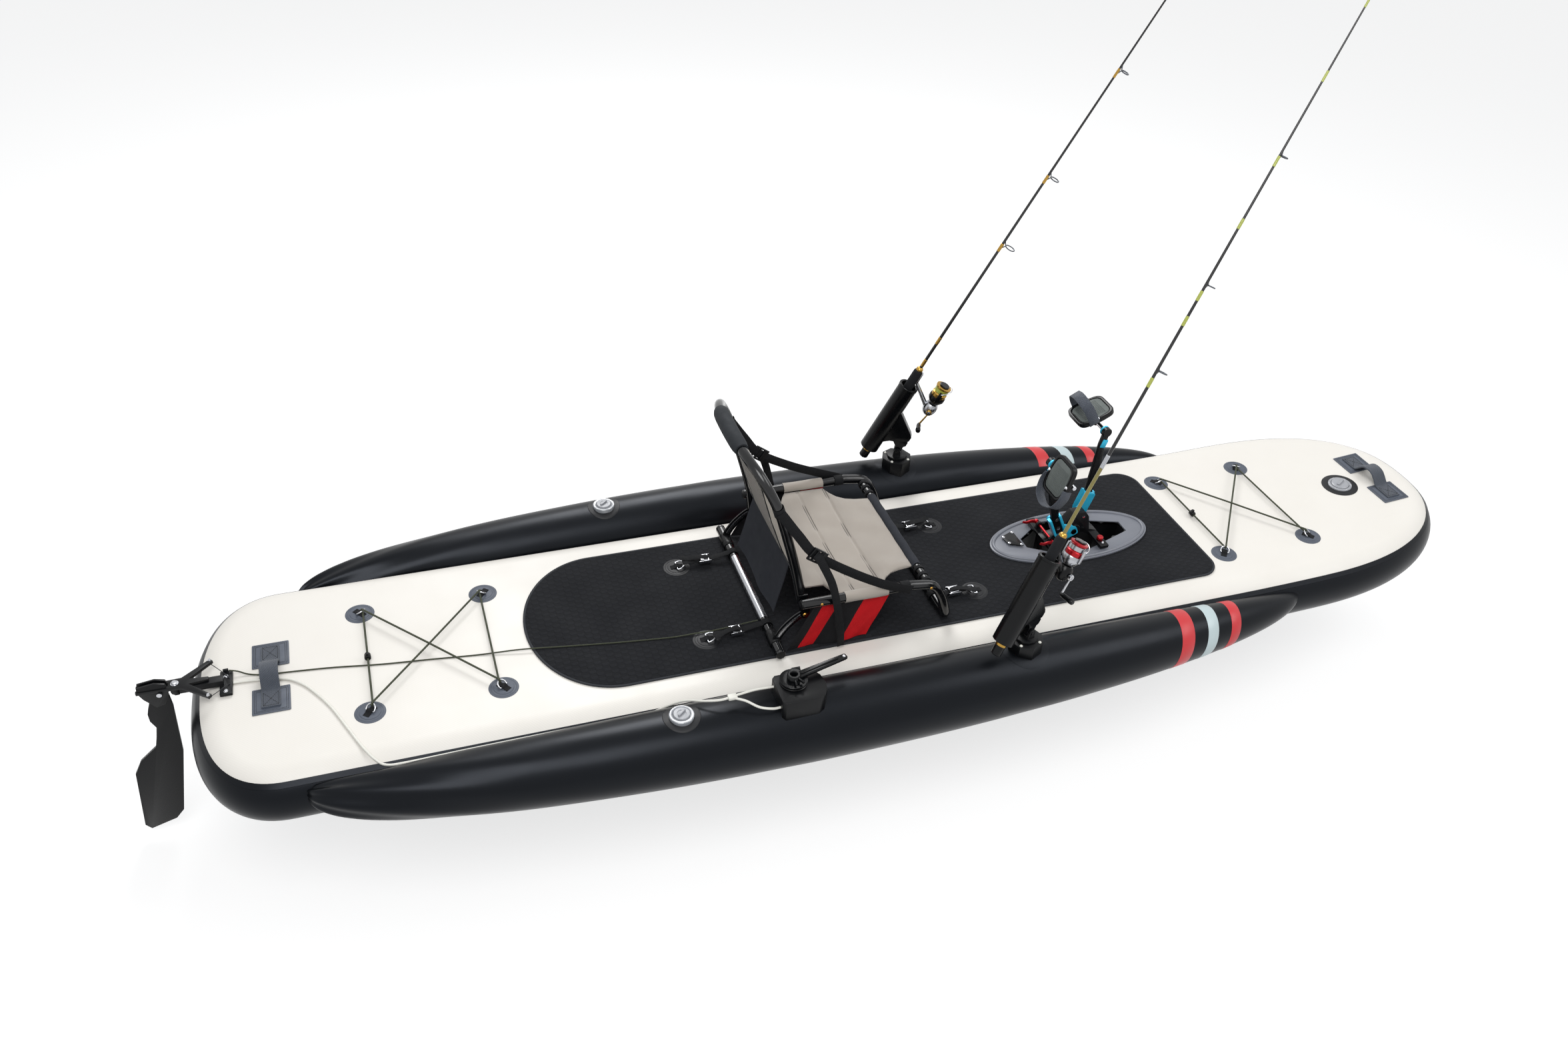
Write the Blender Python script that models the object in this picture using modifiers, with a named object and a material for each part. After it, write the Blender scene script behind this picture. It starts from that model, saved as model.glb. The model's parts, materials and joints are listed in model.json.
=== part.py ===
"""Inflatable pedal paddleboard with side pontoons, frame seat, rudder and rod holders.

Metres, +Z up, +X towards the bow, +Y to port. The origin is the centre of the hull's flat bottom.
Run with: blender --background --python part.py
"""
import math

import bmesh
import bpy
from mathutils import Matrix, Vector

# Clearance between two pieces that touch, and how far a glued or welded one sinks into the other
GAP = 0.0003
BOND = 0.0006

# Hull and deck skin
HULL_THICKNESS = 0.150
RAIL_RADIUS = HULL_THICKNESS / 2
HULL_HALF_WIDTH = 0.360
PONTOON_TUCK = 0.025
PONTOON_INNER_Y = HULL_HALF_WIDTH - PONTOON_TUCK
STERN_STRAIGHT_X = -1.550
STERN_CAP_LENGTH = 0.145
BOW_STRAIGHT_X = 1.200
BOW_CAP_LENGTH = 0.490
CAP_EXPONENT = 2.5
ROCKER_START_X = 0.900
BOW_LIFT = 0.046
RAIL_ANGLES = (-90, -60, -30, -5, 16, 34, 52, 71, 90)
SHEET_EDGE_ANGLE = 52
SHEET_THICKNESS = 0.0012

# Deck pad
PAD_THICKNESS = 0.005
PAD_HALF_WIDTH = 0.255
PAD_FRONT_X = 0.920
PAD_FRONT_RADIUS = 0.060
PAD_REAR_STRAIGHT_X = -0.770
PAD_REAR_CAP_LENGTH = 0.210

# Well for the pedal drive
WELL_CENTRE_X = 0.570
WELL_HALF_OUTLINE = ((0.425, 0.020), (0.515, 0.080), (0.600, 0.070), (0.745, 0.022))
WELL_PLATE_HALF_LENGTH = 0.246
WELL_PLATE_HALF_WIDTH = 0.110
WELL_PLATE_THICKNESS = 0.010
WELL_WALL = 0.004
WELL_BOTTOM_Z = 0.002
BRACKET_OUTLINE = ((0.371, 0.036), (0.414, 0.054), (0.416, -0.018), (0.377, 0.000))
BRACKET_THICKNESS = 0.002
SCREW_RADIUS = 0.005
SCREW_INSET = 0.80

# Ring patches, rings and elastic cords
PATCH_RADIUS = 0.036
PATCH_STEP_RADIUS = 0.024
PATCH_STEP = 0.0012
DECK_LIFT = 0.0006
TAB_HEIGHT = 0.0072
TAB_WIDTH = 0.014
TAB_BORE_HEIGHT = 0.0036
TAB_BORE_RADIUS = 0.0029
WIRE_RADIUS = 0.0020
RING_HALF_WIDTH = 0.011
RING_LEG = 0.006
RING_TILT = 40
SEAT_RING_HALF_WIDTH = 0.016
SEAT_RING_TILT = 15
BUNGEE_RADIUS = 0.0025
CORD_TURN_RADIUS = 0.0034
CROSSING_LIFT = 0.0015
RING_Y = 0.180
STERN_RING_X = (-1.366, -1.059)
BOW_RING_X = (0.974, 1.260)
LOCK_RADIUS = 0.008
LOCK_LENGTH = 0.016

# Valves
DECK_VALVE_X = 1.509
DECK_VALVE_PATCH_RADIUS = 0.053
DECK_VALVE_RING_RADIUS = 0.034
DECK_CAP_RADIUS = 0.026
DECK_CAP_HEIGHT = 0.008
PONTOON_VALVE_X = -0.686
PONTOON_VALVE_Y = PONTOON_INNER_Y + 0.090
PONTOON_VALVE_RADIUS = 0.030
PONTOON_CAP_RADIUS = 0.020
PONTOON_CAP_HEIGHT = 0.007
VALVE_RISE = 0.004

# Carry handles
HANDLE_PATCH = 0.085
HANDLE_PATCH_THICKNESS = 0.002
HANDLE_STRAP_WIDTH = 0.042
HANDLE_STRAP_THICKNESS = 0.005
HANDLE_RISE = 0.034
BOW_HANDLE_X = 1.620
STERN_HANDLE_X = -1.580
HANDLE_PATCH_Y = 0.080

# Side pontoons
PONTOON_RADIUS = 0.0985
PONTOON_AXIS_Z = 0.0995
PONTOON_WIDEST_X = -0.280
PONTOON_REAR_LENGTH = 1.240
PONTOON_FRONT_LENGTH = 1.400
PONTOON_REAR_POWER = 0.40
PONTOON_FRONT_POWER = 0.48
PONTOON_STATIONS = 16
PONTOON_SIDES = 12

# Rudder
RUDDER_AXIS_X = -1.785
GUDGEON_RADIUS = 0.013
GUDGEON_BOTTOM_Z = 0.160
GUDGEON_TOP_Z = 0.176
RUDDER_PIN_RADIUS = 0.005
PIN_CLEARANCE = 0.0004
HEAD_PLATE_THICKNESS = 0.008
BLADE_THICKNESS = 0.008
CHEEK_THICKNESS = 0.005
BLADE_PIVOT = (RUDDER_AXIS_X - 0.035, 0.170)
BLADE_BOLT_RADIUS = 0.004
YOKE_TIP = (RUDDER_AXIS_X + 0.075, 0.060)
YOKE_WIDTH = 0.012
BRACKET_PLATE_FRONT_X = -1.664
BRACKET_PLATE_REAR_X = -1.692
BRACKET_PLATE_HALF_WIDTH = 0.040
BLADE_OUTLINE = ((-0.036, 0.119), (-0.040, 0.105), (-0.040, 0.083), (-0.031, 0.060), (-0.038, 0.028),
                 (-0.046, -0.002), (-0.087, -0.039), (-0.108, -0.079), (-0.127, -0.257), (-0.115, -0.274),
                 (-0.053, -0.254), (-0.032, -0.229), (0.009, -0.030), (0.019, 0.120))

# Cords and sheaths that the board holds all the way
SHEATH_RADIUS = 0.003
LIFT_LINE_RADIUS = 0.0018

# Steering control on the starboard pontoon
CONTROL_X = (-0.460, -0.340)
CONTROL_Y = (-PONTOON_INNER_Y - 0.155, -PONTOON_INNER_Y - 0.057)
CONTROL_TOP_Z = 0.232
DRUM_CENTRE = (-0.415, -PONTOON_INNER_Y - 0.090)
DRUM_RADIUS = 0.034
DRUM_HEIGHT = 0.012
LEVER_TIP = (-0.275, -PONTOON_INNER_Y - 0.055)
LEVER_WIDTH = 0.018

# Seat
TUBE_RADIUS = 0.0125
RAIL_Y = 0.240
RAIL_Z = 0.300
RAIL_REAR_X = -0.335
FOOT_X = 0.075
CROSSBAR_X = 0.010
CROSSBAR_Z = 0.286
CROSSBAR_RADIUS = 0.011
COLLAR_RADIUS = 0.0155
COLLAR_Y = 0.195
REAR_BAR_X = -0.390
REAR_BAR_HALF_LENGTH = 0.270
SEAT_PIVOT = (-0.318, 0.255)
RIVET_RADIUS = 0.004
LUG_Y = 0.2265
LEG_PLATE_Y = 0.2220
BACK_PLATE_Y = 0.2165
PLATE_THICKNESS = 0.004
ARCH_HALF = ((-0.320, 0.205, 0.278), (-0.336, 0.193, 0.365), (-0.364, 0.195, 0.470), (-0.395, 0.200, 0.570),
             (-0.428, 0.172, 0.642), (-0.452, 0.100, 0.673))
ARCH_TOP = (-0.459, 0.681)
SLING_REAR_X = -0.300
SLING_THICKNESS = 0.014
SLING_Z = 0.292
SLING_SAG = 0.014
PANEL_THICKNESS = 0.0025
BACK_BOTTOM_Z = 0.362
BACK_TOP_Z = 0.636
BACK_PADDING = 0.016
FLAP_TOP_X = -0.338
FLAP_TOP_Z = BACK_BOTTOM_Z - 0.0021
FLAP_BOTTOM_Z = 0.206
GRIP_RADIUS = 0.020
GRIP_BORE = 0.0142
GRIP_HALF_LENGTH = 0.098
STRAP_THICKNESS = 0.0015
TIE_STRAP_WIDTH = 0.018
TIE_STRAP_THICKNESS = 0.002
TIE_Y = 0.150
REAR_TIE_X = -0.547
FRONT_TIE_X = 0.200
REAR_BUCKLE_X = -0.470
FRONT_BUCKLE_X = 0.135

# Pedal drive
DRIVE_X = 0.560
DRIVE_Z = 0.200
SPINE_HALF_WIDTH = 0.014
SHAFT_RADIUS = 0.008
HUB_RADIUS = 0.022
HUB_OUTER_Y = 0.030
CRANK_LENGTH = 0.290
CRANK_FOOT = 0.042
FORK_HEIGHT = 0.100
CRANK_ARM_Y = (0.031, 0.043)
FORK_PLATE = 0.008
CRANK_REST = {"starboard": -26.0, "port": 16.0}
PEDAL_REST = {"starboard": 72.0, "port": 21.0}
HEEL_STRAP_LEAN = {"starboard": 86.0, "port": 8.0}
PEDAL_Y = 0.117
PEDAL_LENGTH = 0.108
PEDAL_WIDTH = 0.100
PEDAL_THICKNESS = 0.014
PEDAL_SHIFT = 0.0
PEDAL_OFFSET = 0.020
HEEL_STRAP_HEIGHT = 0.066
HEEL_STRAP_ROOT = -0.016
AXLE_RADIUS = 0.006
FIN_X = {"front": 0.612, "rear": 0.518}
FIN_SIDE = {"front": 1, "rear": -1}
FIN_Z = -0.034
FIN_LENGTH = 0.370
FIN_CHORD = 0.082
FIN_THICKNESS = 0.006
SPINE_LOW = ((-0.052, -0.016), (0.062, -0.016), (0.080, 0.100))
SPINE_HIGH = ((0.062, 0.186), (0.052, 0.232), (0.038, 0.250), (0.0, 0.250), (-0.015, 0.232), (-0.045, 0.186))
SPINE_SHOULDER = (-0.086, 0.088)
SPINE_REAR = (-0.075, 0.100)
BEAM_X = (0.4875, 0.6345)
LATCH_Z = 0.190
LATCH_RADIUS = 0.0035
LATCH_ARM_Y = 0.052
LATCH_ARM_LENGTH = 0.044

# Rod holders, rods and reels
HOLDER_X = 0.203
HOLDER_Y = PONTOON_INNER_Y + 0.084
HOLDER_TURN = {"starboard": 17.0, "port": 28.0}
HOLDER_TILT = {"starboard": 27.0, "port": 23.0}
BASE_RADIUS = 0.045
BASE_TOP_Z = 0.222
SWIVEL_THICKNESS = 0.0085
KNUCKLE_Z = 0.248
KNUCKLE_PIN_RADIUS = 0.0046
HOLDER_TUBE_OFFSET = 0.077
HOLDER_TUBE_RADIUS = 0.028
HOLDER_TUBE_BORE = 0.0225
HOLDER_TUBE_BOTTOM = -0.037
HOLDER_TUBE_TOP = 0.206
FIN_BRACKET_THICKNESS = 0.022
ROD_BUTT = -0.038
ROD_GRIP_TOP = 0.303
ROD_GRIP_RADIUS = 0.0135
BLANK_BASE_RADIUS = 0.0048
BLANK_TIP_RADIUS = 0.0012
ROD_TOP = 1.900
BLANK_BEND = 0.006
GUIDE_HEIGHTS = (0.735, 0.950, 1.255)
REEL_OFFSET = 0.0875
REEL_SEAT_Z = 0.279
REEL_STEM_Z = 0.2629
REEL_CRANK_Z = 0.208
REEL_CRANK_Y = -0.0225

FINISHES = {
    "hull_pvc": ((0.018, 0.018, 0.020), 0.45, 0.0),
    "deck_pvc": ((0.70, 0.69, 0.66), 0.50, 0.0),
    "eva_foam": ((0.045, 0.045, 0.050), 0.90, 0.0),
    "grey_plastic": ((0.30, 0.31, 0.35), 0.45, 0.0),
    "black_plastic": ((0.020, 0.020, 0.022), 0.45, 0.0),
    "patch_rubber": ((0.060, 0.065, 0.080), 0.70, 0.0),
    "webbing": ((0.020, 0.020, 0.022), 0.85, 0.0),
    "bungee": ((0.050, 0.050, 0.030), 0.80, 0.0),
    "steel": ((0.65, 0.65, 0.66), 0.20, 1.0),
    "valve_grey": ((0.42, 0.42, 0.44), 0.40, 0.0),
    "sheath_white": ((0.75, 0.75, 0.73), 0.50, 0.0),
    "frame_black": ((0.012, 0.012, 0.013), 0.22, 0.0),
    "sling_taupe": ((0.36, 0.32, 0.28), 0.90, 0.0),
    "panel_black": ((0.030, 0.028, 0.030), 0.85, 0.0),
    "foam_grey": ((0.050, 0.050, 0.055), 0.90, 0.0),
    "crank_blue": ((0.02, 0.42, 0.66), 0.30, 0.6),
    "latch_red": ((0.50, 0.02, 0.03), 0.30, 0.6),
    "pedal_black": ((0.030, 0.032, 0.032), 0.60, 0.0),
    "rod_graphite": ((0.060, 0.050, 0.040), 0.30, 0.0),
    "reel_metal": ((0.45, 0.40, 0.30), 0.30, 0.9),
}

for old in list(bpy.data.objects):
    bpy.data.objects.remove(old, do_unlink=True)

PARTS = bpy.data.collections.new("inflatable_paddleboard")
CUTTERS = bpy.data.collections.new("construction")
bpy.context.scene.collection.children.link(PARTS)
bpy.context.scene.collection.children.link(CUTTERS)


def material(slot):
    """The Principled material of a finish, made once."""
    found = bpy.data.materials.get(slot)
    if found:
        return found
    colour, roughness, metallic = FINISHES[slot]
    made = bpy.data.materials.new(slot)
    made.use_nodes = True
    shader = made.node_tree.nodes["Principled BSDF"]
    shader.inputs["Base Color"].default_value = (*colour, 1.0)
    shader.inputs["Roughness"].default_value = roughness
    shader.inputs["Metallic"].default_value = metallic
    return made


def shape_from(mesh):
    """A construction object holding the mesh, until keep() makes it a part."""
    made = bpy.data.objects.new("shape", mesh)
    CUTTERS.objects.link(made)
    made.hide_render = True
    made.display_type = "WIRE"
    return made


def shape_from_bmesh(bm):
    bmesh.ops.recalc_face_normals(bm, faces=bm.faces)
    mesh = bpy.data.meshes.new("shape")
    bm.to_mesh(mesh)
    bm.free()
    return shape_from(mesh)


def plain_copy(source, weld=0.0):
    """The source's evaluated mesh as a new shape; the source is removed."""
    graph = bpy.context.evaluated_depsgraph_get()
    mesh = bpy.data.meshes.new_from_object(source.evaluated_get(graph))
    made = shape_from(mesh)
    made.matrix_world = source.matrix_world.copy()
    bpy.data.objects.remove(source, do_unlink=True)
    bm = bmesh.new()
    bm.from_mesh(mesh)
    if weld:
        bmesh.ops.remove_doubles(bm, verts=bm.verts, dist=weld)
    bmesh.ops.recalc_face_normals(bm, faces=bm.faces)
    bm.to_mesh(mesh)
    bm.free()
    return made


def combine(base, others, operation):
    """Join the others to the base, or cut them from it, and remove them."""
    for other in others:
        modifier = base.modifiers.new(operation.lower(), "BOOLEAN")
        modifier.operation = operation
        modifier.solver = "EXACT"
        modifier.object = other
    bpy.context.view_layer.update()
    made = plain_copy(base)
    for other in others:
        bpy.data.objects.remove(other, do_unlink=True)
    return made


def join(base, *others):
    return combine(base, others, "UNION")


def cut(base, *others):
    return combine(base, others, "DIFFERENCE")


def keep(part, name, slot, parent=None):
    """Name a finished shape, give it its finish and move it to the parts."""
    part.name = name
    part.data.name = name
    part.data.materials.clear()
    part.data.materials.append(material(slot))
    CUTTERS.objects.unlink(part)
    PARTS.objects.link(part)
    part.hide_render = False
    part.display_type = "TEXTURED"
    if parent:
        part.parent = parent
    part.data.shade_smooth()
    part.data.set_sharp_from_angle(angle=math.radians(35))
    return part


def empty(name, location, rotation=(0, 0, 0), parent=None):
    made = bpy.data.objects.new(name, None)
    PARTS.objects.link(made)
    made.location = location
    made.rotation_euler = [math.radians(angle) for angle in rotation]
    made.parent = parent
    bpy.context.view_layer.update()
    return made


def box(size, centre, bevel=0.0, turn=None):
    bm = bmesh.new()
    bmesh.ops.create_cube(bm, size=1.0)
    bmesh.ops.scale(bm, vec=size, verts=bm.verts)
    if bevel:
        bmesh.ops.bevel(bm, geom=bm.edges[:], offset=bevel, segments=1, affect="EDGES")
    if turn:
        bmesh.ops.rotate(bm, matrix=turn.to_3x3(), verts=bm.verts)
    bmesh.ops.translate(bm, vec=centre, verts=bm.verts)
    return shape_from_bmesh(bm)


def bar(start, end, radius, sides=10, end_radius=None):
    """A round bar between two points."""
    start, end = Vector(start), Vector(end)
    along = end - start
    bm = bmesh.new()
    tip = radius if end_radius is None else end_radius
    place = Matrix.Translation((start + end) / 2) @ along.to_track_quat("Z", "X").to_matrix().to_4x4()
    bmesh.ops.create_cone(bm, cap_ends=True, segments=sides, radius1=radius, radius2=tip,
                          depth=along.length, matrix=place)
    return shape_from_bmesh(bm)


def turned(profile, steps=24, centre=(0, 0, 0), closed=False):
    """A profile of (radius, height) points turned about a vertical axis."""
    mesh = bpy.data.meshes.new("profile")
    count = len(profile)
    edges = [(i, i + 1) for i in range(count - 1)]
    if closed:
        edges.append((count - 1, 0))
    mesh.from_pydata([(radius, 0, height) for radius, height in profile], edges, [])
    source = shape_from(mesh)
    screw = source.modifiers.new("turn", "SCREW")
    screw.steps = screw.render_steps = steps
    screw.use_merge_vertices = True
    screw.merge_threshold = 0.00001
    bpy.context.view_layer.update()
    made = plain_copy(source, weld=0.000005)
    made.data.transform(Matrix.Translation(centre))
    return made


def plane(origin, along, up):
    """The frame of a flat outline: its x runs along, its y up and its thickness across both."""
    along, up = Vector(along).normalized(), Vector(up).normalized()
    across = along.cross(up)
    frame = Matrix((along, up, across)).transposed().to_4x4()
    return Matrix.Translation(origin) @ frame


def side_plane(y):
    """Outline x is +X and outline y is +Z, with the thickness centred on y."""
    return plane((0, y, 0), (1, 0, 0), (0, 0, 1))


FLAT = Matrix.Identity(4)


def plate(outline, thickness, frame=FLAT, holes=()):
    """A flat outline with holes, as a filled 2D curve extruded to its thickness."""
    curve = bpy.data.curves.new("plate", "CURVE")
    curve.dimensions = "2D"
    curve.fill_mode = "BOTH"
    curve.extrude = thickness / 2
    for loop in (outline, *holes):
        spline = curve.splines.new("POLY")
        spline.points.add(len(loop) - 1)
        for point, (x, y) in zip(spline.points, loop):
            point.co = (x, y, 0, 1)
        spline.use_cyclic_u = True
    source = bpy.data.objects.new("plate", curve)
    CUTTERS.objects.link(source)
    bpy.context.view_layer.update()
    made = plain_copy(source, weld=0.000002)
    made.data.transform(frame)
    return made


def circle(centre, radius, count=16):
    steps = [2 * math.pi * i / count for i in range(count)]
    return [(centre[0] + radius * math.cos(t), centre[1] + radius * math.sin(t)) for t in steps]


def arc(centre, radius, start, end, count):
    """Points on an arc, angles in degrees."""
    angles = [math.radians(start + (end - start) * i / count) for i in range(count + 1)]
    return [(centre[0] + radius * math.cos(t), centre[1] + radius * math.sin(t)) for t in angles]


def tube(points, radius, resolution=2, cyclic=False, radii=None):
    """A round tube along the points, with welded caps."""
    curve = bpy.data.curves.new("tube", "CURVE")
    curve.dimensions = "3D"
    curve.bevel_depth = radius
    curve.bevel_resolution = resolution
    curve.use_fill_caps = True
    spline = curve.splines.new("POLY")
    spline.points.add(len(points) - 1)
    for index, (point, place) in enumerate(zip(spline.points, points)):
        point.co = (*place, 1)
        if radii:
            point.radius = radii[index] / radius
    spline.use_cyclic_u = cyclic
    source = bpy.data.objects.new("tube", curve)
    CUTTERS.objects.link(source)
    bpy.context.view_layer.update()
    return plain_copy(source, weld=0.00001)


def smooth(points, per=3):
    """A smooth curve through the points, read at even steps between each pair."""
    places = [Vector(p) for p in points]
    ends = [2 * places[0] - places[1]] + places + [2 * places[-1] - places[-2]]
    out = []
    for a, b, c, d in zip(ends, ends[1:], ends[2:], ends[3:]):
        for step in range(per):
            t = step / per
            out.append(0.5 * (2 * b + (c - a) * t + (2 * a - 5 * b + 4 * c - d) * t ** 2
                              + (3 * b - a - 3 * c + d) * t ** 3))
    out.append(places[-1])
    return [tuple(p) for p in out]


def loft(rows, closed_rows=False, weld=0.00001):
    """A surface through rows of points; closed rows make a closed body."""
    bm = bmesh.new()
    grid = [[bm.verts.new(p) for p in row] for row in rows]
    for first, second in zip(grid, grid[1:]):
        span = len(first) if closed_rows else len(first) - 1
        for i in range(span):
            j = (i + 1) % len(first)
            bm.faces.new((first[i], first[j], second[j], second[i]))
    if closed_rows:
        bm.faces.new(grid[0])
        bm.faces.new(grid[-1])
    bmesh.ops.remove_doubles(bm, verts=bm.verts, dist=weld)
    return shape_from_bmesh(bm)


def band(points, thickness):
    """The outline of a strip of even thickness along a flat path."""
    left, right = [], []
    for index, point in enumerate(points):
        before = Vector(points[max(index - 1, 0)])
        after = Vector(points[min(index + 1, len(points) - 1)])
        along = (after - before).normalized()
        shift = Vector((-along.y, along.x)) * thickness / 2
        left.append(tuple(Vector(point) + shift))
        right.append(tuple(Vector(point) - shift))
    return left + right[::-1]


def webbing(points, across, thickness):
    """A flat strap along the points, its width along the vector across."""
    rows = []
    across = Vector(across)
    for index, point in enumerate(points):
        before = Vector(points[max(index - 1, 0)])
        after = Vector(points[min(index + 1, len(points) - 1)])
        normal = (after - before).cross(across).normalized() * thickness / 2
        centre = Vector(point)
        half = across / 2
        rows.append([centre - half - normal, centre + half - normal,
                     centre + half + normal, centre - half + normal])
    return loft(rows, closed_rows=True)


def grown(outline, distance):
    """An outline moved outwards by a distance, with mitred corners."""
    count = len(outline)
    area = sum(outline[i][0] * outline[(i + 1) % count][1] - outline[(i + 1) % count][0] * outline[i][1]
               for i in range(count))
    turn = 1 if area > 0 else -1
    moved = []
    for i in range(count):
        a, b, c = (Vector(outline[(i + k) % count]) for k in (-1, 0, 1))
        before, after = (b - a).normalized(), (c - b).normalized()
        n1 = Vector((before.y, -before.x)) * turn
        n2 = Vector((after.y, -after.x)) * turn
        moved.append(tuple(b + (n1 + n2) * distance / (1 + n1.dot(n2))))
    return moved


def mirrored_outline(half):
    """A closed outline from its half at positive y."""
    return [*half, *[(x, -y) for x, y in reversed(half)]]


# Heights that many pieces share
DECK_TOP = HULL_THICKNESS + GAP + SHEET_THICKNESS
PAD_TOP = DECK_TOP + GAP + PAD_THICKNESS
WELL_PLATE_TOP = PAD_TOP + GAP + WELL_PLATE_THICKNESS
BOW_END_X = BOW_STRAIGHT_X + BOW_CAP_LENGTH + RAIL_RADIUS
WELL_OUTLINE = mirrored_outline(WELL_HALF_OUTLINE)
SIDES = {"port": 1, "starboard": -1}


def rocker(x):
    """How far the bow is lifted at x."""
    if x <= ROCKER_START_X:
        return 0.0
    return BOW_LIFT * ((x - ROCKER_START_X) / (BOW_END_X - ROCKER_START_X)) ** 2


def on_deck(x, y, lift=0.0):
    """A frame lying on the deck skin at x and y, tilted with the bow's rise."""
    slope = 2 * BOW_LIFT * max(x - ROCKER_START_X, 0) / (BOW_END_X - ROCKER_START_X) ** 2
    tilt = Matrix.Rotation(-math.atan(slope), 4, "Y")
    return Matrix.Translation((x, y, DECK_TOP + rocker(x) + lift)) @ tilt


def cap_stations(straight_x, length, forward, count=9):
    """Outline points and normals round one end of the board, from its side to its tip."""
    half_width = HULL_HALF_WIDTH - RAIL_RADIUS
    stations = []
    for step in range(count + 1):
        t = math.pi / 2 * (1 - step / count)
        cosine, sine = max(math.cos(t), 0.0), max(math.sin(t), 0.0)
        x = length * cosine ** (2 / CAP_EXPONENT)
        y = half_width * sine ** (2 / CAP_EXPONENT)
        slope_x = (x / length) ** (CAP_EXPONENT - 1) / length
        slope_y = (y / half_width) ** (CAP_EXPONENT - 1) / half_width
        size = math.hypot(slope_x, slope_y)
        stations.append((straight_x + forward * x, y, forward * slope_x / size, slope_y / size))
    return stations


def hull_stations():
    """The port half of the board's inset outline, stern tip to bow tip."""
    half_width = HULL_HALF_WIDTH - RAIL_RADIUS
    stern = cap_stations(STERN_STRAIGHT_X, STERN_CAP_LENGTH, -1)[::-1]
    bow = cap_stations(BOW_STRAIGHT_X, BOW_CAP_LENGTH, 1)
    side_x = (-1.10, -0.60, -0.10, 0.40, ROCKER_START_X, 1.00, 1.10)
    return stern + [(x, half_width, 0.0, 1.0) for x in side_x] + bow


def rail_point(station, radius, angle):
    x, y, nx, ny = station
    reach = radius * math.cos(math.radians(angle))
    px = x + nx * reach
    return (px, y + ny * reach, RAIL_RADIUS + radius * math.sin(math.radians(angle)) + rocker(px))


def mirrored_loft(rows):
    """A half body, open at the centre plane, closed by its mirror image."""
    half = loft(rows)
    mirror = half.modifiers.new("other side", "MIRROR")
    mirror.use_axis = (False, True, False)
    mirror.merge_threshold = 0.00001
    bpy.context.view_layer.update()
    return plain_copy(half)


def hull_body(grow=0.0):
    rows = []
    for station in hull_stations():
        arc_points = [rail_point(station, RAIL_RADIUS + grow, angle) for angle in RAIL_ANGLES]
        bottom, top = arc_points[0], arc_points[-1]
        rows.append([(bottom[0], 0, bottom[2]), *arc_points, (top[0], 0, top[2])])
    return mirrored_loft(rows)


def well_block(grow, low, high):
    """The well's outline grown by a wall, as a block between two heights."""
    frame = Matrix.Translation((0, 0, (low + high) / 2))
    return plate(grown(WELL_OUTLINE, grow), high - low, frame)


def make_hull():
    hull = cut(hull_body(), well_block(WELL_WALL + GAP, -0.05, HULL_THICKNESS + 0.05))
    keep(hull, "hull", "hull_pvc")


def make_deck_sheet():
    angles = [angle for angle in RAIL_ANGLES if angle >= SHEET_EDGE_ANGLE]
    inner_radius = RAIL_RADIUS + GAP
    outer_radius = inner_radius + SHEET_THICKNESS
    rows = []
    for station in hull_stations():
        inner = [rail_point(station, inner_radius, angle) for angle in angles]
        outer = [rail_point(station, outer_radius, angle) for angle in reversed(angles)]
        rows.append([(inner[-1][0], 0, inner[-1][2]), *inner[::-1], *outer[::-1],
                     (outer[0][0], 0, outer[0][2])])
    sheet = cut(mirrored_loft(rows), well_block(WELL_WALL + GAP, 0.05, 0.25))
    frames = bungee_ring_frames(STERN_RING_X) + bungee_ring_frames(BOW_RING_X)
    keep(join(sheet, *[ring_patch(frame) for frame in frames]), "deck_sheet", "deck_pvc")


def make_deck_pad():
    corner_x, corner_y = PAD_FRONT_X - PAD_FRONT_RADIUS, PAD_HALF_WIDTH - PAD_FRONT_RADIUS
    half = [(PAD_FRONT_X, 0.0)]
    half += arc((corner_x, corner_y), PAD_FRONT_RADIUS, 0, 90, 4)
    for angle in range(90, 181, 10):
        t = math.radians(angle)
        half.append((PAD_REAR_STRAIGHT_X + PAD_REAR_CAP_LENGTH * math.cos(t), PAD_HALF_WIDTH * math.sin(t)))
    outline = half[1:-1]
    frame = Matrix.Translation((0, 0, PAD_TOP - PAD_THICKNESS / 2))
    pad = plate(mirrored_outline(outline + [half[-1]])[:-1], PAD_THICKNESS, frame)
    pad = cut(pad, well_block(WELL_WALL + GAP, 0.05, 0.25))
    keep(join(pad, *[ring_patch(frame) for frame in seat_ring_frames()]), "deck_pad", "eva_foam")


def make_well():
    steps = [2 * math.pi * i / 28 for i in range(28)]
    oval = [(WELL_CENTRE_X + WELL_PLATE_HALF_LENGTH * math.cos(t), WELL_PLATE_HALF_WIDTH * math.sin(t))
            for t in steps]
    middle = WELL_PLATE_TOP - WELL_PLATE_THICKNESS / 2
    flange = plate(oval, WELL_PLATE_THICKNESS, Matrix.Translation((0, 0, middle)))
    wall = well_block(WELL_WALL, WELL_BOTTOM_Z, middle)
    sleeve = cut(join(flange, wall), well_block(0.0, -0.05, 0.25))

    low = WELL_PLATE_TOP
    middle = low + BRACKET_THICKNESS / 2 - BOND / 2
    bracket = plate(BRACKET_OUTLINE, BRACKET_THICKNESS + BOND, Matrix.Translation((0, 0, middle)))
    centre = sum((Vector(p) for p in BRACKET_OUTLINE), Vector((0, 0))) / len(BRACKET_OUTLINE)
    screws = []
    for corner in BRACKET_OUTLINE:
        place = centre + (Vector(corner) - centre) * SCREW_INSET
        screws.append(bar((*place, low + BRACKET_THICKNESS / 2), (*place, low + BRACKET_THICKNESS + 0.0025),
                          SCREW_RADIUS, 10))
    keep(join(sleeve, bracket, *screws), "well_sleeve", "grey_plastic")


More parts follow.
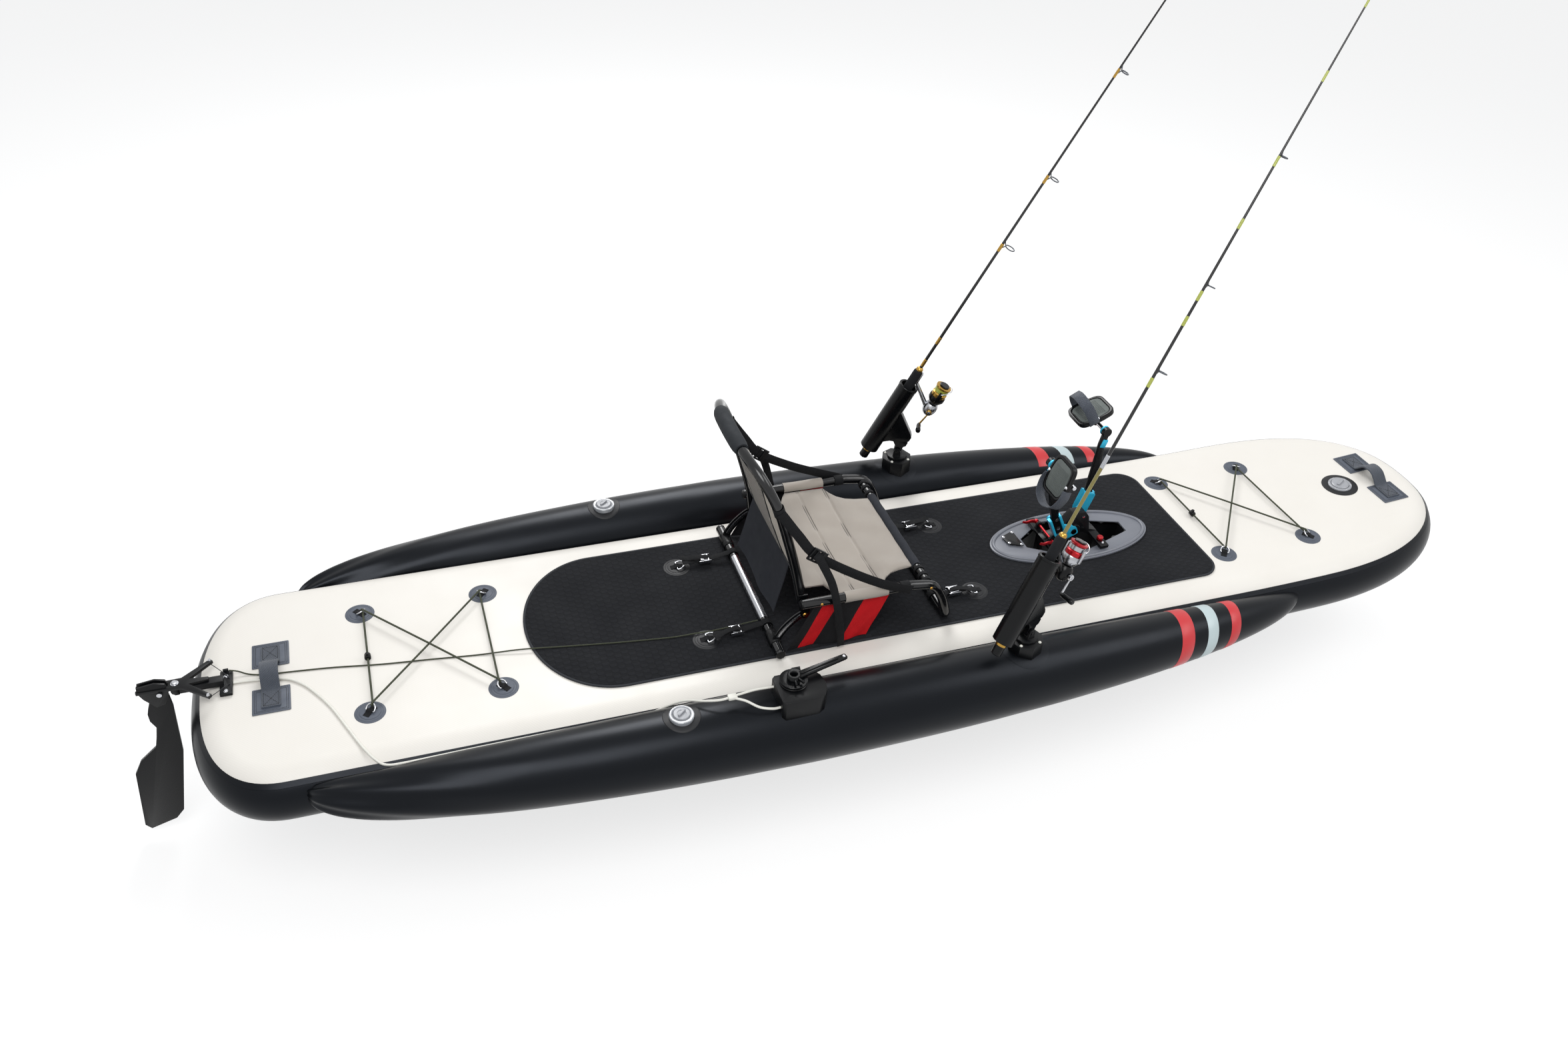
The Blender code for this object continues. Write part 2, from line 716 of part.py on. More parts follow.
def ring_patch(frame):
    """A round patch, thicker in the middle, with the webbing tab that holds a ring's bar."""
    base = turned([(0, 2 * PATCH_STEP), (PATCH_STEP_RADIUS, 2 * PATCH_STEP), (PATCH_RADIUS, PATCH_STEP * 0.8),
                   (PATCH_RADIUS, -BOND), (0, -BOND)], 10)
    tab_outline = [(-0.0065, -0.0006), (-0.0050, 0.0040), (-0.0024, TAB_HEIGHT), (0.0024, TAB_HEIGHT),
                   (0.0050, 0.0040), (0.0065, -0.0006)]
    hole = circle((0, TAB_BORE_HEIGHT), TAB_BORE_RADIUS, 6)
    tab = plate(tab_outline, TAB_WIDTH, plane((0, 0, 2 * PATCH_STEP), (1, 0, 0), (0, 0, 1)), [hole])
    patch = join(base, tab)
    patch.data.transform(frame)
    return patch


def ring_wire(half_width, tilt, frame):
    """A D ring, its bar along local y through the tab and its bow tilted up towards local x."""
    outline = [(0, -half_width), (0, half_width), (RING_LEG, half_width)]
    outline += arc((RING_LEG, 0), half_width, 52, -52, 2)
    outline.append((RING_LEG, -half_width))
    lean = math.radians(tilt)
    height = 2 * PATCH_STEP + TAB_BORE_HEIGHT
    points = [(x * math.cos(lean), y, height + x * math.sin(lean)) for x, y in outline]
    ring = tube(points, WIRE_RADIUS, 0, cyclic=True)
    ring.data.transform(frame)
    return ring


def turned_towards(x, y, target, frame):
    """The frame turned about its own z so that local x points at the target."""
    angle = math.atan2(target[1] - y, target[0] - x)
    return frame @ Matrix.Rotation(angle, 4, "Z")


def bungee_ring_frames(ring_x):
    """Frames of the four rings of one bungee: aft port, aft starboard, bow port, bow starboard."""
    middle = (sum(ring_x) / 2, 0.0)
    return [turned_towards(x, y, middle, on_deck(x, y)) for x in ring_x for y in (RING_Y, -RING_Y)]


def seat_ring_frames():
    frames = []
    for x, towards in ((REAR_TIE_X, 0), (FRONT_TIE_X, 180)):
        for y in (TIE_Y, -TIE_Y):
            place = Matrix.Translation((x, y, PAD_TOP))
            frames.append(place @ Matrix.Rotation(math.radians(towards), 4, "Z"))
    return frames


def ring_pass(frame, reverse=False):
    """The cord's turn through a tilted ring: in beneath its bow, and back over it."""
    reach = RING_LEG + RING_HALF_WIDTH
    lean = math.radians(RING_TILT)
    bow = (reach * math.cos(lean), 2 * PATCH_STEP + TAB_BORE_HEIGHT + reach * math.sin(lean))
    turn = arc(bow, CORD_TURN_RADIUS, -90, -270, 3)
    points = [tuple(frame @ Vector((x, 0, z))) for x, z in turn]
    return points[::-1] if reverse else points


def midpoint(start, end, lift=0.0):
    return tuple((Vector(start) + Vector(end)) / 2 + Vector((0, 0, lift)))


def bungee(ring_x, name):
    """One loop of elastic cord through four rings: two crossing legs, two legs across and a cord lock."""
    frames = bungee_ring_frames(ring_x)
    aft_port, aft_star, bow_port, bow_star = frames
    first, second = ring_pass(aft_port), ring_pass(bow_star, reverse=True)
    third, fourth = ring_pass(bow_port), ring_pass(aft_star, reverse=True)
    route = [*first, midpoint(first[-1], second[0], CROSSING_LIFT), *second,
             *third, midpoint(third[-1], fourth[0], -CROSSING_LIFT), *fourth]
    cord = tube(route, BUNGEE_RADIUS, 2, cyclic=True)
    middle = Vector(midpoint(route[-1], route[0]))
    along = (Vector(route[0]) - Vector(route[-1])).normalized() * LOCK_LENGTH / 2
    lock = bar(middle - along, middle + along, LOCK_RADIUS, 8)
    rings = [ring_wire(RING_HALF_WIDTH, RING_TILT, frame) for frame in frames]
    keep(join(cord, lock, *rings), name, "bungee")


def carry_handle(x, name):
    """Two glued square patches with a raised strap between them."""
    inner = HANDLE_PATCH_Y - HANDLE_PATCH / 2
    step = HANDLE_PATCH_THICKNESS + HANDLE_STRAP_THICKNESS / 2 - 0.0005
    half = [(HANDLE_PATCH_Y + 0.026, step), (inner + 0.020, step), (inner + 0.006, step + 0.006),
            (inner - 0.008, HANDLE_RISE * 0.72), (inner - 0.020, HANDLE_RISE), (0.0, HANDLE_RISE + 0.003)]
    path = half + [(-y, z) for y, z in reversed(half[:-1])]
    upright = plane((0, 0, 0), (0, 1, 0), (0, 0, 1))
    strap = plate(band(path, HANDLE_STRAP_THICKNESS), HANDLE_STRAP_WIDTH, upright)
    patches = [box((HANDLE_PATCH, HANDLE_PATCH, HANDLE_PATCH_THICKNESS),
                   (0, side * HANDLE_PATCH_Y, HANDLE_PATCH_THICKNESS / 2)) for side in (1, -1)]
    handle = join(strap, *patches)
    handle.data.transform(on_deck(x, 0, DECK_LIFT))
    keep(handle, name, "patch_rubber")


def pontoon_radius(x):
    if x < PONTOON_WIDEST_X:
        share, power = (PONTOON_WIDEST_X - x) / PONTOON_REAR_LENGTH, PONTOON_REAR_POWER
    else:
        share, power = (x - PONTOON_WIDEST_X) / PONTOON_FRONT_LENGTH, PONTOON_FRONT_POWER
    return PONTOON_RADIUS * max(1 - share ** 2, 0.0) ** power


def pontoon_blank(side, grow=0.0):
    """A tapered air tube before the board's rail is pressed into it."""
    rows = []
    for step in range(PONTOON_STATIONS + 1):
        t = math.pi * (step / PONTOON_STATIONS - 0.5)
        length = PONTOON_REAR_LENGTH if t < 0 else PONTOON_FRONT_LENGTH
        x = PONTOON_WIDEST_X + length * math.sin(t) * 0.9995
        radius = pontoon_radius(x)
        ring = []
        for i in range(PONTOON_SIDES):
            a = 2 * math.pi * (i + 0.5) / PONTOON_SIDES
            ring.append((x, side * (PONTOON_INNER_Y + radius + (radius + grow) * math.cos(a)),
                         PONTOON_AXIS_Z + (radius + grow) * math.sin(a)))
        rows.append(ring)
    return loft(rows, closed_rows=True, weld=0.000001)


def valve_housing(side):
    """The round valve let into a pontoon's crown."""
    crown = PONTOON_AXIS_Z + pontoon_radius(PONTOON_VALVE_X)
    rim, floor = VALVE_RISE + 0.003, VALVE_RISE - 0.001
    inner = PONTOON_CAP_RADIUS + 0.001
    return turned([(0, floor), (inner, floor), (inner, rim), (PONTOON_VALVE_RADIUS, rim),
                   (PONTOON_VALVE_RADIUS, -0.03),
                   (0, -0.03)], 12, (PONTOON_VALVE_X, side * PONTOON_VALVE_Y, crown))


def make_pontoons():
    for name, side in SIDES.items():
        pontoon = join(pontoon_blank(side), valve_housing(side))
        keep(cut(pontoon, hull_body(GAP)), f"pontoon_{name}", "hull_pvc")


def turn_cap(radius, height, frame):
    """A screw cap with a raised bar to turn it by."""
    disc = turned([(0, 0), (radius, 0), (radius, height * 0.75), (radius * 0.86, height), (0, height)], 14)
    grip = box((radius * 1.3, radius * 0.30, height * 0.8), (0, 0, height * 1.2), 0.0008)
    cap = join(disc, grip)
    cap.data.transform(frame)
    return cap


def make_valves():
    rim = DECK_CAP_RADIUS + 0.001
    housing = turned([(0, 0.0025), (rim, 0.0025), (rim, 0.006), (DECK_VALVE_RING_RADIUS, 0.006),
                      (DECK_VALVE_RING_RADIUS, 0.0030), (DECK_VALVE_PATCH_RADIUS, 0.0015),
                      (DECK_VALVE_PATCH_RADIUS, 0), (0, 0)], 16)
    housing.data.transform(on_deck(DECK_VALVE_X, 0, DECK_LIFT))
    keep(housing, "deck_valve", "patch_rubber")
    cap = turn_cap(DECK_CAP_RADIUS, DECK_CAP_HEIGHT, Matrix.Translation((0, 0, 0.0025 + GAP)))
    cap.data.transform(on_deck(DECK_VALVE_X, 0, DECK_LIFT))
    keep(cap, "deck_valve_cap", "valve_grey")
    low = PONTOON_AXIS_Z + pontoon_radius(PONTOON_VALVE_X) + VALVE_RISE - 0.001 + GAP
    for name, side in SIDES.items():
        frame = Matrix.Translation((PONTOON_VALVE_X, side * PONTOON_VALVE_Y, low))
        keep(turn_cap(PONTOON_CAP_RADIUS, PONTOON_CAP_HEIGHT, frame), f"pontoon_cap_{name}", "steel")


def make_rudder():
    base_z = DECK_TOP + GAP
    front, rear = BRACKET_PLATE_FRONT_X, BRACKET_PLATE_REAR_X
    foot = box((front - rear, 2 * BRACKET_PLATE_HALF_WIDTH, 0.010),
               ((front + rear) / 2, 0, base_z + 0.005), 0.0015)
    arm_x = (rear + 0.010, RUDDER_AXIS_X + GUDGEON_RADIUS * 0.6)
    arm_low, arm_high = base_z + 0.008, GUDGEON_TOP_Z
    arm = box((arm_x[0] - arm_x[1], 0.022, arm_high - arm_low),
              (sum(arm_x) / 2, 0, (arm_low + arm_high) / 2))
    boss = bar((RUDDER_AXIS_X, 0, GUDGEON_BOTTOM_Z), (RUDDER_AXIS_X, 0, GUDGEON_TOP_Z), GUDGEON_RADIUS, 14)
    eye = box((0.012, 0.006, 0.012), ((front + rear) / 2, 0.033, base_z + 0.014))
    bore = bar((RUDDER_AXIS_X, 0, 0.10), (RUDDER_AXIS_X, 0, 0.25), RUDDER_PIN_RADIUS + PIN_CLEARANCE, 12)
    keep(cut(join(foot, arm, boss, eye), bore), "rudder_bracket", "black_plastic")

    plate_low = GUDGEON_TOP_Z + GAP
    plate_mid = plate_low + HEAD_PLATE_THICKNESS / 2
    tip_x, tip_y = YOKE_TIP
    root_x = RUDDER_AXIS_X + 0.014
    half = [(BLADE_PIVOT[0] - 0.048, 0.012), (RUDDER_AXIS_X - 0.012, 0.015), (root_x, 0.016),
            (tip_x - 0.004, tip_y + 0.002), (tip_x, tip_y + YOKE_WIDTH / 2), (tip_x + 0.006, tip_y - 0.002),
            (root_x + 0.016, 0.009), (tip_x - 0.002, 0.0045), (tip_x + 0.004, 0.0)]
    top = plate(mirrored_outline(half[:-1]), HEAD_PLATE_THICKNESS, Matrix.Translation((0, 0, plate_mid)))
    slot = box((0.080, BLADE_THICKNESS + 0.0012, 0.05), (BLADE_PIVOT[0] - 0.019, 0, plate_mid))
    top = cut(top, slot)
    pin_low, nut_top = GUDGEON_BOTTOM_Z - 0.004, GUDGEON_BOTTOM_Z - GAP
    pin = bar((RUDDER_AXIS_X, 0, plate_mid), (RUDDER_AXIS_X, 0, pin_low), RUDDER_PIN_RADIUS, 12)
    nut = bar((RUDDER_AXIS_X, 0, nut_top), (RUDDER_AXIS_X, 0, pin_low - 0.002), 0.009, 6)
    px, pz = BLADE_PIVOT
    cheek_outline = [(px + 0.020, plate_mid), (px + 0.018, pz - 0.010), (px + 0.006, pz - 0.036),
                     (px - 0.014, pz - 0.042), (px - 0.036, pz - 0.012), (px - 0.046, plate_mid),
                     (px - 0.044, plate_mid + 0.014), (px - 0.006, plate_mid + 0.020),
                     (px + 0.016, plate_mid + 0.014)]
    cheek_y = BLADE_THICKNESS / 2 + 0.0005 + CHEEK_THICKNESS / 2
    cheeks = [plate(cheek_outline, CHEEK_THICKNESS, side_plane(side * cheek_y)) for side in (1, -1)]
    bolt = bar((px, -cheek_y - 0.006, pz), (px, cheek_y + 0.006, pz), BLADE_BOLT_RADIUS, 12)
    heads = [bar((px, side * (cheek_y + 0.001), pz), (px, side * (cheek_y + 0.006), pz), 0.007, 10)
             for side in (1, -1)]
    keep(join(top, pin, nut, *cheeks, bolt, *heads), "rudder_head", "black_plastic")

    crown = arc(BLADE_PIVOT, 0.017, 20, 160, 5)
    blade_outline = crown + [(px + u, z) for u, z in BLADE_OUTLINE]
    hole = circle(BLADE_PIVOT, BLADE_BOLT_RADIUS + PIN_CLEARANCE, 12)
    blade = plate(blade_outline, BLADE_THICKNESS, side_plane(0), [hole])
    keep(blade, "rudder_blade", "black_plastic")


def valley(x, radius):
    """Where a cord of this radius lies between the board's rail and the starboard pontoon."""
    board = Vector((HULL_HALF_WIDTH - RAIL_RADIUS, RAIL_RADIUS))
    air = Vector((PONTOON_INNER_Y + pontoon_radius(x), PONTOON_AXIS_Z))
    reach_board = RAIL_RADIUS + radius + 2 * GAP
    reach_air = pontoon_radius(x) + radius + 2 * GAP
    apart = air - board
    along = (reach_board ** 2 - reach_air ** 2 + apart.length_squared) / (2 * apart.length)
    rise = math.sqrt(reach_board ** 2 - along ** 2)
    unit = apart.normalized()
    place = board + unit * along + Vector((-unit.y, unit.x)) * rise
    return (x, -place.x, place.y)


def make_lines():
    deck = DECK_TOP + SHEATH_RADIUS + GAP
    start_x = CONTROL_X[0] - GAP
    over = [(start_x, 0.080, 0.220), (-0.480, 0.080, 0.221), (-0.510, 0.083, 0.225), (-0.550, 0.089, 0.226),
            (-0.590, 0.089, 0.220), (-0.625, 0.071, 0.208), (-0.660, 0.041, 0.190), (-0.695, 0.018, 0.163)]
    route = [(x, -PONTOON_INNER_Y - out, z) for x, out, z in over]
    route += [valley(x, SHEATH_RADIUS) for x in (-0.74, -0.84, -1.00, -1.16, -1.30)]
    up = [(-1.345, 0.019, 0.138), (-1.367, 0.034, 0.1475), (-1.385, 0.060, deck + 0.0012)]
    route += [(x, inward - HULL_HALF_WIDTH, z) for x, inward, z in up]
    route += [(-1.400, -0.265, deck), (-1.417, -0.222, deck), (-1.449, -0.144, deck), (-1.480, -0.088, deck),
              (-1.510, -0.046, deck), (-1.545, -0.019, deck), (-1.590, -0.008, deck),
              (-1.630, -0.002, deck), (BRACKET_PLATE_FRONT_X + GAP, 0.0, deck)]
    long_sheath = tube(route, SHEATH_RADIUS, 2)
    beside = 2 * SHEATH_RADIUS + GAP
    over = [(start_x, 0.135, 0.205), (-0.480, 0.135, 0.206), (-0.510, 0.129, 0.213), (-0.537, 0.110, 0.222),
            (-0.560, 0.0905 + beside, 0.2245)]
    second = [(x, -PONTOON_INNER_Y - out, z) for x, out, z in over]
    short_sheath = tube(smooth(second, 2), SHEATH_RADIUS, 2)
    joiner = box((0.022, 2 * SHEATH_RADIUS + 0.010, 0.009), (-0.565, -PONTOON_INNER_Y - 0.0915, 0.2248))
    keep(join(long_sheath, short_sheath, joiner), "steering_sheaths", "sheath_white")

    deck = DECK_TOP + LIFT_LINE_RADIUS + GAP
    pad = PAD_TOP + LIFT_LINE_RADIUS + GAP
    eye_x = (BRACKET_PLATE_FRONT_X + BRACKET_PLATE_REAR_X) / 2 + 0.006
    route = [(eye_x + 0.001, 0.033, DECK_TOP + 0.0155), (-1.652, 0.030, 0.162),
             (-1.630, 0.022, deck + 0.001),
             (-1.595, 0.012, deck), (-1.520, 0.004, deck), (-1.436, -0.006, deck), (-1.330, -0.024, deck),
             (-1.220, -0.037, deck), (-1.100, -0.052, deck), (-1.000, -0.066, pad + 0.0006),
             (-0.900, -0.082, pad),
             (-0.760, -0.104, pad), (-0.640, -0.119, pad), (-0.600, -0.122, pad + 0.0008),
             (-0.572, -0.124, pad + 0.0028), (-0.520, -0.126, pad + 0.0034),
             (REAR_BAR_X - TUBE_RADIUS - 0.004, -0.130, REAR_BAR_Z + 0.001)]
    keep(tube(route, LIFT_LINE_RADIUS, 2), "lift_line", "webbing")


REAR_BAR_Z = PAD_TOP + GAP + COLLAR_RADIUS
FOOT_Z = PAD_TOP + GAP + TUBE_RADIUS


def make_control():
    (x0, x1), (y0, y1) = CONTROL_X, CONTROL_Y
    nose = 0.030
    centre_y = (y0 + y1) / 2
    half = (y1 - y0) / 2
    outline = [(x0, y0 + 0.008), (x0 + 0.008, y0), (x1 - nose, y0)]
    outline += [(x1 - nose + nose * math.cos(t), centre_y + half * math.sin(t))
                for t in (math.radians(a) for a in (-60, -30, 0, 30, 60))]
    outline += [(x1 - nose, y1), (x0 + 0.008, y1), (x0, y1 - 0.008)]
    low = 0.150
    block = plate(outline, CONTROL_TOP_Z - low, Matrix.Translation((0, 0, (CONTROL_TOP_Z + low) / 2)))
    post = bar((*DRUM_CENTRE, CONTROL_TOP_Z - 0.002), (*DRUM_CENTRE, CONTROL_TOP_Z + 0.010), 0.006, 14)
    clip_x = -0.395
    hook_path = [(0.0, -0.012), (0.004, -0.004), (0.006, 0.008), (0.012, 0.014), (0.016, 0.008)]
    hook = plate(band(hook_path, 0.004), 0.022, plane((clip_x, y1 - 0.003, 0.222), (0, 1, 0), (0, 0, 1)))
    body = cut(join(block, post, hook), pontoon_blank(-1, GAP))
    keep(body, "control_base", "black_plastic")

    low = CONTROL_TOP_Z + GAP
    drum = turned([(0, 0), (DRUM_RADIUS, 0), (DRUM_RADIUS, 0.004), (DRUM_RADIUS - 0.003, 0.006),
                   (DRUM_RADIUS, 0.008), (DRUM_RADIUS, DRUM_HEIGHT), (0, DRUM_HEIGHT)], 12, (*DRUM_CENTRE, low))
    arm_z = low + DRUM_HEIGHT - 0.001
    away = (Vector(LEVER_TIP) - Vector(DRUM_CENTRE)).normalized()
    start = Vector(DRUM_CENTRE) + away * 0.010
    arm_outline = band([tuple(start), LEVER_TIP], LEVER_WIDTH)
    arm_outline = arm_outline[:2] + [tuple(Vector(LEVER_TIP) + away * 0.008)] + arm_outline[2:]
    arm = plate(arm_outline, 0.008, Matrix.Translation((0, 0, arm_z + 0.004)))
    knob_profile = [(0, 0), (0.016, 0), (0.014, 0.014), (0.010, 0.017), (0, 0.017)]
    knob = turned(knob_profile, 12, (*DRUM_CENTRE, arm_z))
    recess = bar((*DRUM_CENTRE, low - 0.01), (*DRUM_CENTRE, low + 0.0106), 0.0065, 14)
    keep(cut(join(drum, arm, knob), recess), "control_lever", "black_plastic")


def frame_back_points():
    """Centre line of the back's arch, port pivot to starboard pivot."""
    top_x, top_z = ARCH_TOP
    points = [*ARCH_HALF, (top_x, 0.0, top_z), *((x, -y, z) for x, y, z in reversed(ARCH_HALF))]
    return smooth(points, 2)


def inside_arch(points, z):
    """At a height, the arch's x and how far the back's panel reaches towards its port side."""
    low, high = next(pair for pair in zip(points, points[1:]) if z <= pair[1][2])
    rise = high[2] - low[2]
    t = (z - low[2]) / rise
    slant = (Vector(high) - Vector(low)).length / rise
    return (low[0] + (high[0] - low[0]) * t,
            low[1] + (high[1] - low[1]) * t - (TUBE_RADIUS + GAP) * slant)


def make_seat_frame():
    half = [(RAIL_REAR_X, RAIL_Y, RAIL_Z), (-0.180, RAIL_Y, RAIL_Z), (-0.040, RAIL_Y, RAIL_Z),
            (0.018, RAIL_Y, 0.287), (0.046, RAIL_Y, 0.250), (0.062, RAIL_Y, 0.208),
            (0.071, RAIL_Y - 0.006, 0.181), (FOOT_X, RAIL_Y - 0.028, FOOT_Z), (FOOT_X, 0.160, FOOT_Z)]
    route = half[:2] + smooth(half[2:], 2)
    route += [(x, -y, z) for x, y, z in reversed(route)]
    rails = tube(route, TUBE_RADIUS, 2)
    cross_end = RAIL_Y - 0.004
    cross = bar((CROSSBAR_X, -cross_end, CROSSBAR_Z), (CROSSBAR_X, cross_end, CROSSBAR_Z), CROSSBAR_RADIUS, 10)
    px, pz = SEAT_PIVOT
    extras = [cross]
    for side in (1, -1):
        lug = [*arc((px, pz), 0.012, 180, 360, 6), (px + 0.012, RAIL_Z), (px - 0.012, RAIL_Z)]
        extras.append(plate(lug, PLATE_THICKNESS, side_plane(side * LUG_Y)))
        inner = BACK_PLATE_Y - PLATE_THICKNESS / 2
        extras.append(bar((px, side * LUG_Y, pz), (px, side * (inner - 0.002), pz), RIVET_RADIUS, 10))
        extras.append(bar((px, side * (inner - 0.0005), pz), (px, side * (inner - 0.003), pz), 0.007, 10))
    keep(join(rails, *extras), "seat_rails", "frame_black")

    bar_y = REAR_BAR_HALF_LENGTH
    rear = bar((REAR_BAR_X, -bar_y, REAR_BAR_Z), (REAR_BAR_X, bar_y, REAR_BAR_Z), TUBE_RADIUS, 12)
    pieces = []
    for side in (1, -1):
        pieces.append(bar((REAR_BAR_X, side * (COLLAR_Y - 0.014), REAR_BAR_Z),
                          (REAR_BAR_X, side * (COLLAR_Y + 0.034), REAR_BAR_Z), COLLAR_RADIUS, 12))
        path = [(px + 0.010, pz + 0.004), (px - 0.014, pz - 0.006), (px - 0.044, pz - 0.032),
                (px - 0.064, pz - 0.060), (REAR_BAR_X, REAR_BAR_Z)]
        hole = circle((px, pz), RIVET_RADIUS + PIN_CLEARANCE, 10)
        pieces.append(plate(band(path, 0.022), PLATE_THICKNESS, side_plane(side * LEG_PLATE_Y), [hole]))
    keep(join(rear, *pieces), "seat_rear_legs", "frame_black")


def sheet_form(name, slot, rows, thickness):
    """A soft sheet through rows of points, given its thickness by Solidify."""
    surface = loft(rows)
    wall = surface.modifiers.new("thickness", "SOLIDIFY")
    wall.thickness = thickness
    wall.offset = 0.0
    bpy.context.view_layer.update()
    return keep(plain_copy(surface), name, slot)


def sling_half_width(x):
    """Half the sling's width: cut back at its rear corners, on the rails in the middle, narrow in front."""
    stops = ((SLING_REAR_X, 0.170), (-0.252, 0.172), (-0.236, 0.205), (-0.222, RAIL_Y - TUBE_RADIUS - 0.0008),
             (-0.108, RAIL_Y - TUBE_RADIUS - 0.0008), (-0.085, 0.200), (-0.055, 0.158), (0.02, 0.145))
    for (x0, w0), (x1, w1) in zip(stops, stops[1:]):
        if x <= x1:
            return w0 + (w1 - w0) * (x - x0) / (x1 - x0)
    return stops[-1][1]


def make_sling():
    front_x = CROSSBAR_X - CROSSBAR_RADIUS - 0.0006
    xs = [SLING_REAR_X, -0.275, -0.252, -0.236, -0.222, -0.195, -0.165, -0.135, -0.108, -0.085, -0.055, -0.028,
          front_x]
    shares = (-1, -0.7, -0.38, -0.31, -0.24, 0, 0.24, 0.31, 0.38, 0.7, 1)
    rows = []
    for x in xs:
        along = (x - SLING_REAR_X) / (front_x - SLING_REAR_X)
        half = sling_half_width(x)
        row = []
        for share in shares:
            seam = 0.0025 if abs(abs(share) - 0.31) < 0.01 else 0.0
            sag = SLING_SAG * (1 - share ** 2) * math.sin(math.pi * (0.1 + 0.9 * along)) ** 0.8
            row.append((x, share * half, SLING_Z - sag - seam - 0.006 * along))
        rows.append(row)
    sheet_form("seat_sling", "sling_taupe", rows, SLING_THICKNESS)

    top_z = RAIL_Z - TUBE_RADIUS - 0.0005
    for name, side in SIDES.items():
        rows = []
        for step in range(5):
            v = step / 4
            z = top_z + (PAD_TOP + 0.003 - top_z) * v
            row = []
            for i in range(8):
                u = i / 7
                x = (-0.300 + 0.200 * u) * (1 - v) + (-0.366 + 0.216 * u) * v
                fold = 0.004 * v * math.sin(2 * math.pi * (1.5 * u + 0.3 * v))
                row.append((x, side * (RAIL_Y + 0.001 + fold), z))
            rows.append(row)
        sheet_form(f"side_panel_{name}", "panel_black", rows, PANEL_THICKNESS)


def make_back():
    points = frame_back_points()
    arch = tube(points, TUBE_RADIUS, 2)
    px, pz = SEAT_PIVOT
    plates = []
    for side in (1, -1):
        foot = [*arc((px, pz), 0.011, 170, 350, 6), (px + 0.008, pz + 0.055), (px - 0.018, pz + 0.055)]
        hole = circle((px, pz), RIVET_RADIUS + PIN_CLEARANCE, 10)
        plates.append(plate(foot, PLATE_THICKNESS, side_plane(side * BACK_PLATE_Y), [hole]))
    keep(join(arch, *plates), "back_frame", "frame_black")

    port = points[:len(points) // 2 + 1]
    rows = []
    heights = [BACK_BOTTOM_Z + (BACK_TOP_Z - BACK_BOTTOM_Z) * i / 8 for i in range(9)]
    shares = (-1, -0.85, -0.62, -0.5, -0.25, 0, 0.25, 0.5, 0.62, 0.85, 1)
    for z in heights:
        x, half = inside_arch(port, z)
        crown = 0.012 * math.sin(math.pi * (z - BACK_BOTTOM_Z) / (BACK_TOP_Z - BACK_BOTTOM_Z))
        row = []
        for share in shares:
            seam = 0.0025 if abs(abs(share) - 0.62) < 0.01 else 0.0
            row.append((x - crown * (1 - share ** 2) - seam, share * half, z))
        rows.append(row)
    sheet_form("back_panel", "sling_taupe", rows, BACK_PADDING)

    middle = [p for p in points if abs(p[1]) <= GRIP_HALF_LENGTH]
    before = 2 * Vector(middle[0]) - Vector(middle[1])
    after = 2 * Vector(middle[-1]) - Vector(middle[-2])
    ends = [before] + middle + [after]
    sleeve = cut(tube(middle, GRIP_RADIUS, 2), tube([tuple(p) for p in ends], GRIP_BORE, 2))
    keep(sleeve, "back_grip", "foam_grey")

    rows = []
    for step in range(7):
        v = step / 6
        z = FLAP_TOP_Z + (FLAP_BOTTOM_Z - FLAP_TOP_Z) * v
        x = FLAP_TOP_X - 0.036 * v
        row = [(x + 0.003 * math.sin(3 * math.pi * u + 1.2) * v, -0.146 + 0.292 * u, z)
               for u in (i / 8 for i in range(9))]
        rows.append(row)
    sheet_form("back_flap", "foam_grey", rows, PANEL_THICKNESS)


def make_back_straps():
    """A strap from the top of the back to each rail, its ladder lock and its hanging tail."""
    for name, side in SIDES.items():
        run = [(-0.393, side * (0.200 + TUBE_RADIUS + 0.0012), 0.568), (-0.348, side * 0.219, 0.500),
               (-0.301, side * 0.226, 0.437), (-0.210, side * 0.240, 0.376), (-0.130, side * 0.2515, 0.333),
               (-0.080, side * (RAIL_Y + TUBE_RADIUS + 0.0012), 0.311),
               (-0.046, side * (RAIL_Y + TUBE_RADIUS + 0.0012), 0.297)]
        strap = webbing(smooth(run, 2), (0.012, 0, 0.022), STRAP_THICKNESS)
        lock = box((0.030, 0.009, 0.034), (-0.301, side * 0.227, 0.437), 0.0, Matrix.Rotation(0.9, 4, "Y"))
        tail = webbing(smooth([(-0.301, side * 0.2285, 0.442), (-0.292, side * 0.2400, 0.425),
                               (-0.268, side * 0.2610, 0.370), (-0.250, side * 0.2640, 0.300),
                               (-0.236, side * 0.2640, 0.220), (-0.230, side * 0.2660, 0.164)], 2),
                       (0.022, 0, 0.004), STRAP_THICKNESS)
        keep(join(strap, lock, tail), f"back_strap_{name}", "webbing")


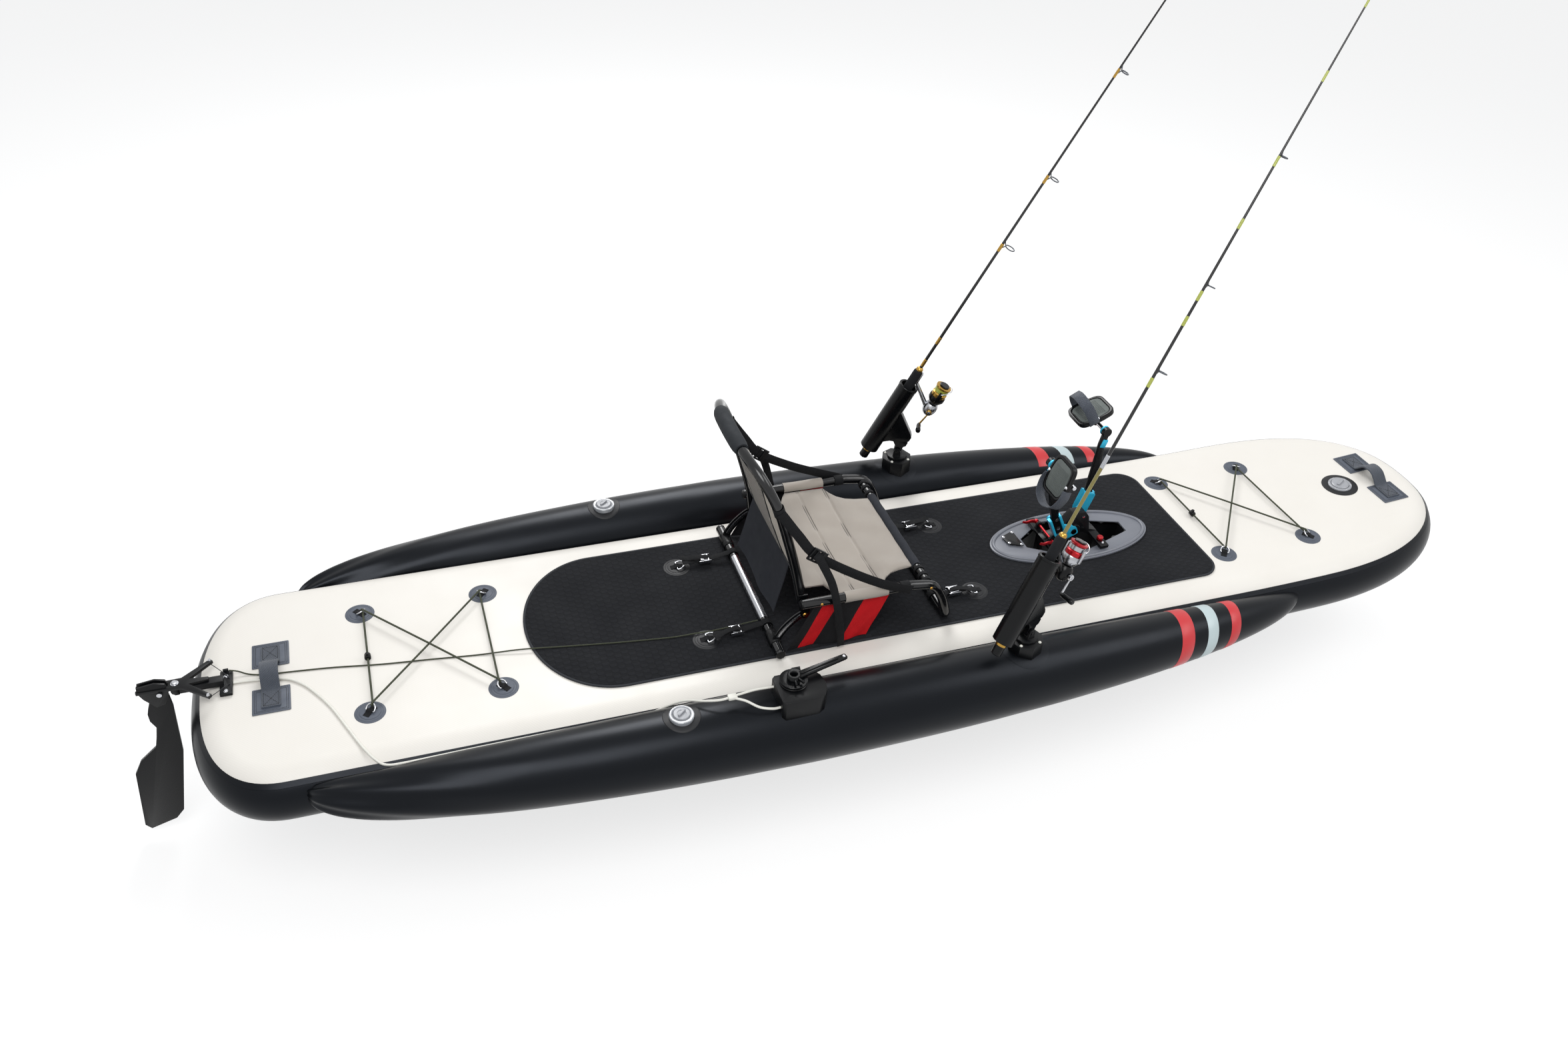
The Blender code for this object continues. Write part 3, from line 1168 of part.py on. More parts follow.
def make_tie_straps():
    """Webbing from each seat ring, through its buckle, over the seat's tube."""
    reach = RING_LEG + SEAT_RING_HALF_WIDTH
    lean = math.radians(SEAT_RING_TILT)
    bow_z = PAD_TOP + 2 * PATCH_STEP + TAB_BORE_HEIGHT + reach * math.sin(lean)
    wrap = TUBE_RADIUS + 0.0012 + TIE_STRAP_THICKNESS / 2
    frames = iter(seat_ring_frames())
    rear = ("rear", REAR_TIE_X, 1, REAR_BUCKLE_X, REAR_BAR_X, REAR_BAR_Z)
    front = ("front", FRONT_TIE_X, -1, FRONT_BUCKLE_X, FOOT_X, FOOT_Z)
    for end, ring_x, way, buckle_x, bar_x, bar_z in (rear, front):
        bow_x = ring_x + way * reach * math.cos(lean)
        over = [(bar_x + way * wrap * math.cos(math.radians(a)), bar_z + wrap * math.sin(math.radians(a)))
                for a in (150, 110, 70, 35, 5)]
        run = [(bow_x, bow_z), (buckle_x - way * 0.020, bow_z + 0.001),
               (buckle_x + way * 0.020, bow_z + 0.002), *over]
        for name, side in SIDES.items():
            y = side * TIE_Y
            eye_reach = TIE_STRAP_WIDTH / 2 + 0.0005
            eye = bar((bow_x, y - eye_reach, bow_z), (bow_x, y + eye_reach, bow_z), 0.0042, 8)
            strap = plate(band(run, TIE_STRAP_THICKNESS), TIE_STRAP_WIDTH, side_plane(y))
            ring = ring_wire(SEAT_RING_HALF_WIDTH, SEAT_RING_TILT, next(frames))
            keep(join(strap, eye, ring), f"tie_strap_{end}_{name}", "webbing")
            centre = (buckle_x, y, bow_z + 0.0015)
            body = box((0.034, 0.030, 0.011), centre, 0.0012)
            slot = box((0.060, TIE_STRAP_WIDTH + 0.0016, TIE_STRAP_THICKNESS + 0.0020), centre)
            lever = box((0.020, 0.022, 0.004), (buckle_x + way * 0.004, y, bow_z + 0.0083))
            keep(join(cut(body, slot), lever), f"cam_buckle_{end}_{name}", "steel")


def make_drive():
    above = WELL_PLATE_TOP + 0.010
    outline = [*SPINE_LOW, (SPINE_SHOULDER[1], above), *SPINE_HIGH, (SPINE_SHOULDER[0], above), SPINE_REAR]
    outline = [(DRIVE_X + u, z) for u, z in outline]
    spine = plate(outline, 2 * SPINE_HALF_WIDTH, side_plane(0))
    low = WELL_PLATE_TOP + GAP
    beams = [box((0.026, 0.172, 0.010), (x, 0, low + 0.005), 0.001) for x in BEAM_X]
    shaft_end = HUB_OUTER_Y + 0.003
    shaft = bar((DRIVE_X, -shaft_end, DRIVE_Z), (DRIVE_X, shaft_end, DRIVE_Z), SHAFT_RADIUS, 16)
    lug_outline = [(-0.009, low + 0.008), (-0.009, LATCH_Z + 0.004), (-0.004, LATCH_Z + 0.009),
                   (0.004, LATCH_Z + 0.009), (0.009, LATCH_Z + 0.004), (0.009, low + 0.008)]
    lug_outline = [(BEAM_X[0] + x, z) for x, z in lug_outline]
    lugs = [plate(lug_outline, 0.008, side_plane(side * 0.036)) for side in (1, -1)]
    masts = []
    for x in FIN_X.values():
        masts.append(bar((x + 0.026, 0, FIN_Z), (x - 0.026, 0, FIN_Z), 0.005, 10))
        masts += [box((0.005, 0.026, 0.032), (x + end, 0, FIN_Z + 0.008)) for end in (0.0255, -0.0255)]
    spine = join(spine, *beams, shaft, *lugs, *masts)
    latch_bore = bar((BEAM_X[0], -0.10, LATCH_Z), (BEAM_X[0], 0.10, LATCH_Z), LATCH_RADIUS + PIN_CLEARANCE, 14)
    keep(cut(spine, latch_bore), "drive_spine", "black_plastic")

    arm_y = LATCH_ARM_Y + 0.0025
    cross = bar((BEAM_X[0], -arm_y, LATCH_Z), (BEAM_X[0], arm_y, LATCH_Z), LATCH_RADIUS, 14)
    reach = [(0.0, 0.0), (-0.016, 0.004), (-0.032, 0.002), (-LATCH_ARM_LENGTH, 0.006)]
    arms = []
    for side in SIDES.values():
        frame = plane((BEAM_X[0], side * LATCH_ARM_Y, LATCH_Z), (1, 0, 0), (0, 0, 1))
        arms.append(plate(band(reach, 0.008), 0.005, frame))
        arms.append(bar((BEAM_X[0], side * (LATCH_ARM_Y - 0.0032), LATCH_Z),
                        (BEAM_X[0], side * (arm_y + 0.001), LATCH_Z), 0.007, 14))
    keep(join(cross, *arms), "drive_latch", "latch_red")


def make_crank(name):
    """A crank: hub, two fork plates stepping out from it, the arm between them and the pedal's axle."""
    side = SIDES[name]
    rest = empty(f"crank_axis_{name}", (DRIVE_X, 0, DRIVE_Z), (0, CRANK_REST[name], 0))
    arm_low, arm_high = CRANK_ARM_Y
    bore = SHAFT_RADIUS + PIN_CLEARANCE
    inner, outer = SPINE_HALF_WIDTH + 0.0005, HUB_OUTER_Y
    hub = turned([(bore, outer), (HUB_RADIUS, outer), (HUB_RADIUS, inner), (bore, inner)], 14, closed=True)
    hub.data.transform(Matrix.Rotation(math.radians(-90 * side), 4, "X"))
    foot = CRANK_FOOT
    fork = [(-0.014, -0.014), (foot + 0.010, -0.012), (foot + 0.017, 0.006), (foot + 0.013, FORK_HEIGHT),
            (foot - 0.013, FORK_HEIGHT), (foot - 0.015, 0.024), (-0.010, 0.016)]
    inner_y = side * (arm_low - FORK_PLATE / 2 + BOND)
    inner_plate = plate([(side * x, z) for x, z in fork], FORK_PLATE, side_plane(inner_y),
                        [circle((0, 0), bore, 12)])
    clasp = [(foot + 0.013, 0.030), (foot + 0.013, FORK_HEIGHT), (foot - 0.013, FORK_HEIGHT),
             (foot - 0.013, 0.030)]
    outer_plate = plate([(side * x, z) for x, z in clasp], FORK_PLATE * 0.7,
                        side_plane(side * (arm_high + FORK_PLATE * 0.35 - BOND)))
    arm_line = [(side * foot, 0.040), (side * foot * 0.92, FORK_HEIGHT), (0.0, CRANK_LENGTH)]
    arm = plate(band(arm_line, 0.020), arm_high - arm_low, side_plane(side * (arm_low + arm_high) / 2))
    top_low, top_high = arm_low - 0.001, arm_high + 0.006
    top = bar((0, side * top_low, CRANK_LENGTH), (0, side * top_high, CRANK_LENGTH), 0.014, 14)
    axle_end = PEDAL_Y + PEDAL_WIDTH / 2 - 0.004
    axle = bar((0, side * arm_low, CRANK_LENGTH), (0, side * axle_end, CRANK_LENGTH), AXLE_RADIUS, 12)
    keep(join(inner_plate, hub, outer_plate, arm, top, axle), f"crank_{name}", "crank_blue", rest)

    pitch = CRANK_REST[name] + PEDAL_REST[name]
    pedal_axis = empty(f"pedal_axis_{name}", (0, side * PEDAL_Y, CRANK_LENGTH), (0, -pitch, 0), rest)
    keep(pedal(HEEL_STRAP_LEAN[name]), f"pedal_{name}", "pedal_black", pedal_axis)


def pedal(strap_lean):
    """A foot plate beside its axle, with the two ears that the axle turns in and a heel strap."""
    half = PEDAL_WIDTH / 2
    front, heel = PEDAL_SHIFT + PEDAL_LENGTH / 2, PEDAL_SHIFT - PEDAL_LENGTH / 2
    pad_outline = [(front, -half * 0.55), (front, half * 0.55), (front - 0.022, half * 0.94),
                   (PEDAL_SHIFT, half),
                   (heel + 0.016, half * 0.92), (heel, half * 0.66), (heel, -half * 0.66),
                   (heel + 0.016, -half * 0.92), (PEDAL_SHIFT, -half), (front - 0.022, -half * 0.94)]
    pad = plate(pad_outline, PEDAL_THICKNESS, Matrix.Translation((0, 0, PEDAL_OFFSET)))
    ears = []
    for y in (-0.024, 0.024):
        ear = [*arc((0, 0), 0.011, 180, 360, 6), (0.016, PEDAL_OFFSET - 0.004), (-0.016, PEDAL_OFFSET - 0.004)]
        ears.append(plate(ear, 0.008, side_plane(y), [circle((0, 0), AXLE_RADIUS + PIN_CLEARANCE, 12)]))
    arch = [(half - 0.002, -0.004), (half + 0.001, 0.020), (half - 0.010, HEEL_STRAP_HEIGHT - 0.014),
            (half - 0.034, HEEL_STRAP_HEIGHT), (0.0, HEEL_STRAP_HEIGHT + 0.003)]
    path = arch + [(-y, z) for y, z in reversed(arch[:-1])]
    lean = math.radians(strap_lean)
    root = (PEDAL_SHIFT + HEEL_STRAP_ROOT, 0, PEDAL_OFFSET)
    strap = plate(band(path, 0.003), 0.030, plane(root, (0, 1, 0), (-math.sin(lean), 0, math.cos(lean))))
    return join(pad, *ears, strap)


def make_fin(name):
    side = FIN_SIDE[name]
    x = FIN_X[name]
    sleeve = turned([(0.0054, -0.020), (0.009, -0.020), (0.009, 0.020), (0.0054, 0.020)], 14, closed=True)
    sleeve.data.transform(Matrix.Translation((x, 0, FIN_Z)) @ Matrix.Rotation(math.radians(90), 4, "Y"))
    outline = [(x + 0.018, side * 0.0070), (x + 0.018, side * 0.30), (x + 0.006, side * (FIN_LENGTH - 0.01)),
               (x - 0.020, side * FIN_LENGTH), (x - FIN_CHORD + 0.010, side * (FIN_LENGTH - 0.03)),
               (x - FIN_CHORD + 0.018, side * 0.16), (x - FIN_CHORD + 0.050, side * 0.055),
               (x - 0.018, side * 0.0070)]
    if side < 0:
        outline.reverse()
    blade = plate(outline, FIN_THICKNESS, Matrix.Translation((0, 0, FIN_Z)))
    keep(join(sleeve, blade), f"fin_{name}", "black_plastic")


def make_rod_bases():
    for name, side in SIDES.items():
        block = bar((HOLDER_X, side * HOLDER_Y, 0.14), (HOLDER_X, side * HOLDER_Y, BASE_TOP_Z), BASE_RADIUS, 8)
        keep(cut(block, pontoon_blank(side, GAP)), f"rod_base_{name}", "black_plastic")


def make_rod_holder(name):
    side = SIDES[name]
    place = (HOLDER_X, side * HOLDER_Y, BASE_TOP_Z)
    swivel_axis = empty(f"swivel_axis_{name}", place, (0, 0, -side * HOLDER_TURN[name]))
    knuckle = KNUCKLE_Z - BASE_TOP_Z
    disc = bar((0, 0, GAP), (0, 0, SWIVEL_THICKNESS), 0.030, 12)
    ear_y = FIN_BRACKET_THICKNESS / 2 + 0.0008 + 0.0025
    ears = []
    for y in (ear_y, -ear_y):
        ear = [(-0.012, SWIVEL_THICKNESS - 0.002), (0.012, SWIVEL_THICKNESS - 0.002),
               *[(0.010 * math.cos(t), knuckle + 0.010 * math.sin(t)) for t in
                 (math.radians(a) for a in (0, 45, 90, 135, 180))]]
        ears.append(plate(ear, 0.005, side_plane(y)))
    pin = bar((0, -ear_y - 0.006, knuckle), (0, ear_y + 0.006, knuckle), KNUCKLE_PIN_RADIUS, 12)
    keep(join(disc, *ears, pin), f"rod_swivel_{name}", "black_plastic", swivel_axis)

    tilt_axis = empty(f"tilt_axis_{name}", (0, 0, knuckle), (0, HOLDER_TILT[name], 0), swivel_axis)
    wall = turned([(HOLDER_TUBE_BORE, HOLDER_TUBE_BOTTOM), (HOLDER_TUBE_RADIUS, HOLDER_TUBE_BOTTOM),
                   (HOLDER_TUBE_RADIUS, HOLDER_TUBE_TOP), (HOLDER_TUBE_BORE, HOLDER_TUBE_TOP)], 14,
                  (-HOLDER_TUBE_OFFSET, 0, 0), closed=True)
    wall_x = HOLDER_TUBE_RADIUS - HOLDER_TUBE_OFFSET - 0.003
    bracket = [(wall_x, 0.118), (0.008, 0.068), (0.014, 0.060), (0.014, 0.046), (0.010, 0.042), (0.014, 0.038),
               (0.014, 0.026), (0.009, 0.020), (0.011, 0.002), (0.008, -0.010), (-0.006, -0.012),
               (-0.011, -0.004),
               (-0.014, 0.012), (-0.026, 0.022), (-0.036, 0.018), (wall_x, 0.004)]
    hole = circle((0, 0), KNUCKLE_PIN_RADIUS + PIN_CLEARANCE, 12)
    fin = plate(bracket, FIN_BRACKET_THICKNESS, side_plane(0), [hole])
    keep(join(wall, fin), f"rod_tube_{name}", "black_plastic", tilt_axis)

    # The rod's own frame: its axis is the tube's, and its zero is the tube's lower end
    rod_axis = empty(f"rod_axis_{name}", (-HOLDER_TUBE_OFFSET, 0, HOLDER_TUBE_BOTTOM), (0, 0, 0), tilt_axis)
    grip = turned([(0, ROD_GRIP_TOP), (0.010, ROD_GRIP_TOP), (ROD_GRIP_RADIUS, ROD_GRIP_TOP - 0.006),
                   (ROD_GRIP_RADIUS, 0.200), (0.0115, 0.180), (0.0115, 0.0), (ROD_GRIP_RADIUS, -0.006),
                   (ROD_GRIP_RADIUS, ROD_BUTT), (0, ROD_BUTT)], 10)
    steps = 7
    span = ROD_TOP - ROD_GRIP_TOP
    heights = [ROD_GRIP_TOP - 0.004 + (span + 0.004) * (i / steps) for i in range(steps + 1)]

    def bend(z):
        return BLANK_BEND * (max(z - ROD_GRIP_TOP, 0) / span) ** 2

    def thickness(z):
        return BLANK_BASE_RADIUS + (BLANK_TIP_RADIUS - BLANK_BASE_RADIUS) * (z - ROD_GRIP_TOP) / span

    blank = tube([(bend(z), 0, z) for z in heights], BLANK_BASE_RADIUS, 2,
                 radii=[thickness(z) for z in heights])
    guides = []
    for index, z in enumerate(GUIDE_HEIGHTS):
        ring_radius = 0.013 - 0.0018 * index
        away = bend(z) + thickness(z) + ring_radius + 0.006 - 0.0008 * index
        ring = tube([(away + ring_radius * math.cos(t), ring_radius * math.sin(t), z + 0.010)
                     for t in (math.radians(60 * i) for i in range(6))], 0.0012, 0, cyclic=True)
        leg = bar((bend(z), 0, z - 0.004), (away - ring_radius, 0, z + 0.010), 0.0012, 5)
        guides += [ring, leg]
    keep(join(grip, blank, *guides, *reel_body()), f"rod_{name}", "rod_graphite", rod_axis)
    make_reel(name, rod_axis)


def reel_body():
    """The reel's foot, stem, gearbox and the two shafts that its moving pieces turn on."""
    seat_x = ROD_GRIP_RADIUS - 0.001
    foot = box((0.005, 0.012, 0.040), (seat_x + 0.002, 0, REEL_SEAT_Z))
    stem = bar((seat_x + 0.002, 0, REEL_STEM_Z), (REEL_OFFSET - 0.010, 0, REEL_CRANK_Z), 0.0050, 8, 0.0075)
    egg = [(0, 0.022), (0.016, 0.020), (0.021, 0.006), (0.019, -0.008), (0.010, -0.020), (0, -0.022)]
    housing = turned(egg, 10,
                     (REEL_OFFSET, 0, REEL_CRANK_Z))
    shaft_end = REEL_CRANK_Y - 0.008
    shaft = bar((REEL_OFFSET, -0.010, REEL_CRANK_Z), (REEL_OFFSET, shaft_end, REEL_CRANK_Z), 0.0045, 12)
    spindle = bar((REEL_OFFSET, 0, REEL_CRANK_Z + 0.018), (REEL_OFFSET, 0, REEL_CRANK_Z + 0.040), 0.0035, 10)
    return foot, stem, housing, shaft, spindle


def make_reel(name, rod_axis):
    low = REEL_CRANK_Z + 0.0226
    cup = turned([(0.0039, 0.022), (0, 0.022), (0, 0.068), (0.016, 0.068), (0.023, 0.063), (0.023, 0.058),
                  (0.019, 0.056), (0.019, 0.042), (0.024, 0.040), (0.024, 0.016), (0.013, 0), (0.0039, 0)], 10,
                 (REEL_OFFSET, 0, low), closed=True)
    arms = [box((0.010, 0.006, 0.036), (REEL_OFFSET, y, low + 0.034)) for y in (0.0255, -0.0255)]
    bail_points = [(REEL_OFFSET + 0.026 * math.sin(t), -0.0285 * math.cos(t), low + 0.048 + 0.016 * math.sin(t))
                   for t in (math.radians(30 * i) for i in range(7))]
    bail = tube(bail_points, 0.0014, 0)
    keep(join(cup, *arms, bail), f"reel_rotor_{name}", "reel_metal", rod_axis)

    root_y = REEL_CRANK_Y - 0.0005
    hub = turned([(0.0049, 0), (0.008, 0), (0.008, 0.007), (0.0049, 0.007)], 12, closed=True)
    upright = Matrix.Rotation(math.radians(90), 4, "X")
    hub.data.transform(Matrix.Translation((REEL_OFFSET, root_y, REEL_CRANK_Z)) @ upright)
    arm_end = Vector((REEL_OFFSET - 0.006, root_y - 0.006, REEL_CRANK_Z - 0.046))
    arm_start = Vector((REEL_OFFSET, root_y - 0.0035, REEL_CRANK_Z - 0.0072))
    arm = bar(arm_start, arm_end, 0.0022, 8, 0.0030)
    knob = bar(arm_end + Vector((0, 0.002, 0)), arm_end - Vector((0, 0.040, 0)), 0.0060, 10, 0.0075)
    keep(join(hub, arm, knob), f"reel_crank_{name}", "reel_metal", rod_axis)


make_hull()
make_deck_sheet()
make_deck_pad()
make_well()
bungee(STERN_RING_X, "stern_bungee")
bungee(BOW_RING_X, "bow_bungee")
carry_handle(BOW_HANDLE_X, "bow_handle")
carry_handle(STERN_HANDLE_X, "stern_handle")
make_pontoons()
make_valves()
make_rudder()
make_lines()
make_control()
make_seat_frame()
make_sling()
make_back()
make_back_straps()
make_tie_straps()
make_drive()
for side_name in SIDES:
    make_crank(side_name)
for fin_name in FIN_X:
    make_fin(fin_name)
make_rod_bases()
for side_name in SIDES:
    make_rod_holder(side_name)
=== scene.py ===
"""Inflatable pedal paddleboard with side pontoons, frame seat, rudder, pedal drive and rods in holders."""
import json
from math import atan, atan2, cos, exp, hypot, pi, radians, sin, sqrt

import bmesh
import bpy
from mathutils import Matrix, Vector

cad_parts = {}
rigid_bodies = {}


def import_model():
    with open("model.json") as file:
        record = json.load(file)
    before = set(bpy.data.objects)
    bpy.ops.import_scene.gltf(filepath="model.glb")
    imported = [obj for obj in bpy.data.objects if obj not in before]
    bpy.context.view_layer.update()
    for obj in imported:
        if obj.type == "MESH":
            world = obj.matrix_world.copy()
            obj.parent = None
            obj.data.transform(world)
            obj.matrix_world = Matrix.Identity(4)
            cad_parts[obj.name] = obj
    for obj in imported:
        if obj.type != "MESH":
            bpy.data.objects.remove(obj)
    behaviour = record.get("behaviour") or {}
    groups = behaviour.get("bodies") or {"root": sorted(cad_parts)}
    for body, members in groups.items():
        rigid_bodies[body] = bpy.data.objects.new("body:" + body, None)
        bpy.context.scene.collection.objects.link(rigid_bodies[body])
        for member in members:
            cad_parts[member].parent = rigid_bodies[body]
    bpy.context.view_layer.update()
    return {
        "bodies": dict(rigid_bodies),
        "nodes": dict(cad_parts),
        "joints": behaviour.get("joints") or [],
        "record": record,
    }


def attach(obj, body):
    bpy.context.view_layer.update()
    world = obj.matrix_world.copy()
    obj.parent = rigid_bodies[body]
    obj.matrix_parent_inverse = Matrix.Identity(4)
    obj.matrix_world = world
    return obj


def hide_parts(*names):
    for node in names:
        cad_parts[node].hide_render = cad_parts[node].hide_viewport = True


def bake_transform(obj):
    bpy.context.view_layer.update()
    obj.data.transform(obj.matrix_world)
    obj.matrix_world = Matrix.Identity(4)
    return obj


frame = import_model()
SIDES = {"port": 1, "starboard": -1}
ROOT = "root"


# Camera, light and floor

CAMERA_PLACE = (-1.229, -2.423, 2.307)
CAMERA_AZIMUTH = radians(-20.91)
CAMERA_ELEVATION = radians(36.72)
CAMERA_ROLL = radians(3.84)
CAMERA_LENS, CAMERA_SENSOR = 28.98, 36.0
LAMPS = (("key_light", (-1.6, -2.6, 4.2), 3.0, 130), ("fill_light", (3.0, -1.5, 3.6), 2.6, 60),
         ("far_light", (0.2, 3.6, 3.8), 2.6, 150))
LAMP_AIM = (0, 0, 0.1)
AMBIENT, FLOOR_GLOW = 0.55, 0.72
FLOOR_HALF, FLOOR_Z = 14, -0.3


def make_camera():
    a, e = CAMERA_AZIMUTH, CAMERA_ELEVATION
    back = Vector((sin(a) * cos(e), -cos(a) * cos(e), sin(e)))
    right = Vector((0, 0, 1)).cross(back).normalized()
    up = back.cross(right)
    c, s = cos(CAMERA_ROLL), sin(CAMERA_ROLL)
    right, up = c * right + s * up, c * up - s * right
    lens = bpy.data.cameras.new("camera")
    lens.lens = CAMERA_LENS
    lens.sensor_width = CAMERA_SENSOR
    lens.clip_end = 60.0
    camera = bpy.data.objects.new("camera", lens)
    camera.matrix_world = Matrix.Translation(CAMERA_PLACE) @ Matrix((right, up, back)).transposed().to_4x4()
    bpy.context.scene.collection.objects.link(camera)
    bpy.context.scene.camera = camera


def add(tree, kind, inputs=None, **settings):
    """One node with its settings; an input is given by a value or by the socket that feeds it."""
    node = tree.nodes.new(kind)
    for key, value in settings.items():
        setattr(node, key, value)
    for key, value in (inputs or {}).items():
        if isinstance(value, bpy.types.NodeSocket):
            tree.links.new(value, node.inputs[key])
        else:
            node.inputs[key].default_value = value
    return node


def linear(code):
    """An sRGB hex colour as linear red, green, blue and alpha."""
    values = [int(code[i:i + 2], 16) / 255 for i in (1, 3, 5)]
    return [v / 12.92 if v <= 0.04045 else ((v + 0.055) / 1.055) ** 2.4 for v in values] + [1.0]


def white_behind(tree, plain, bright):
    """Cameras and reflections see the bright shader, and light bounces off the plain one."""
    path = add(tree, "ShaderNodeLightPath")
    seen = add(tree, "ShaderNodeMath", {0: path.outputs["Is Camera Ray"], 1: path.outputs["Is Glossy Ray"]},
               operation="MAXIMUM")
    seen = add(tree, "ShaderNodeMath", {0: seen.outputs[0], 1: path.outputs["Is Transmission Ray"]},
               operation="MAXIMUM")
    return add(tree, "ShaderNodeMixShader", {0: seen.outputs[0], 1: plain, 2: bright}).outputs[0]


def make_light():
    scene = bpy.context.scene
    scene.view_settings.view_transform = "Standard"
    scene.world = bpy.data.worlds.new("studio")
    scene.world.use_nodes = True
    tree = scene.world.node_tree
    tree.nodes.clear()
    ambient = add(tree, "ShaderNodeBackground", {"Color": linear("#f4f6f8"), "Strength": AMBIENT})
    bright = add(tree, "ShaderNodeBackground", {"Color": (1, 1, 1, 1), "Strength": 1.0})
    shown = white_behind(tree, ambient.outputs[0], bright.outputs[0])
    add(tree, "ShaderNodeOutputWorld", {"Surface": shown})
    for name, place, size, power in LAMPS:
        lamp = bpy.data.lights.new(name, "AREA")
        lamp.shape = "DISK"
        lamp.size = size
        lamp.energy = power
        light = bpy.data.objects.new(name, lamp)
        towards = Vector(LAMP_AIM) - Vector(place)
        light.matrix_world = Matrix.Translation(place) @ towards.to_track_quat("-Z", "Y").to_matrix().to_4x4()
        scene.collection.objects.link(light)


def make_floor():
    paint = bpy.data.materials.new("studio_floor")
    paint.use_nodes = True
    tree = paint.node_tree
    tree.nodes.clear()
    plain = add(tree, "ShaderNodeBsdfDiffuse", {"Color": linear("#e6e6e6")})
    part = add(tree, "ShaderNodeBsdfDiffuse", {"Color": linear("#9c9c9c")})
    glow = add(tree, "ShaderNodeEmission", {"Color": (1, 1, 1, 1), "Strength": FLOOR_GLOW})
    bright = add(tree, "ShaderNodeAddShader", {0: part.outputs[0], 1: glow.outputs[0]})
    shown = white_behind(tree, plain.outputs[0], bright.outputs[0])
    add(tree, "ShaderNodeOutputMaterial", {"Surface": shown})
    mesh = bpy.data.meshes.new("floor")
    corners = [(u * FLOOR_HALF, v * FLOOR_HALF, FLOOR_Z) for u, v in ((-1, -1), (1, -1), (1, 1), (-1, 1))]
    mesh.from_pydata(corners, [], [(0, 1, 2, 3)])
    mesh.materials.append(paint)
    floor = bpy.data.objects.new("floor", mesh)
    bpy.context.scene.collection.objects.link(floor)


make_camera()
make_light()
make_floor()


# Finishes


def finish(name, colour, other=None, patch_mm=60, roughness=0.5, spread=0.05, grain_mm=0.9, grain=0.12,
           metallic=0.0, coat=0.0, sheen=0.0, specular=0.5):
    """A material with slow colour and roughness changes over patch_mm, and a fine grain of grain_mm."""
    made = bpy.data.materials.new(name)
    made.use_nodes = True
    tree = made.node_tree
    shader = tree.nodes["Principled BSDF"]
    where = add(tree, "ShaderNodeTexCoord").outputs["Object"]
    slow = add(tree, "ShaderNodeTexNoise", {"Vector": where, "Scale": 1000 / patch_mm, "Detail": 3.0})
    colours = {"Factor": slow.outputs[0], 6: linear(colour), 7: linear(other or colour)}
    shade = add(tree, "ShaderNodeMix", colours, data_type="RGBA")
    tree.links.new(shade.outputs[2], shader.inputs["Base Color"])
    gloss = add(tree, "ShaderNodeMapRange", {"Value": slow.outputs[0], "From Min": 0.3, "From Max": 0.7,
                                             "To Min": roughness - spread, "To Max": roughness + spread})
    tree.links.new(gloss.outputs[0], shader.inputs["Roughness"])
    fine = add(tree, "ShaderNodeTexNoise", {"Vector": where, "Scale": 1000 / grain_mm, "Detail": 2.0})
    height = {"Height": fine.outputs[0], "Strength": grain, "Distance": grain_mm / 2500}
    tree.links.new(add(tree, "ShaderNodeBump", height).outputs[0], shader.inputs["Normal"])
    shader.inputs["Metallic"].default_value = metallic
    shader.inputs["Specular IOR Level"].default_value = specular
    shader.inputs["Coat Weight"].default_value = coat
    shader.inputs["Sheen Weight"].default_value = sheen
    return made


def relief(made, height, strength, distance):
    """One more height in the bump of a finish, under its grain."""
    tree = made.node_tree
    bump = tree.nodes["Principled BSDF"].inputs["Normal"].links[0].from_node
    under = add(tree, "ShaderNodeBump", {"Height": height, "Strength": strength, "Distance": distance})
    tree.links.new(under.outputs[0], bump.inputs["Normal"])


def shaded(made, factor, colour):
    """Another colour laid over a finish where factor is 1."""
    tree = made.node_tree
    base = tree.nodes["Principled BSDF"].inputs["Base Color"]
    colours = {"Factor": factor, 6: base.links[0].from_socket, 7: linear(colour)}
    over = add(tree, "ShaderNodeMix", colours, data_type="RGBA")
    tree.links.new(over.outputs[2], base)


def coordinates(tree, kind="Object"):
    where = add(tree, "ShaderNodeTexCoord").outputs[kind]
    split = add(tree, "ShaderNodeSeparateXYZ", {0: where})
    return split.outputs[0], split.outputs[1], split.outputs[2]


def waves(tree, value, pitch):
    """A cosine of that pitch in metres."""
    turn = add(tree, "ShaderNodeMath", {0: value, 1: 2 * pi / pitch}, operation="MULTIPLY")
    return add(tree, "ShaderNodeMath", {0: turn.outputs[0]}, operation="COSINE").outputs[0]


def crossed_waves(tree, first, second, first_pitch, second_pitch):
    """Two waves across each other, up and down by turns as the threads of a plain weave."""
    ups = {0: waves(tree, first, first_pitch), 1: waves(tree, second, second_pitch)}
    return add(tree, "ShaderNodeMath", ups, operation="MULTIPLY").outputs[0]


def woven(made, pitch, strength=0.5, colour=None):
    """Plain weave read from the piece's own UV map in metres; colour shows where a thread is on top."""
    tree = made.node_tree
    u, v, _ = coordinates(tree, "UV")
    weave = crossed_waves(tree, u, v, 2 * pitch, 2 * pitch)
    relief(made, weave, strength, pitch * 0.3)
    if colour:
        on_top = add(tree, "ShaderNodeMath", {0: weave, 1: 0.25}, operation="GREATER_THAN")
        shaded(made, on_top.outputs[0], colour)


# PVC coated fabric of the air chambers: satin black with a faint cloth texture and a cool shine
HULL_BLACK = finish("coated_fabric_black", "#050608", "#06080b", 220, 0.33, 0.05, 1.2, 0.1,
                    specular=0.2)
HULL_BLACK.node_tree.nodes["Principled BSDF"].inputs["Specular Tint"].default_value = linear("#e2e9f6")
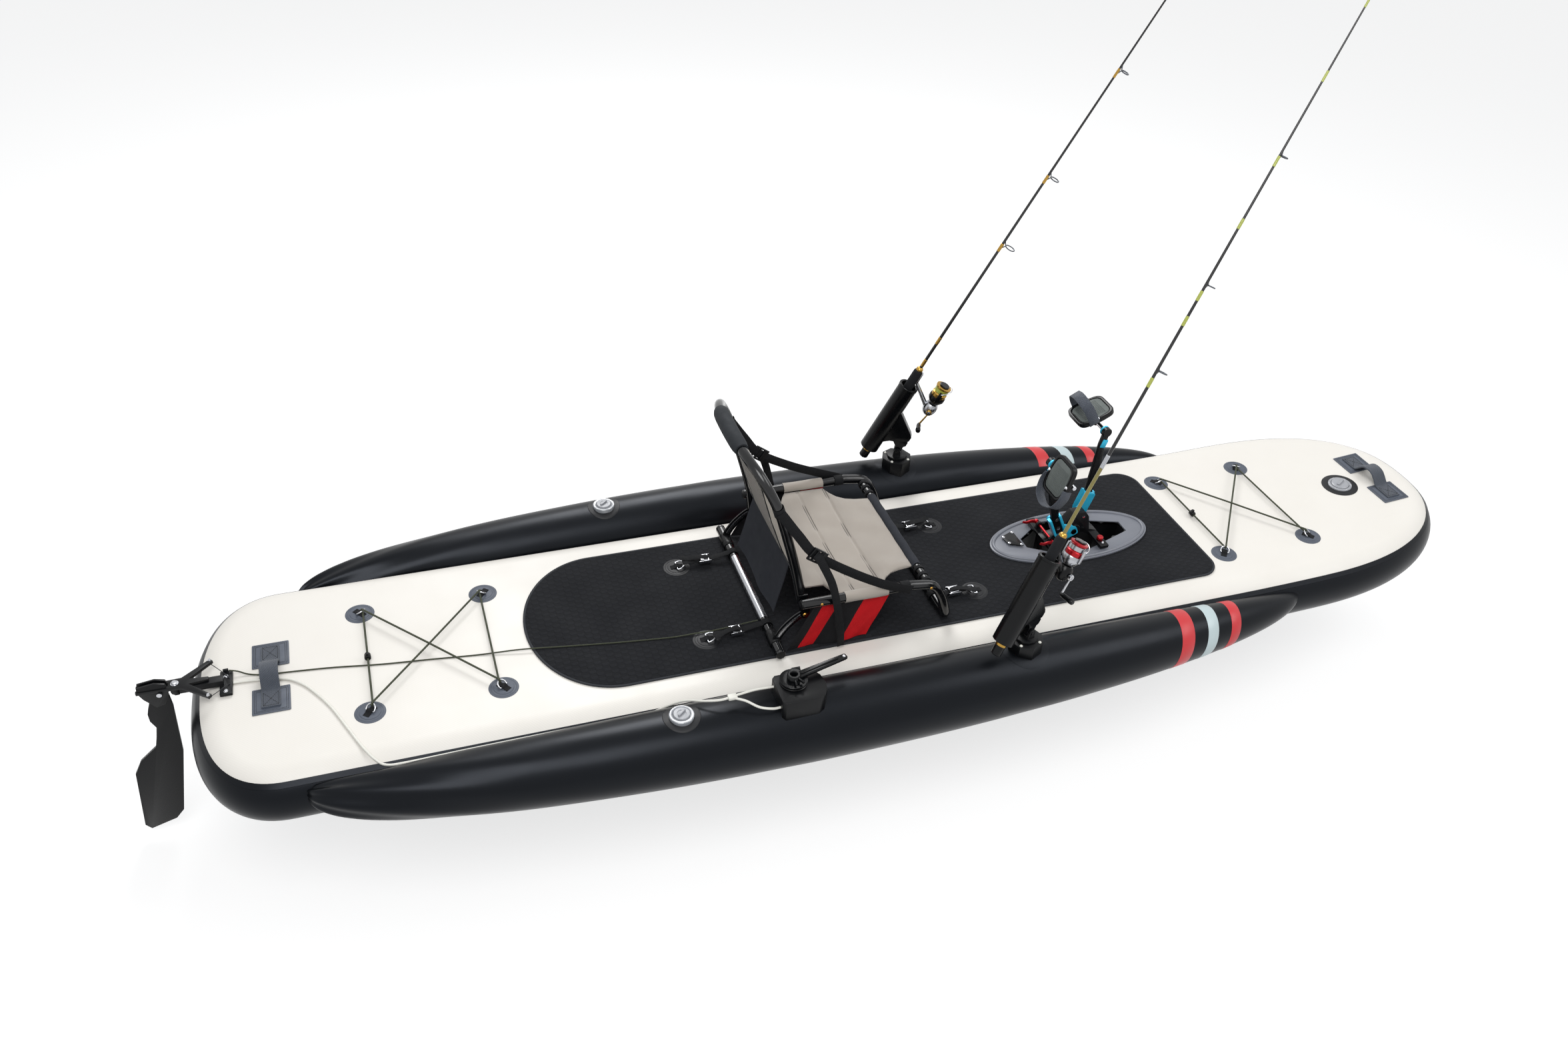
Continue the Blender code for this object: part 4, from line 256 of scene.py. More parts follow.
# The same fabric in colours, glued on in bands
BAND_RED = finish("band_red_coated_fabric", "#bf2b30", "#b3272c", 80, 0.4, 0.05, 1.2, 0.1)
BAND_SILVER = finish("band_silver_coated_fabric", "#b4c2c4", "#a8b7ba", 80, 0.38, 0.05, 1.2, 0.1)
# The same fabric in off-white, duller, with the drop threads just showing as a fine grid of 7 mm
DECK_WHITE = finish("coated_fabric_offwhite", "#d9d6d0", "#d3cfc8", 160, 0.46, 0.05, 1.0, 0.1)
tree = DECK_WHITE.node_tree
x, y, _ = coordinates(tree)
relief(DECK_WHITE, crossed_waves(tree, x, y, 0.007, 0.007), 0.1, 0.0004)
# Embossed EVA foam: dull charcoal, pressed into staggered lozenges of 36 by 20 mm, with painted shade
# darkening the grooves
PAD_FOAM = finish("embossed_eva_foam", "#202124", "#1b1c1f", 90, 0.86, 0.05, 1.4, 0.25,
                  specular=0.12)
tree = PAD_FOAM.node_tree
x, y, _ = coordinates(tree)
ridges = {"Value": crossed_waves(tree, x, y, 0.036, 0.02), "From Min": -0.1, "From Max": 0.28}
lozenge = add(tree, "ShaderNodeMapRange", ridges, interpolation_type="SMOOTHSTEP").outputs[0]
relief(PAD_FOAM, lozenge, 0.9, 0.0016)
# Painted shade: the grooves between the lozenges are darkened
painted_groove_shade = add(tree, "ShaderNodeMath", {0: 1.0, 1: lozenge}, operation="SUBTRACT").outputs[0]
shaded(PAD_FOAM, add(tree, "ShaderNodeMath", {0: painted_groove_shade, 1: 0.55}, operation="MULTIPLY").outputs[0],
       "#17181a")
# The foam's edge, cut and pressed down: smoother and a little paler
PAD_EDGE = finish("pressed_eva_edge", "#2a2c30", "#25272b", 60, 0.72, 0.05, 1.0, 0.15,
                  specular=0.2)
# Injection moulded ABS and nylon: a fine spark texture under a satin sheen
WELL_GREY = finish("satin_grey_plastic", "#6d7079", "#65686f", 120, 0.36, 0.04, 0.7, 0.1)
MOULDED = finish("moulded_black_plastic", "#07080a", "#0a0b0d", 45, 0.36, 0.08, 0.8, 0.22,
                 specular=0.22)
VALVE_GREY = finish("valve_grey_plastic", "#9a9ca0", "#8b8d92", 20, 0.34, 0.06, 0.7, 0.1)
SHEATH_WHITE = finish("sheath_white_plastic", "#dad9d2", "#cfcec5", 30, 0.42, 0.05, 0.8, 0.06)
# Smoother mouldings: black with tight highlights, and smoky acrylic
GLASSY_BLACK = finish("gloss_black_plastic", "#050608", "#08090b", 40, 0.26, 0.05, 0.9, 0.05,
                      specular=0.22)
CLEAR = finish("smoked_clear_plastic", "#8f9297", "#7c7f84", 12, 0.12, 0.03, 0.6, 0.03,
               coat=0.4)
# Rubber: dull and grained, on the pedals' treads and the glued patches
TREAD_GREY = finish("rubber_tread_grey", "#5b615f", "#505654", 20, 0.7, 0.06, 0.9, 0.3)
PATCH_SLATE = finish("patch_rubber_slate", "#4c525d", "#434954", 25, 0.62, 0.07, 0.9, 0.3)
PATCH_BLACK = finish("patch_rubber_black", "#111215", "#17181b", 25, 0.5, 0.07, 0.9, 0.3,
                     specular=0.3)
# Polished steel, brass and plated gold: mirror bright, with a faint unevenness
CHROME = finish("polished_steel", "#c9cace", "#b7b9be", 15, 0.16, 0.05, 0.8, 0.03, metallic=1.0)
BRASS = finish("brass_rivet", "#c79a4c", "#b08540", 10, 0.28, 0.06, 0.8, 0.05, metallic=1.0)
GOLD = finish("gold_plate", "#b7924a", "#a8843e", 15, 0.26, 0.05, 0.6, 0.04, metallic=1.0)
# Brushed and anodised aluminium: soft highlights, and dye that deepens the colour
SILVER = finish("brushed_silver_aluminium", "#b6b8bc", "#a4a6ab", 20, 0.26, 0.06, 0.6, 0.06,
                metallic=1.0)
BLUE_ANODISED = finish("anodised_blue_aluminium", "#22a9cf", "#2fb5d8", 30, 0.32, 0.05, 0.5,
                       0.06, metallic=0.25)
RED_ANODISED = finish("anodised_red_aluminium", "#b3141f", "#9c101b", 20, 0.28, 0.05, 0.5, 0.06,
                      metallic=0.6)
# Powder coated steel tube: deep black, glossy, with a slight orange peel
TUBE_BLACK = finish("powder_coat_gloss_black", "#07080a", "#0b0c0e", 40, 0.16, 0.04, 1.2, 0.1,
                    coat=0.15, specular=0.4)
# Woven nylon webbing: thin black straps, and the padded slate strap of handles and pedals; the weave is drawn
# coarser than it is, so that it shows
WEBBING = finish("nylon_webbing_black", "#0a0b0d", "#0e0f11", 12, 0.74, 0.05, 0.9, 0.1,
                 specular=0.2)
woven(WEBBING, 0.0016, 0.9, "#16171a")
HANDLE_WEB = finish("padded_webbing_slate", "#353b45", "#2d323b", 14, 0.7, 0.05, 0.9, 0.1,
                    sheen=0.15)
woven(HANDLE_WEB, 0.0022, 0.9, "#424955")
# Braided cords: an elastic one with olive tracer threads, and a black one
BUNGEE = finish("braided_elastic_cord", "#20231a", "#2a2e20", 8, 0.7, 0.05, 0.8, 0.1)
woven(BUNGEE, 0.0019, 1.0, "#4a5036")
CORD_BLACK = finish("braided_cord_black", "#17181a", "#1f2023", 8, 0.72, 0.05, 0.8, 0.1)
woven(CORD_BLACK, 0.0014, 1.0, "#2b2c30")
# Polyester cloths of the seat: matt, with a slight bloom of loose fibres, and an open spacer mesh
TAUPE = finish("taupe_polyester_cloth", "#a39b92", "#978f86", 40, 0.82, 0.04, 0.9, 0.12,
               sheen=0.25)
woven(TAUPE, 0.0013, 0.7, "#8d857c")
TAUPE_MESH = finish("taupe_spacer_mesh", "#8f887f", "#857e75", 30, 0.86, 0.04, 0.9, 0.12,
                    sheen=0.2)
woven(TAUPE_MESH, 0.0024, 1.0, "#4d4842")
BEIGE = finish("beige_polyester_cloth", "#b9b0a3", "#aea598", 40, 0.82, 0.04, 0.9, 0.12,
               sheen=0.25)
woven(BEIGE, 0.0013, 0.7, "#a39a8d")
HEM_GREY = finish("dark_grey_cloth", "#24262c", "#1f2126", 30, 0.84, 0.04, 0.9, 0.12,
                  specular=0.25)
woven(HEM_GREY, 0.0013, 0.7, "#2c2f36")
PIPING = finish("piping_black", "#131416", "#1a1b1e", 10, 0.66, 0.05, 0.9, 0.15)
# Black cloth of the seat's sides, with two slanting red stripes printed on it
PANEL_CLOTH = finish("black_cloth_red_stripes", "#0e0e10", "#131315", 40, 0.8, 0.04, 0.9, 0.12,
                     specular=0.2)
woven(PANEL_CLOTH, 0.0014, 0.7, "#1b1b1e")
tree = PANEL_CLOTH.node_tree
x, _, z = coordinates(tree)
lean = add(tree, "ShaderNodeMath", {0: z, 1: 0.457}, operation="MULTIPLY").outputs[0]
slant = add(tree, "ShaderNodeMath", {0: x, 1: lean}, operation="SUBTRACT").outputs[0]
for middle, width in ((-0.3885, 0.043), (-0.2585, 0.08)):
    off = add(tree, "ShaderNodeMath", {0: slant, 1: middle}, operation="SUBTRACT").outputs[0]
    off = add(tree, "ShaderNodeMath", {0: off}, operation="ABSOLUTE").outputs[0]
    stripe = add(tree, "ShaderNodeMath", {0: off, 1: width / 2}, operation="LESS_THAN").outputs[0]
    shaded(PANEL_CLOTH, stripe, "#c4141c")
# Closed cell foams: dull and pitted
SLEEVE_FOAM = finish("foam_sleeve_grey", "#25282c", "#1f2225", 25, 0.8, 0.05, 1.4, 0.45,
                     specular=0.25)
ROD_FOAM = finish("rod_grip_eva", "#101113", "#16171a", 12, 0.8, 0.05, 1.2, 0.45, specular=0.2)
# Rod blanks: wound graphite and coloured thread, both under clear varnish
BLANK_DARK = finish("varnished_graphite", "#141415", "#0f0f10", 30, 0.22, 0.04, 0.6, 0.04,
                    coat=0.3, specular=0.4)
BLANK_OLIVE = finish("varnished_olive_gold", "#7d7330", "#665d28", 30, 0.22, 0.04, 0.6, 0.05,
                     coat=0.5)
WRAP_GREEN = finish("thread_wrap_green", "#a9b04a", "#8f963c", 6, 0.3, 0.05, 0.5, 0.1,
                    coat=0.5)
# Dark ceramic rings of the line guides
GUIDE_GREY = finish("guide_ring_grey", "#5a5d63", "#4b4e54", 8, 0.3, 0.05, 0.5, 0.05, metallic=0.7)


# Making shapes

def lofted(rows, around=False, tips=False):
    """A surface through rows of points, with a UV map in metres across and along."""
    bm = bmesh.new()
    layer = bm.loops.layers.uv.new("metres")
    grid = [[bm.verts.new(p) for p in row] for row in rows]
    count = len(rows[0])
    middle = max(rows, key=lambda row: sum((Vector(a) - Vector(b)).length for a, b in zip(row, row[1:])))
    across = [0.0]
    for a, b in zip(middle, [*middle[1:], middle[0]]):
        across.append(across[-1] + (Vector(b) - Vector(a)).length)
    along = [0.0]
    for a, b in zip(rows, rows[1:]):
        along.append(along[-1] + max((Vector(a[k]) - Vector(b[k])).length for k in (0, count // 2)))
    for r, (first, second) in enumerate(zip(grid, grid[1:])):
        for i in range(count if around else count - 1):
            j = (i + 1) % count
            face = bm.faces.new((first[i], first[j], second[j], second[i]))
            places = ((i, r), (i + 1, r), (i + 1, r + 1), (i, r + 1))
            for loop, (a, b) in zip(face.loops, places):
                loop[layer].uv = (across[a], along[b])
    if tips:
        bm.faces.new(grid[0][::-1])
        bm.faces.new(grid[-1])
    bmesh.ops.remove_doubles(bm, verts=bm.verts, dist=0.000004)
    bmesh.ops.recalc_face_normals(bm, faces=bm.faces)
    return bm


def directions(points, cyclic=False):
    """At each point of a path: its direction and two directions across it that turn as little as they can."""
    places = [Vector(p) for p in points]
    count = len(places)
    frames = []
    for i in range(count):
        if cyclic:
            along = places[(i + 1) % count] - places[i - 1]
        else:
            along = places[min(i + 1, count - 1)] - places[max(i - 1, 0)]
        along.normalize()
        if frames:
            side = frames[-1][1] - along * frames[-1][1].dot(along)
        else:
            side = along.cross(Vector((0, 0, 1)))
            if side.length < 0.05:
                side = along.cross(Vector((0, 1, 0)))
        side.normalize()
        frames.append((along, side, along.cross(side)))
    return frames


def tube(points, radius, sides=20, radii=None, cyclic=False, rounded=0.0):
    """A round tube along the points; rounded softens its two ends."""
    places = [Vector(p) for p in points]
    radii = list(radii or [radius] * len(places))
    frames = directions(places, cyclic)
    if rounded:
        along = frames[0][0], frames[-1][0]
        places = [places[0], places[0] + along[0] * rounded, *places[1:-1], places[-1] - along[1] * rounded,
                  places[-1]]
        frames = [frames[0], frames[0], *frames[1:-1], frames[-1], frames[-1]]
        radii = [radii[0] - rounded, radii[0], *radii[1:-1], radii[-1], radii[-1] - rounded]
    rows = []
    for place, (_, side, up), r in zip(places, frames, radii):
        rows.append([place + side * (r * cos(t)) + up * (r * sin(t)) for t in turns(sides)])
    if cyclic:
        start = min(range(sides), key=lambda k: (rows[0][k] - rows[-1][0]).length)
        rows.append(rows[0][start:] + rows[0][:start])
    return lofted(rows, around=True, tips=not cyclic)


def bar(start, end, radius, sides=24, end_radius=None, rounded=0.0006):
    start, end = Vector(start), Vector(end)
    return tube([start, end], radius, sides, [radius, radius if end_radius is None else end_radius],
                rounded=rounded)


def bar_across(x, z, start, end, radius, sides=24, rounded=0.0006):
    """A bar at x and z that runs straight across, from y start to y end."""
    return bar((x, start, z), (x, end, z), radius, sides, rounded=rounded)


def turned(profile, place=Matrix.Identity(4), steps=48, closed=False):
    """A profile of (radius, height) points turned about the frame's z."""
    rows = [[(max(r, 0.000001) * cos(t), max(r, 0.000001) * sin(t), h) for t in turns(steps)]
            for r, h in profile]
    if closed:
        rows.append(rows[0])
    bm = lofted(rows, around=True)
    bmesh.ops.remove_doubles(bm, verts=bm.verts, dist=0.000004)
    bm.transform(place)
    bmesh.ops.recalc_face_normals(bm, faces=bm.faces)
    return bm


def from_object(source):
    """The evaluated shape of an object, merged, and the object removed."""
    bpy.context.view_layer.update()
    evaluated = source.evaluated_get(bpy.context.evaluated_depsgraph_get())
    mesh = bpy.data.meshes.new_from_object(evaluated)
    bm = bmesh.new()
    bm.from_mesh(mesh)
    bpy.data.meshes.remove(mesh)
    bpy.data.objects.remove(source)
    bmesh.ops.remove_doubles(bm, verts=bm.verts, dist=0.000004)
    bmesh.ops.recalc_face_normals(bm, faces=bm.faces)
    return bm


def slab(outline, thickness, place=Matrix.Identity(4), edge=0.0008, holes=()):
    """A flat outline with holes, thick and with rounded edges."""
    curve = bpy.data.curves.new("slab", "CURVE")
    curve.dimensions = "2D"
    curve.fill_mode = "BOTH"
    curve.bevel_depth = edge
    curve.bevel_resolution = 1
    curve.offset = -edge
    curve.extrude = thickness / 2 - edge
    for loop in (outline, *holes):
        spline = curve.splines.new("POLY")
        spline.points.add(len(loop) - 1)
        for point, (u, v) in zip(spline.points, loop):
            point.co = (u, v, 0, 1)
        spline.use_cyclic_u = True
    source = bpy.data.objects.new("slab", curve)
    bpy.context.scene.collection.objects.link(source)
    bm = from_object(source)
    bm.transform(place)
    return bm


def at(x, y, z):
    return Matrix.Translation((x, y, z))


def spun(degrees, axis):
    return Matrix.Rotation(radians(degrees), 4, axis)


def mm(*points):
    """Points given in millimetres, as points in metres."""
    return [tuple(value / 1000 for value in point) for point in points]


def turns(count, steps=None):
    """The angles of equal steps round a circle of count steps."""
    return [2 * pi * k / count for k in range(steps or count)]


def plane(origin, along, up):
    along, up = Vector(along).normalized(), Vector(up).normalized()
    return Matrix.Translation(origin) @ Matrix((along, up, along.cross(up))).transposed().to_4x4()


def side_plane(y):
    return plane((0, y, 0), (1, 0, 0), (0, 0, 1))


def box(size, centre, edge=0.001):
    bm = bmesh.new()
    bmesh.ops.create_cube(bm, size=1.0)
    bmesh.ops.scale(bm, vec=size, verts=bm.verts)
    bmesh.ops.bevel(bm, geom=bm.edges[:], offset=edge, segments=2, profile=0.5, affect="EDGES")
    bm.transform(Matrix.Translation(centre))
    return bm


def circle(centre, radius, count=32):
    return [(centre[0] + radius * cos(t), centre[1] + radius * sin(t)) for t in turns(count)]


def arc(centre, radius, start, end, count):
    angles = [radians(start + (end - start) * i / count) for i in range(count + 1)]
    return [(centre[0] + radius * cos(t), centre[1] + radius * sin(t)) for t in angles]


def smooth(points, per=4, cyclic=False):
    """A smooth curve through the points, read at even steps between each pair."""
    places = [Vector(p) for p in points]
    if cyclic:
        ends = [places[-1], *places, places[0], places[1]]
    else:
        ends = [2 * places[0] - places[1], *places, 2 * places[-1] - places[-2]]
    out = []
    for a, b, c, d in zip(ends, ends[1:], ends[2:], ends[3:]):
        for step in range(per):
            t = step / per
            out.append(0.5 * (2 * b + (c - a) * t + (2 * a - 5 * b + 4 * c - d) * t ** 2
                              + (3 * b - a - 3 * c + d) * t ** 3))
    if not cyclic:
        out.append(places[-1])
    return out


def rounded_outline(points, radius, count=4):
    """A flat outline with its corners rounded."""
    out = []
    total = len(points)
    for i in range(total):
        a, b, c = (Vector(points[(i + k) % total]) for k in (-1, 0, 1))
        reach = min(radius, (a - b).length * 0.45, (c - b).length * 0.45)
        start, end = b + (a - b).normalized() * reach, b + (c - b).normalized() * reach
        for k in range(count + 1):
            t = k / count
            out.append(tuple((1 - t) ** 2 * start + 2 * t * (1 - t) * b + t ** 2 * end))
    return out


def block_outline(half_length, half_width, radius, count=4):
    """A rectangle about the origin with rounded corners."""
    corners = [(-half_length, -half_width), (half_length, -half_width), (half_length, half_width),
               (-half_length, half_width)]
    return rounded_outline(corners, radius, count)


def strap(points, across, width, thickness, edge=0.0004):
    """Flat webbing along the points; across is one direction, or one for each point."""
    places = [Vector(p) for p in points]
    many = isinstance(across, list)
    rows = []
    for i, place in enumerate(places):
        along = (places[min(i + 1, len(places) - 1)] - places[max(i - 1, 0)]).normalized()
        side = Vector(across[i] if many else across)
        side = (side - along * side.dot(along)).normalized()
        up = along.cross(side)
        w, h = width / 2, thickness / 2
        profile = [(-w, -h + edge), (-w + edge, -h), (0, -h), (w - edge, -h), (w, -h + edge), (w, h - edge),
                   (w - edge, h), (0, h), (-w + edge, h), (-w, h - edge)]
        rows.append([place + side * u + up * v for u, v in profile])
    return lofted(rows, around=True, tips=True)


def tapered(points, widths):
    """The outline of a flat arm along the points, with its own width at each."""
    places = [Vector(p) for p in points]
    left, right = [], []
    for i, (place, width) in enumerate(zip(places, widths)):
        along = (places[min(i + 1, len(places) - 1)] - places[max(i - 1, 0)]).normalized()
        across = Vector((-along.y, along.x)) * (width / 2)
        left.append(tuple(place + across))
        right.append(tuple(place - across))
    return left + right[::-1]


def shell(rows, thickness):
    """A thin sheet with both faces and a closed edge, from the rows of its middle surface."""
    count, wide = len(rows), len(rows[0])
    upper, lower = [], []
    for i in range(count):
        above, below = [], []
        for k in range(wide):
            p = Vector(rows[i][k])
            along = Vector(rows[min(i + 1, count - 1)][k]) - Vector(rows[max(i - 1, 0)][k])
            across = Vector(rows[i][min(k + 1, wide - 1)]) - Vector(rows[i][max(k - 1, 0)])
            normal = along.cross(across)
            normal = normal.normalized() * thickness / 2 if normal.length > 1e-12 else Vector((0, 0, 0))
            above.append(p + normal)
            below.append(p - normal)
        upper.append(above)
        lower.append(below)
    return lofted([a + b[::-1] for a, b in zip(upper, lower)], around=True, tips=True)


def moved(forms, place):
    for form in forms:
        form.transform(place)
    return forms


def piece(name, forms, made, body=ROOT, nodes=(), sharp=38):
    """One named object from its forms, with its finish, riding on its body."""
    forms = forms if isinstance(forms, list) else [forms]
    whole = bmesh.new()
    for form in forms:
        mesh = bpy.data.meshes.new("form")
        form.to_mesh(mesh)
        whole.from_mesh(mesh)
        bpy.data.meshes.remove(mesh)
        form.free()
    mesh = bpy.data.meshes.new(name)
    whole.to_mesh(mesh)
    whole.free()
    for face in mesh.polygons:
        face.use_smooth = True
    mesh.set_sharp_from_angle(angle=radians(sharp))
    mesh.materials.append(made)
    made_object = bpy.data.objects.new(name, mesh)
    bpy.context.scene.collection.objects.link(made_object)
    if body:
        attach(made_object, body)
    if nodes:
        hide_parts(*nodes)
    return made_object


def repeated(unit, places, made):
    """The unit form at each place, turned as the place is turned."""
    form = bpy.data.meshes.new("unit")
    unit.to_mesh(form)
    unit.free()
    source = bpy.data.objects.new("unit", form)
    points = bpy.data.meshes.new("places")
    points.from_pydata([tuple(place.translation) for place in places], [], [])
    rotations = points.attributes.new("turn", "FLOAT_VECTOR", "POINT")
    for item, place in zip(rotations.data, places):
        item.vector = place.to_euler()
    holder = bpy.data.objects.new("places", points)
    for each in (source, holder):
        bpy.context.scene.collection.objects.link(each)
    tree = bpy.data.node_groups.new("repeated", "GeometryNodeTree")
    tree.interface.new_socket("Places", in_out="INPUT", socket_type="NodeSocketGeometry")
    unit_input = tree.interface.new_socket("Unit", in_out="INPUT", socket_type="NodeSocketObject")
    finish_input = tree.interface.new_socket("Finish", in_out="INPUT", socket_type="NodeSocketMaterial")
    tree.interface.new_socket("Forms", in_out="OUTPUT", socket_type="NodeSocketGeometry")
    start, end = add(tree, "NodeGroupInput"), add(tree, "NodeGroupOutput")
    turn = add(tree, "GeometryNodeInputNamedAttribute", {"Name": "turn"}, data_type="FLOAT_VECTOR")
    shape = add(tree, "GeometryNodeObjectInfo", {"Object": start.outputs["Unit"]})
    placed = add(tree, "GeometryNodeInstanceOnPoints",
                 {"Points": start.outputs["Places"], "Instance": shape.outputs["Geometry"],
                  "Rotation": turn.outputs["Attribute"]})
    solid = add(tree, "GeometryNodeRealizeInstances", {"Geometry": placed.outputs[0]})
    painted = add(tree, "GeometryNodeSetMaterial",
                  {"Geometry": solid.outputs[0], "Material": start.outputs["Finish"]})
    tree.links.new(painted.outputs[0], end.inputs[0])
    change = holder.modifiers.new("repeated", "NODES")
    change.node_group = tree
    change[unit_input.identifier] = source
    change[finish_input.identifier] = made
    whole = from_object(holder)
    bpy.data.objects.remove(source)
    return whole


def boolean(bm, cutter):
    """One form cut by another."""
    objects = []
    for form in (bm, cutter):
        mesh = bpy.data.meshes.new("form")
        form.to_mesh(mesh)
        form.free()
        made = bpy.data.objects.new("form", mesh)
        bpy.context.scene.collection.objects.link(made)
        objects.append(made)
    change = objects[0].modifiers.new("cut", "BOOLEAN")
    change.operation = "DIFFERENCE"
    change.object = objects[1]
    change.solver = "EXACT"
    made = from_object(objects[0])
    bpy.data.objects.remove(objects[1])
    return made


def refined(node, made, body, edge):
    """A CAD node's own shape with its edges softened."""
    bm = bmesh.new()
    bm.from_mesh(frame["nodes"][node].data)
    bmesh.ops.remove_doubles(bm, verts=bm.verts, dist=0.00001)
    bmesh.ops.dissolve_limit(bm, angle_limit=radians(1.0), verts=bm.verts, edges=bm.edges)
    sharp = [e for e in bm.edges if len(e.link_faces) == 2 and e.calc_face_angle(0) > radians(40)]
    bmesh.ops.bevel(bm, geom=sharp, offset=edge, segments=2, profile=0.5, affect="EDGES", clamp_overlap=True)
    return piece(f"{node}_shape", bm, made, body, nodes=(node,), sharp=32)


# Hull, deck skin and foam pad

RAIL_RADIUS, HULL_HALF_WIDTH = 0.075, 0.36
STERN_STRAIGHT_X, STERN_CAP, BOW_STRAIGHT_X, BOW_CAP, CAP_EXPONENT = -1.55, 0.145, 1.2, 0.49, 2.5
ROCKER_START_X, BOW_LIFT = 0.9, 0.046
BOW_END_X = BOW_STRAIGHT_X + BOW_CAP + RAIL_RADIUS
SHEET_EDGE_ANGLE = 52
DECK_TOP = 0.1515
PAD_TOP = 0.1568
WELL_PLATE_TOP = 0.1671
WELL_CLEARANCE, WELL_MIDDLE_X = 0.0043, 0.57
WELL_HALF_OUTLINE = ((0.425, 0.02), (0.515, 0.08), (0.6, 0.07), (0.745, 0.022))


def rocker(x):
    return BOW_LIFT * (max(x - ROCKER_START_X, 0) / (BOW_END_X - ROCKER_START_X)) ** 2


def on_deck(x, y, lift=0.0):
    """A frame lying on the deck skin, tilted with the bow's rise."""
    slope = 2 * BOW_LIFT * max(x - ROCKER_START_X, 0) / (BOW_END_X - ROCKER_START_X) ** 2
    return at(x, y, DECK_TOP + rocker(x) + lift) @ Matrix.Rotation(-atan(slope), 4, "Y")


def hull_stations():
    """The port half of the board's inset outline, stern tip to bow tip: place and outward direction."""
    half_width = HULL_HALF_WIDTH - RAIL_RADIUS
    ends = {}
    for straight, length, forward in ((STERN_STRAIGHT_X, STERN_CAP, -1), (BOW_STRAIGHT_X, BOW_CAP, 1)):
        stations = []
        for step in range(29):
            t = pi / 2 * (1 - step / 28)
            x = length * max(cos(t), 0.0) ** (2 / CAP_EXPONENT)
            y = half_width * max(sin(t), 0.0) ** (2 / CAP_EXPONENT)
            nx = (x / length) ** (CAP_EXPONENT - 1) / length
            ny = (y / half_width) ** (CAP_EXPONENT - 1) / half_width
            size = hypot(nx, ny)
            stations.append((straight + forward * x, y, forward * nx / size, ny / size))
        ends[forward] = stations
    straight = [(STERN_STRAIGHT_X + (BOW_STRAIGHT_X - STERN_STRAIGHT_X) * i / 40, half_width, 0.0,
                 1.0) for i in range(1, 40)]
    return ends[-1][::-1] + straight + ends[1]


def rail_point(station, radius, angle):
    x, y, nx, ny = station
    reach = radius * cos(radians(angle))
    px = x + nx * reach
    return Vector((px, y + ny * reach, RAIL_RADIUS + radius * sin(radians(angle)) + rocker(px)))


def ring_of(row):
    """A half section and its mirror image as one closed row."""
    return row + [Vector((p.x, -p.y, p.z)) for p in reversed(row[1:-1])]


def half_section(station, radius, count):
    """The port half of the hull's section, from the bottom's middle line round the rail to the deck's."""
    row = [rail_point(station, radius, -90 + 180 * i / count) for i in range(count + 1)]
    return [Vector((row[0].x, 0, row[0].z)), *row, Vector((row[-1].x, 0, row[-1].z))]


def skin_rows(radius):
    """Half sections of the deck skin, from its edge on the rail in to the centre line."""
    rows = []
    for station in hull_stations():
        row = [rail_point(station, radius,
                          SHEET_EDGE_ANGLE + (90 - SHEET_EDGE_ANGLE) * i / 12) for i in range(13)]
        end = row[-1]
        rows.append(row + [Vector((end.x, end.y * k, end.z)) for k in (0.75, 0.5, 0.25, 0.0)])
    return rows


def grown(outline, distance):
    """An outline moved outwards by a distance, with mitred corners."""
    count = len(outline)
    area = sum(outline[i][0] * outline[(i + 1) % count][1] - outline[(i + 1) % count][0] * outline[i][1]
               for i in range(count))
    turn = 1 if area > 0 else -1
    corners = []
    for i in range(count):
        a, b, c = (Vector(outline[(i + k) % count]) for k in (-1, 0, 1))
        before, after = (b - a).normalized(), (c - b).normalized()
        n1, n2 = Vector((before.y, -before.x)) * turn, Vector((after.y, -after.x)) * turn
        corners.append(tuple(b + (n1 + n2) * distance / (1 + n1.dot(n2))))
    return corners


def mirrored_outline(half):
    return [*half, *[(x, -y) for x, y in reversed(half)]]


WELL_OUTLINE = mirrored_outline(WELL_HALF_OUTLINE)
# The port half of the opening in the well's gasket, which looks torn
WELL_OPENING = [(0.425, 0.016), (0.447, 0.04), (0.462, 0.036), (0.47, 0.06), (0.492, 0.058), (0.503, 0.078),
                (0.53, 0.072), (0.545, 0.08), (0.562, 0.066), (0.59, 0.074), (0.612, 0.062), (0.632, 0.066),
                (0.652, 0.046), (0.676, 0.05), (0.694, 0.032), (0.72, 0.034), (0.745, 0.016)]


def well_block(grow, low, high):
    return slab(grown(WELL_OUTLINE, grow), high - low, at(0, 0, (low + high) / 2), 0.0)


def make_hull():
    hull = lofted([ring_of(half_section(station, RAIL_RADIUS, 28)) for station in hull_stations()],
                  around=True)
    piece("hull_chamber", boolean(hull, well_block(WELL_CLEARANCE, -0.05, 0.2)), HULL_BLACK, nodes=("hull",))


def make_deck_skin():
    under, over = skin_rows(RAIL_RADIUS + 0.0003), skin_rows(RAIL_RADIUS + 0.0015)
    rows = [ring_of([a[-1], *reversed(a[:-1]), *b[:-1], b[-1]]) for a, b in zip(under, over)]
    sheet = boolean(lofted(rows, around=True), well_block(WELL_CLEARANCE, 0.05, 0.25))
    piece("deck_skin", sheet, DECK_WHITE, nodes=("deck_sheet",))


def make_seam_tape():
    """Welded tape that covers the skin's edge on the rail."""
    seam = []
    for station in hull_stations():
        a, b = (rail_point(station, RAIL_RADIUS + 0.0021, SHEET_EDGE_ANGLE + turn) for turn in (-9, 1.2))
        c, d = (rail_point(station, RAIL_RADIUS + 0.0004, SHEET_EDGE_ANGLE + turn) for turn in (1.8, -9.6))
        seam.append([a, b, c, d])
    mirrored = [[Vector((p.x, -p.y, p.z)) for p in row] for row in seam]
    halves = [lofted(rows, around=True, tips=True) for rows in (seam, mirrored)]
    piece("rail_seam_tape", halves, HULL_BLACK)


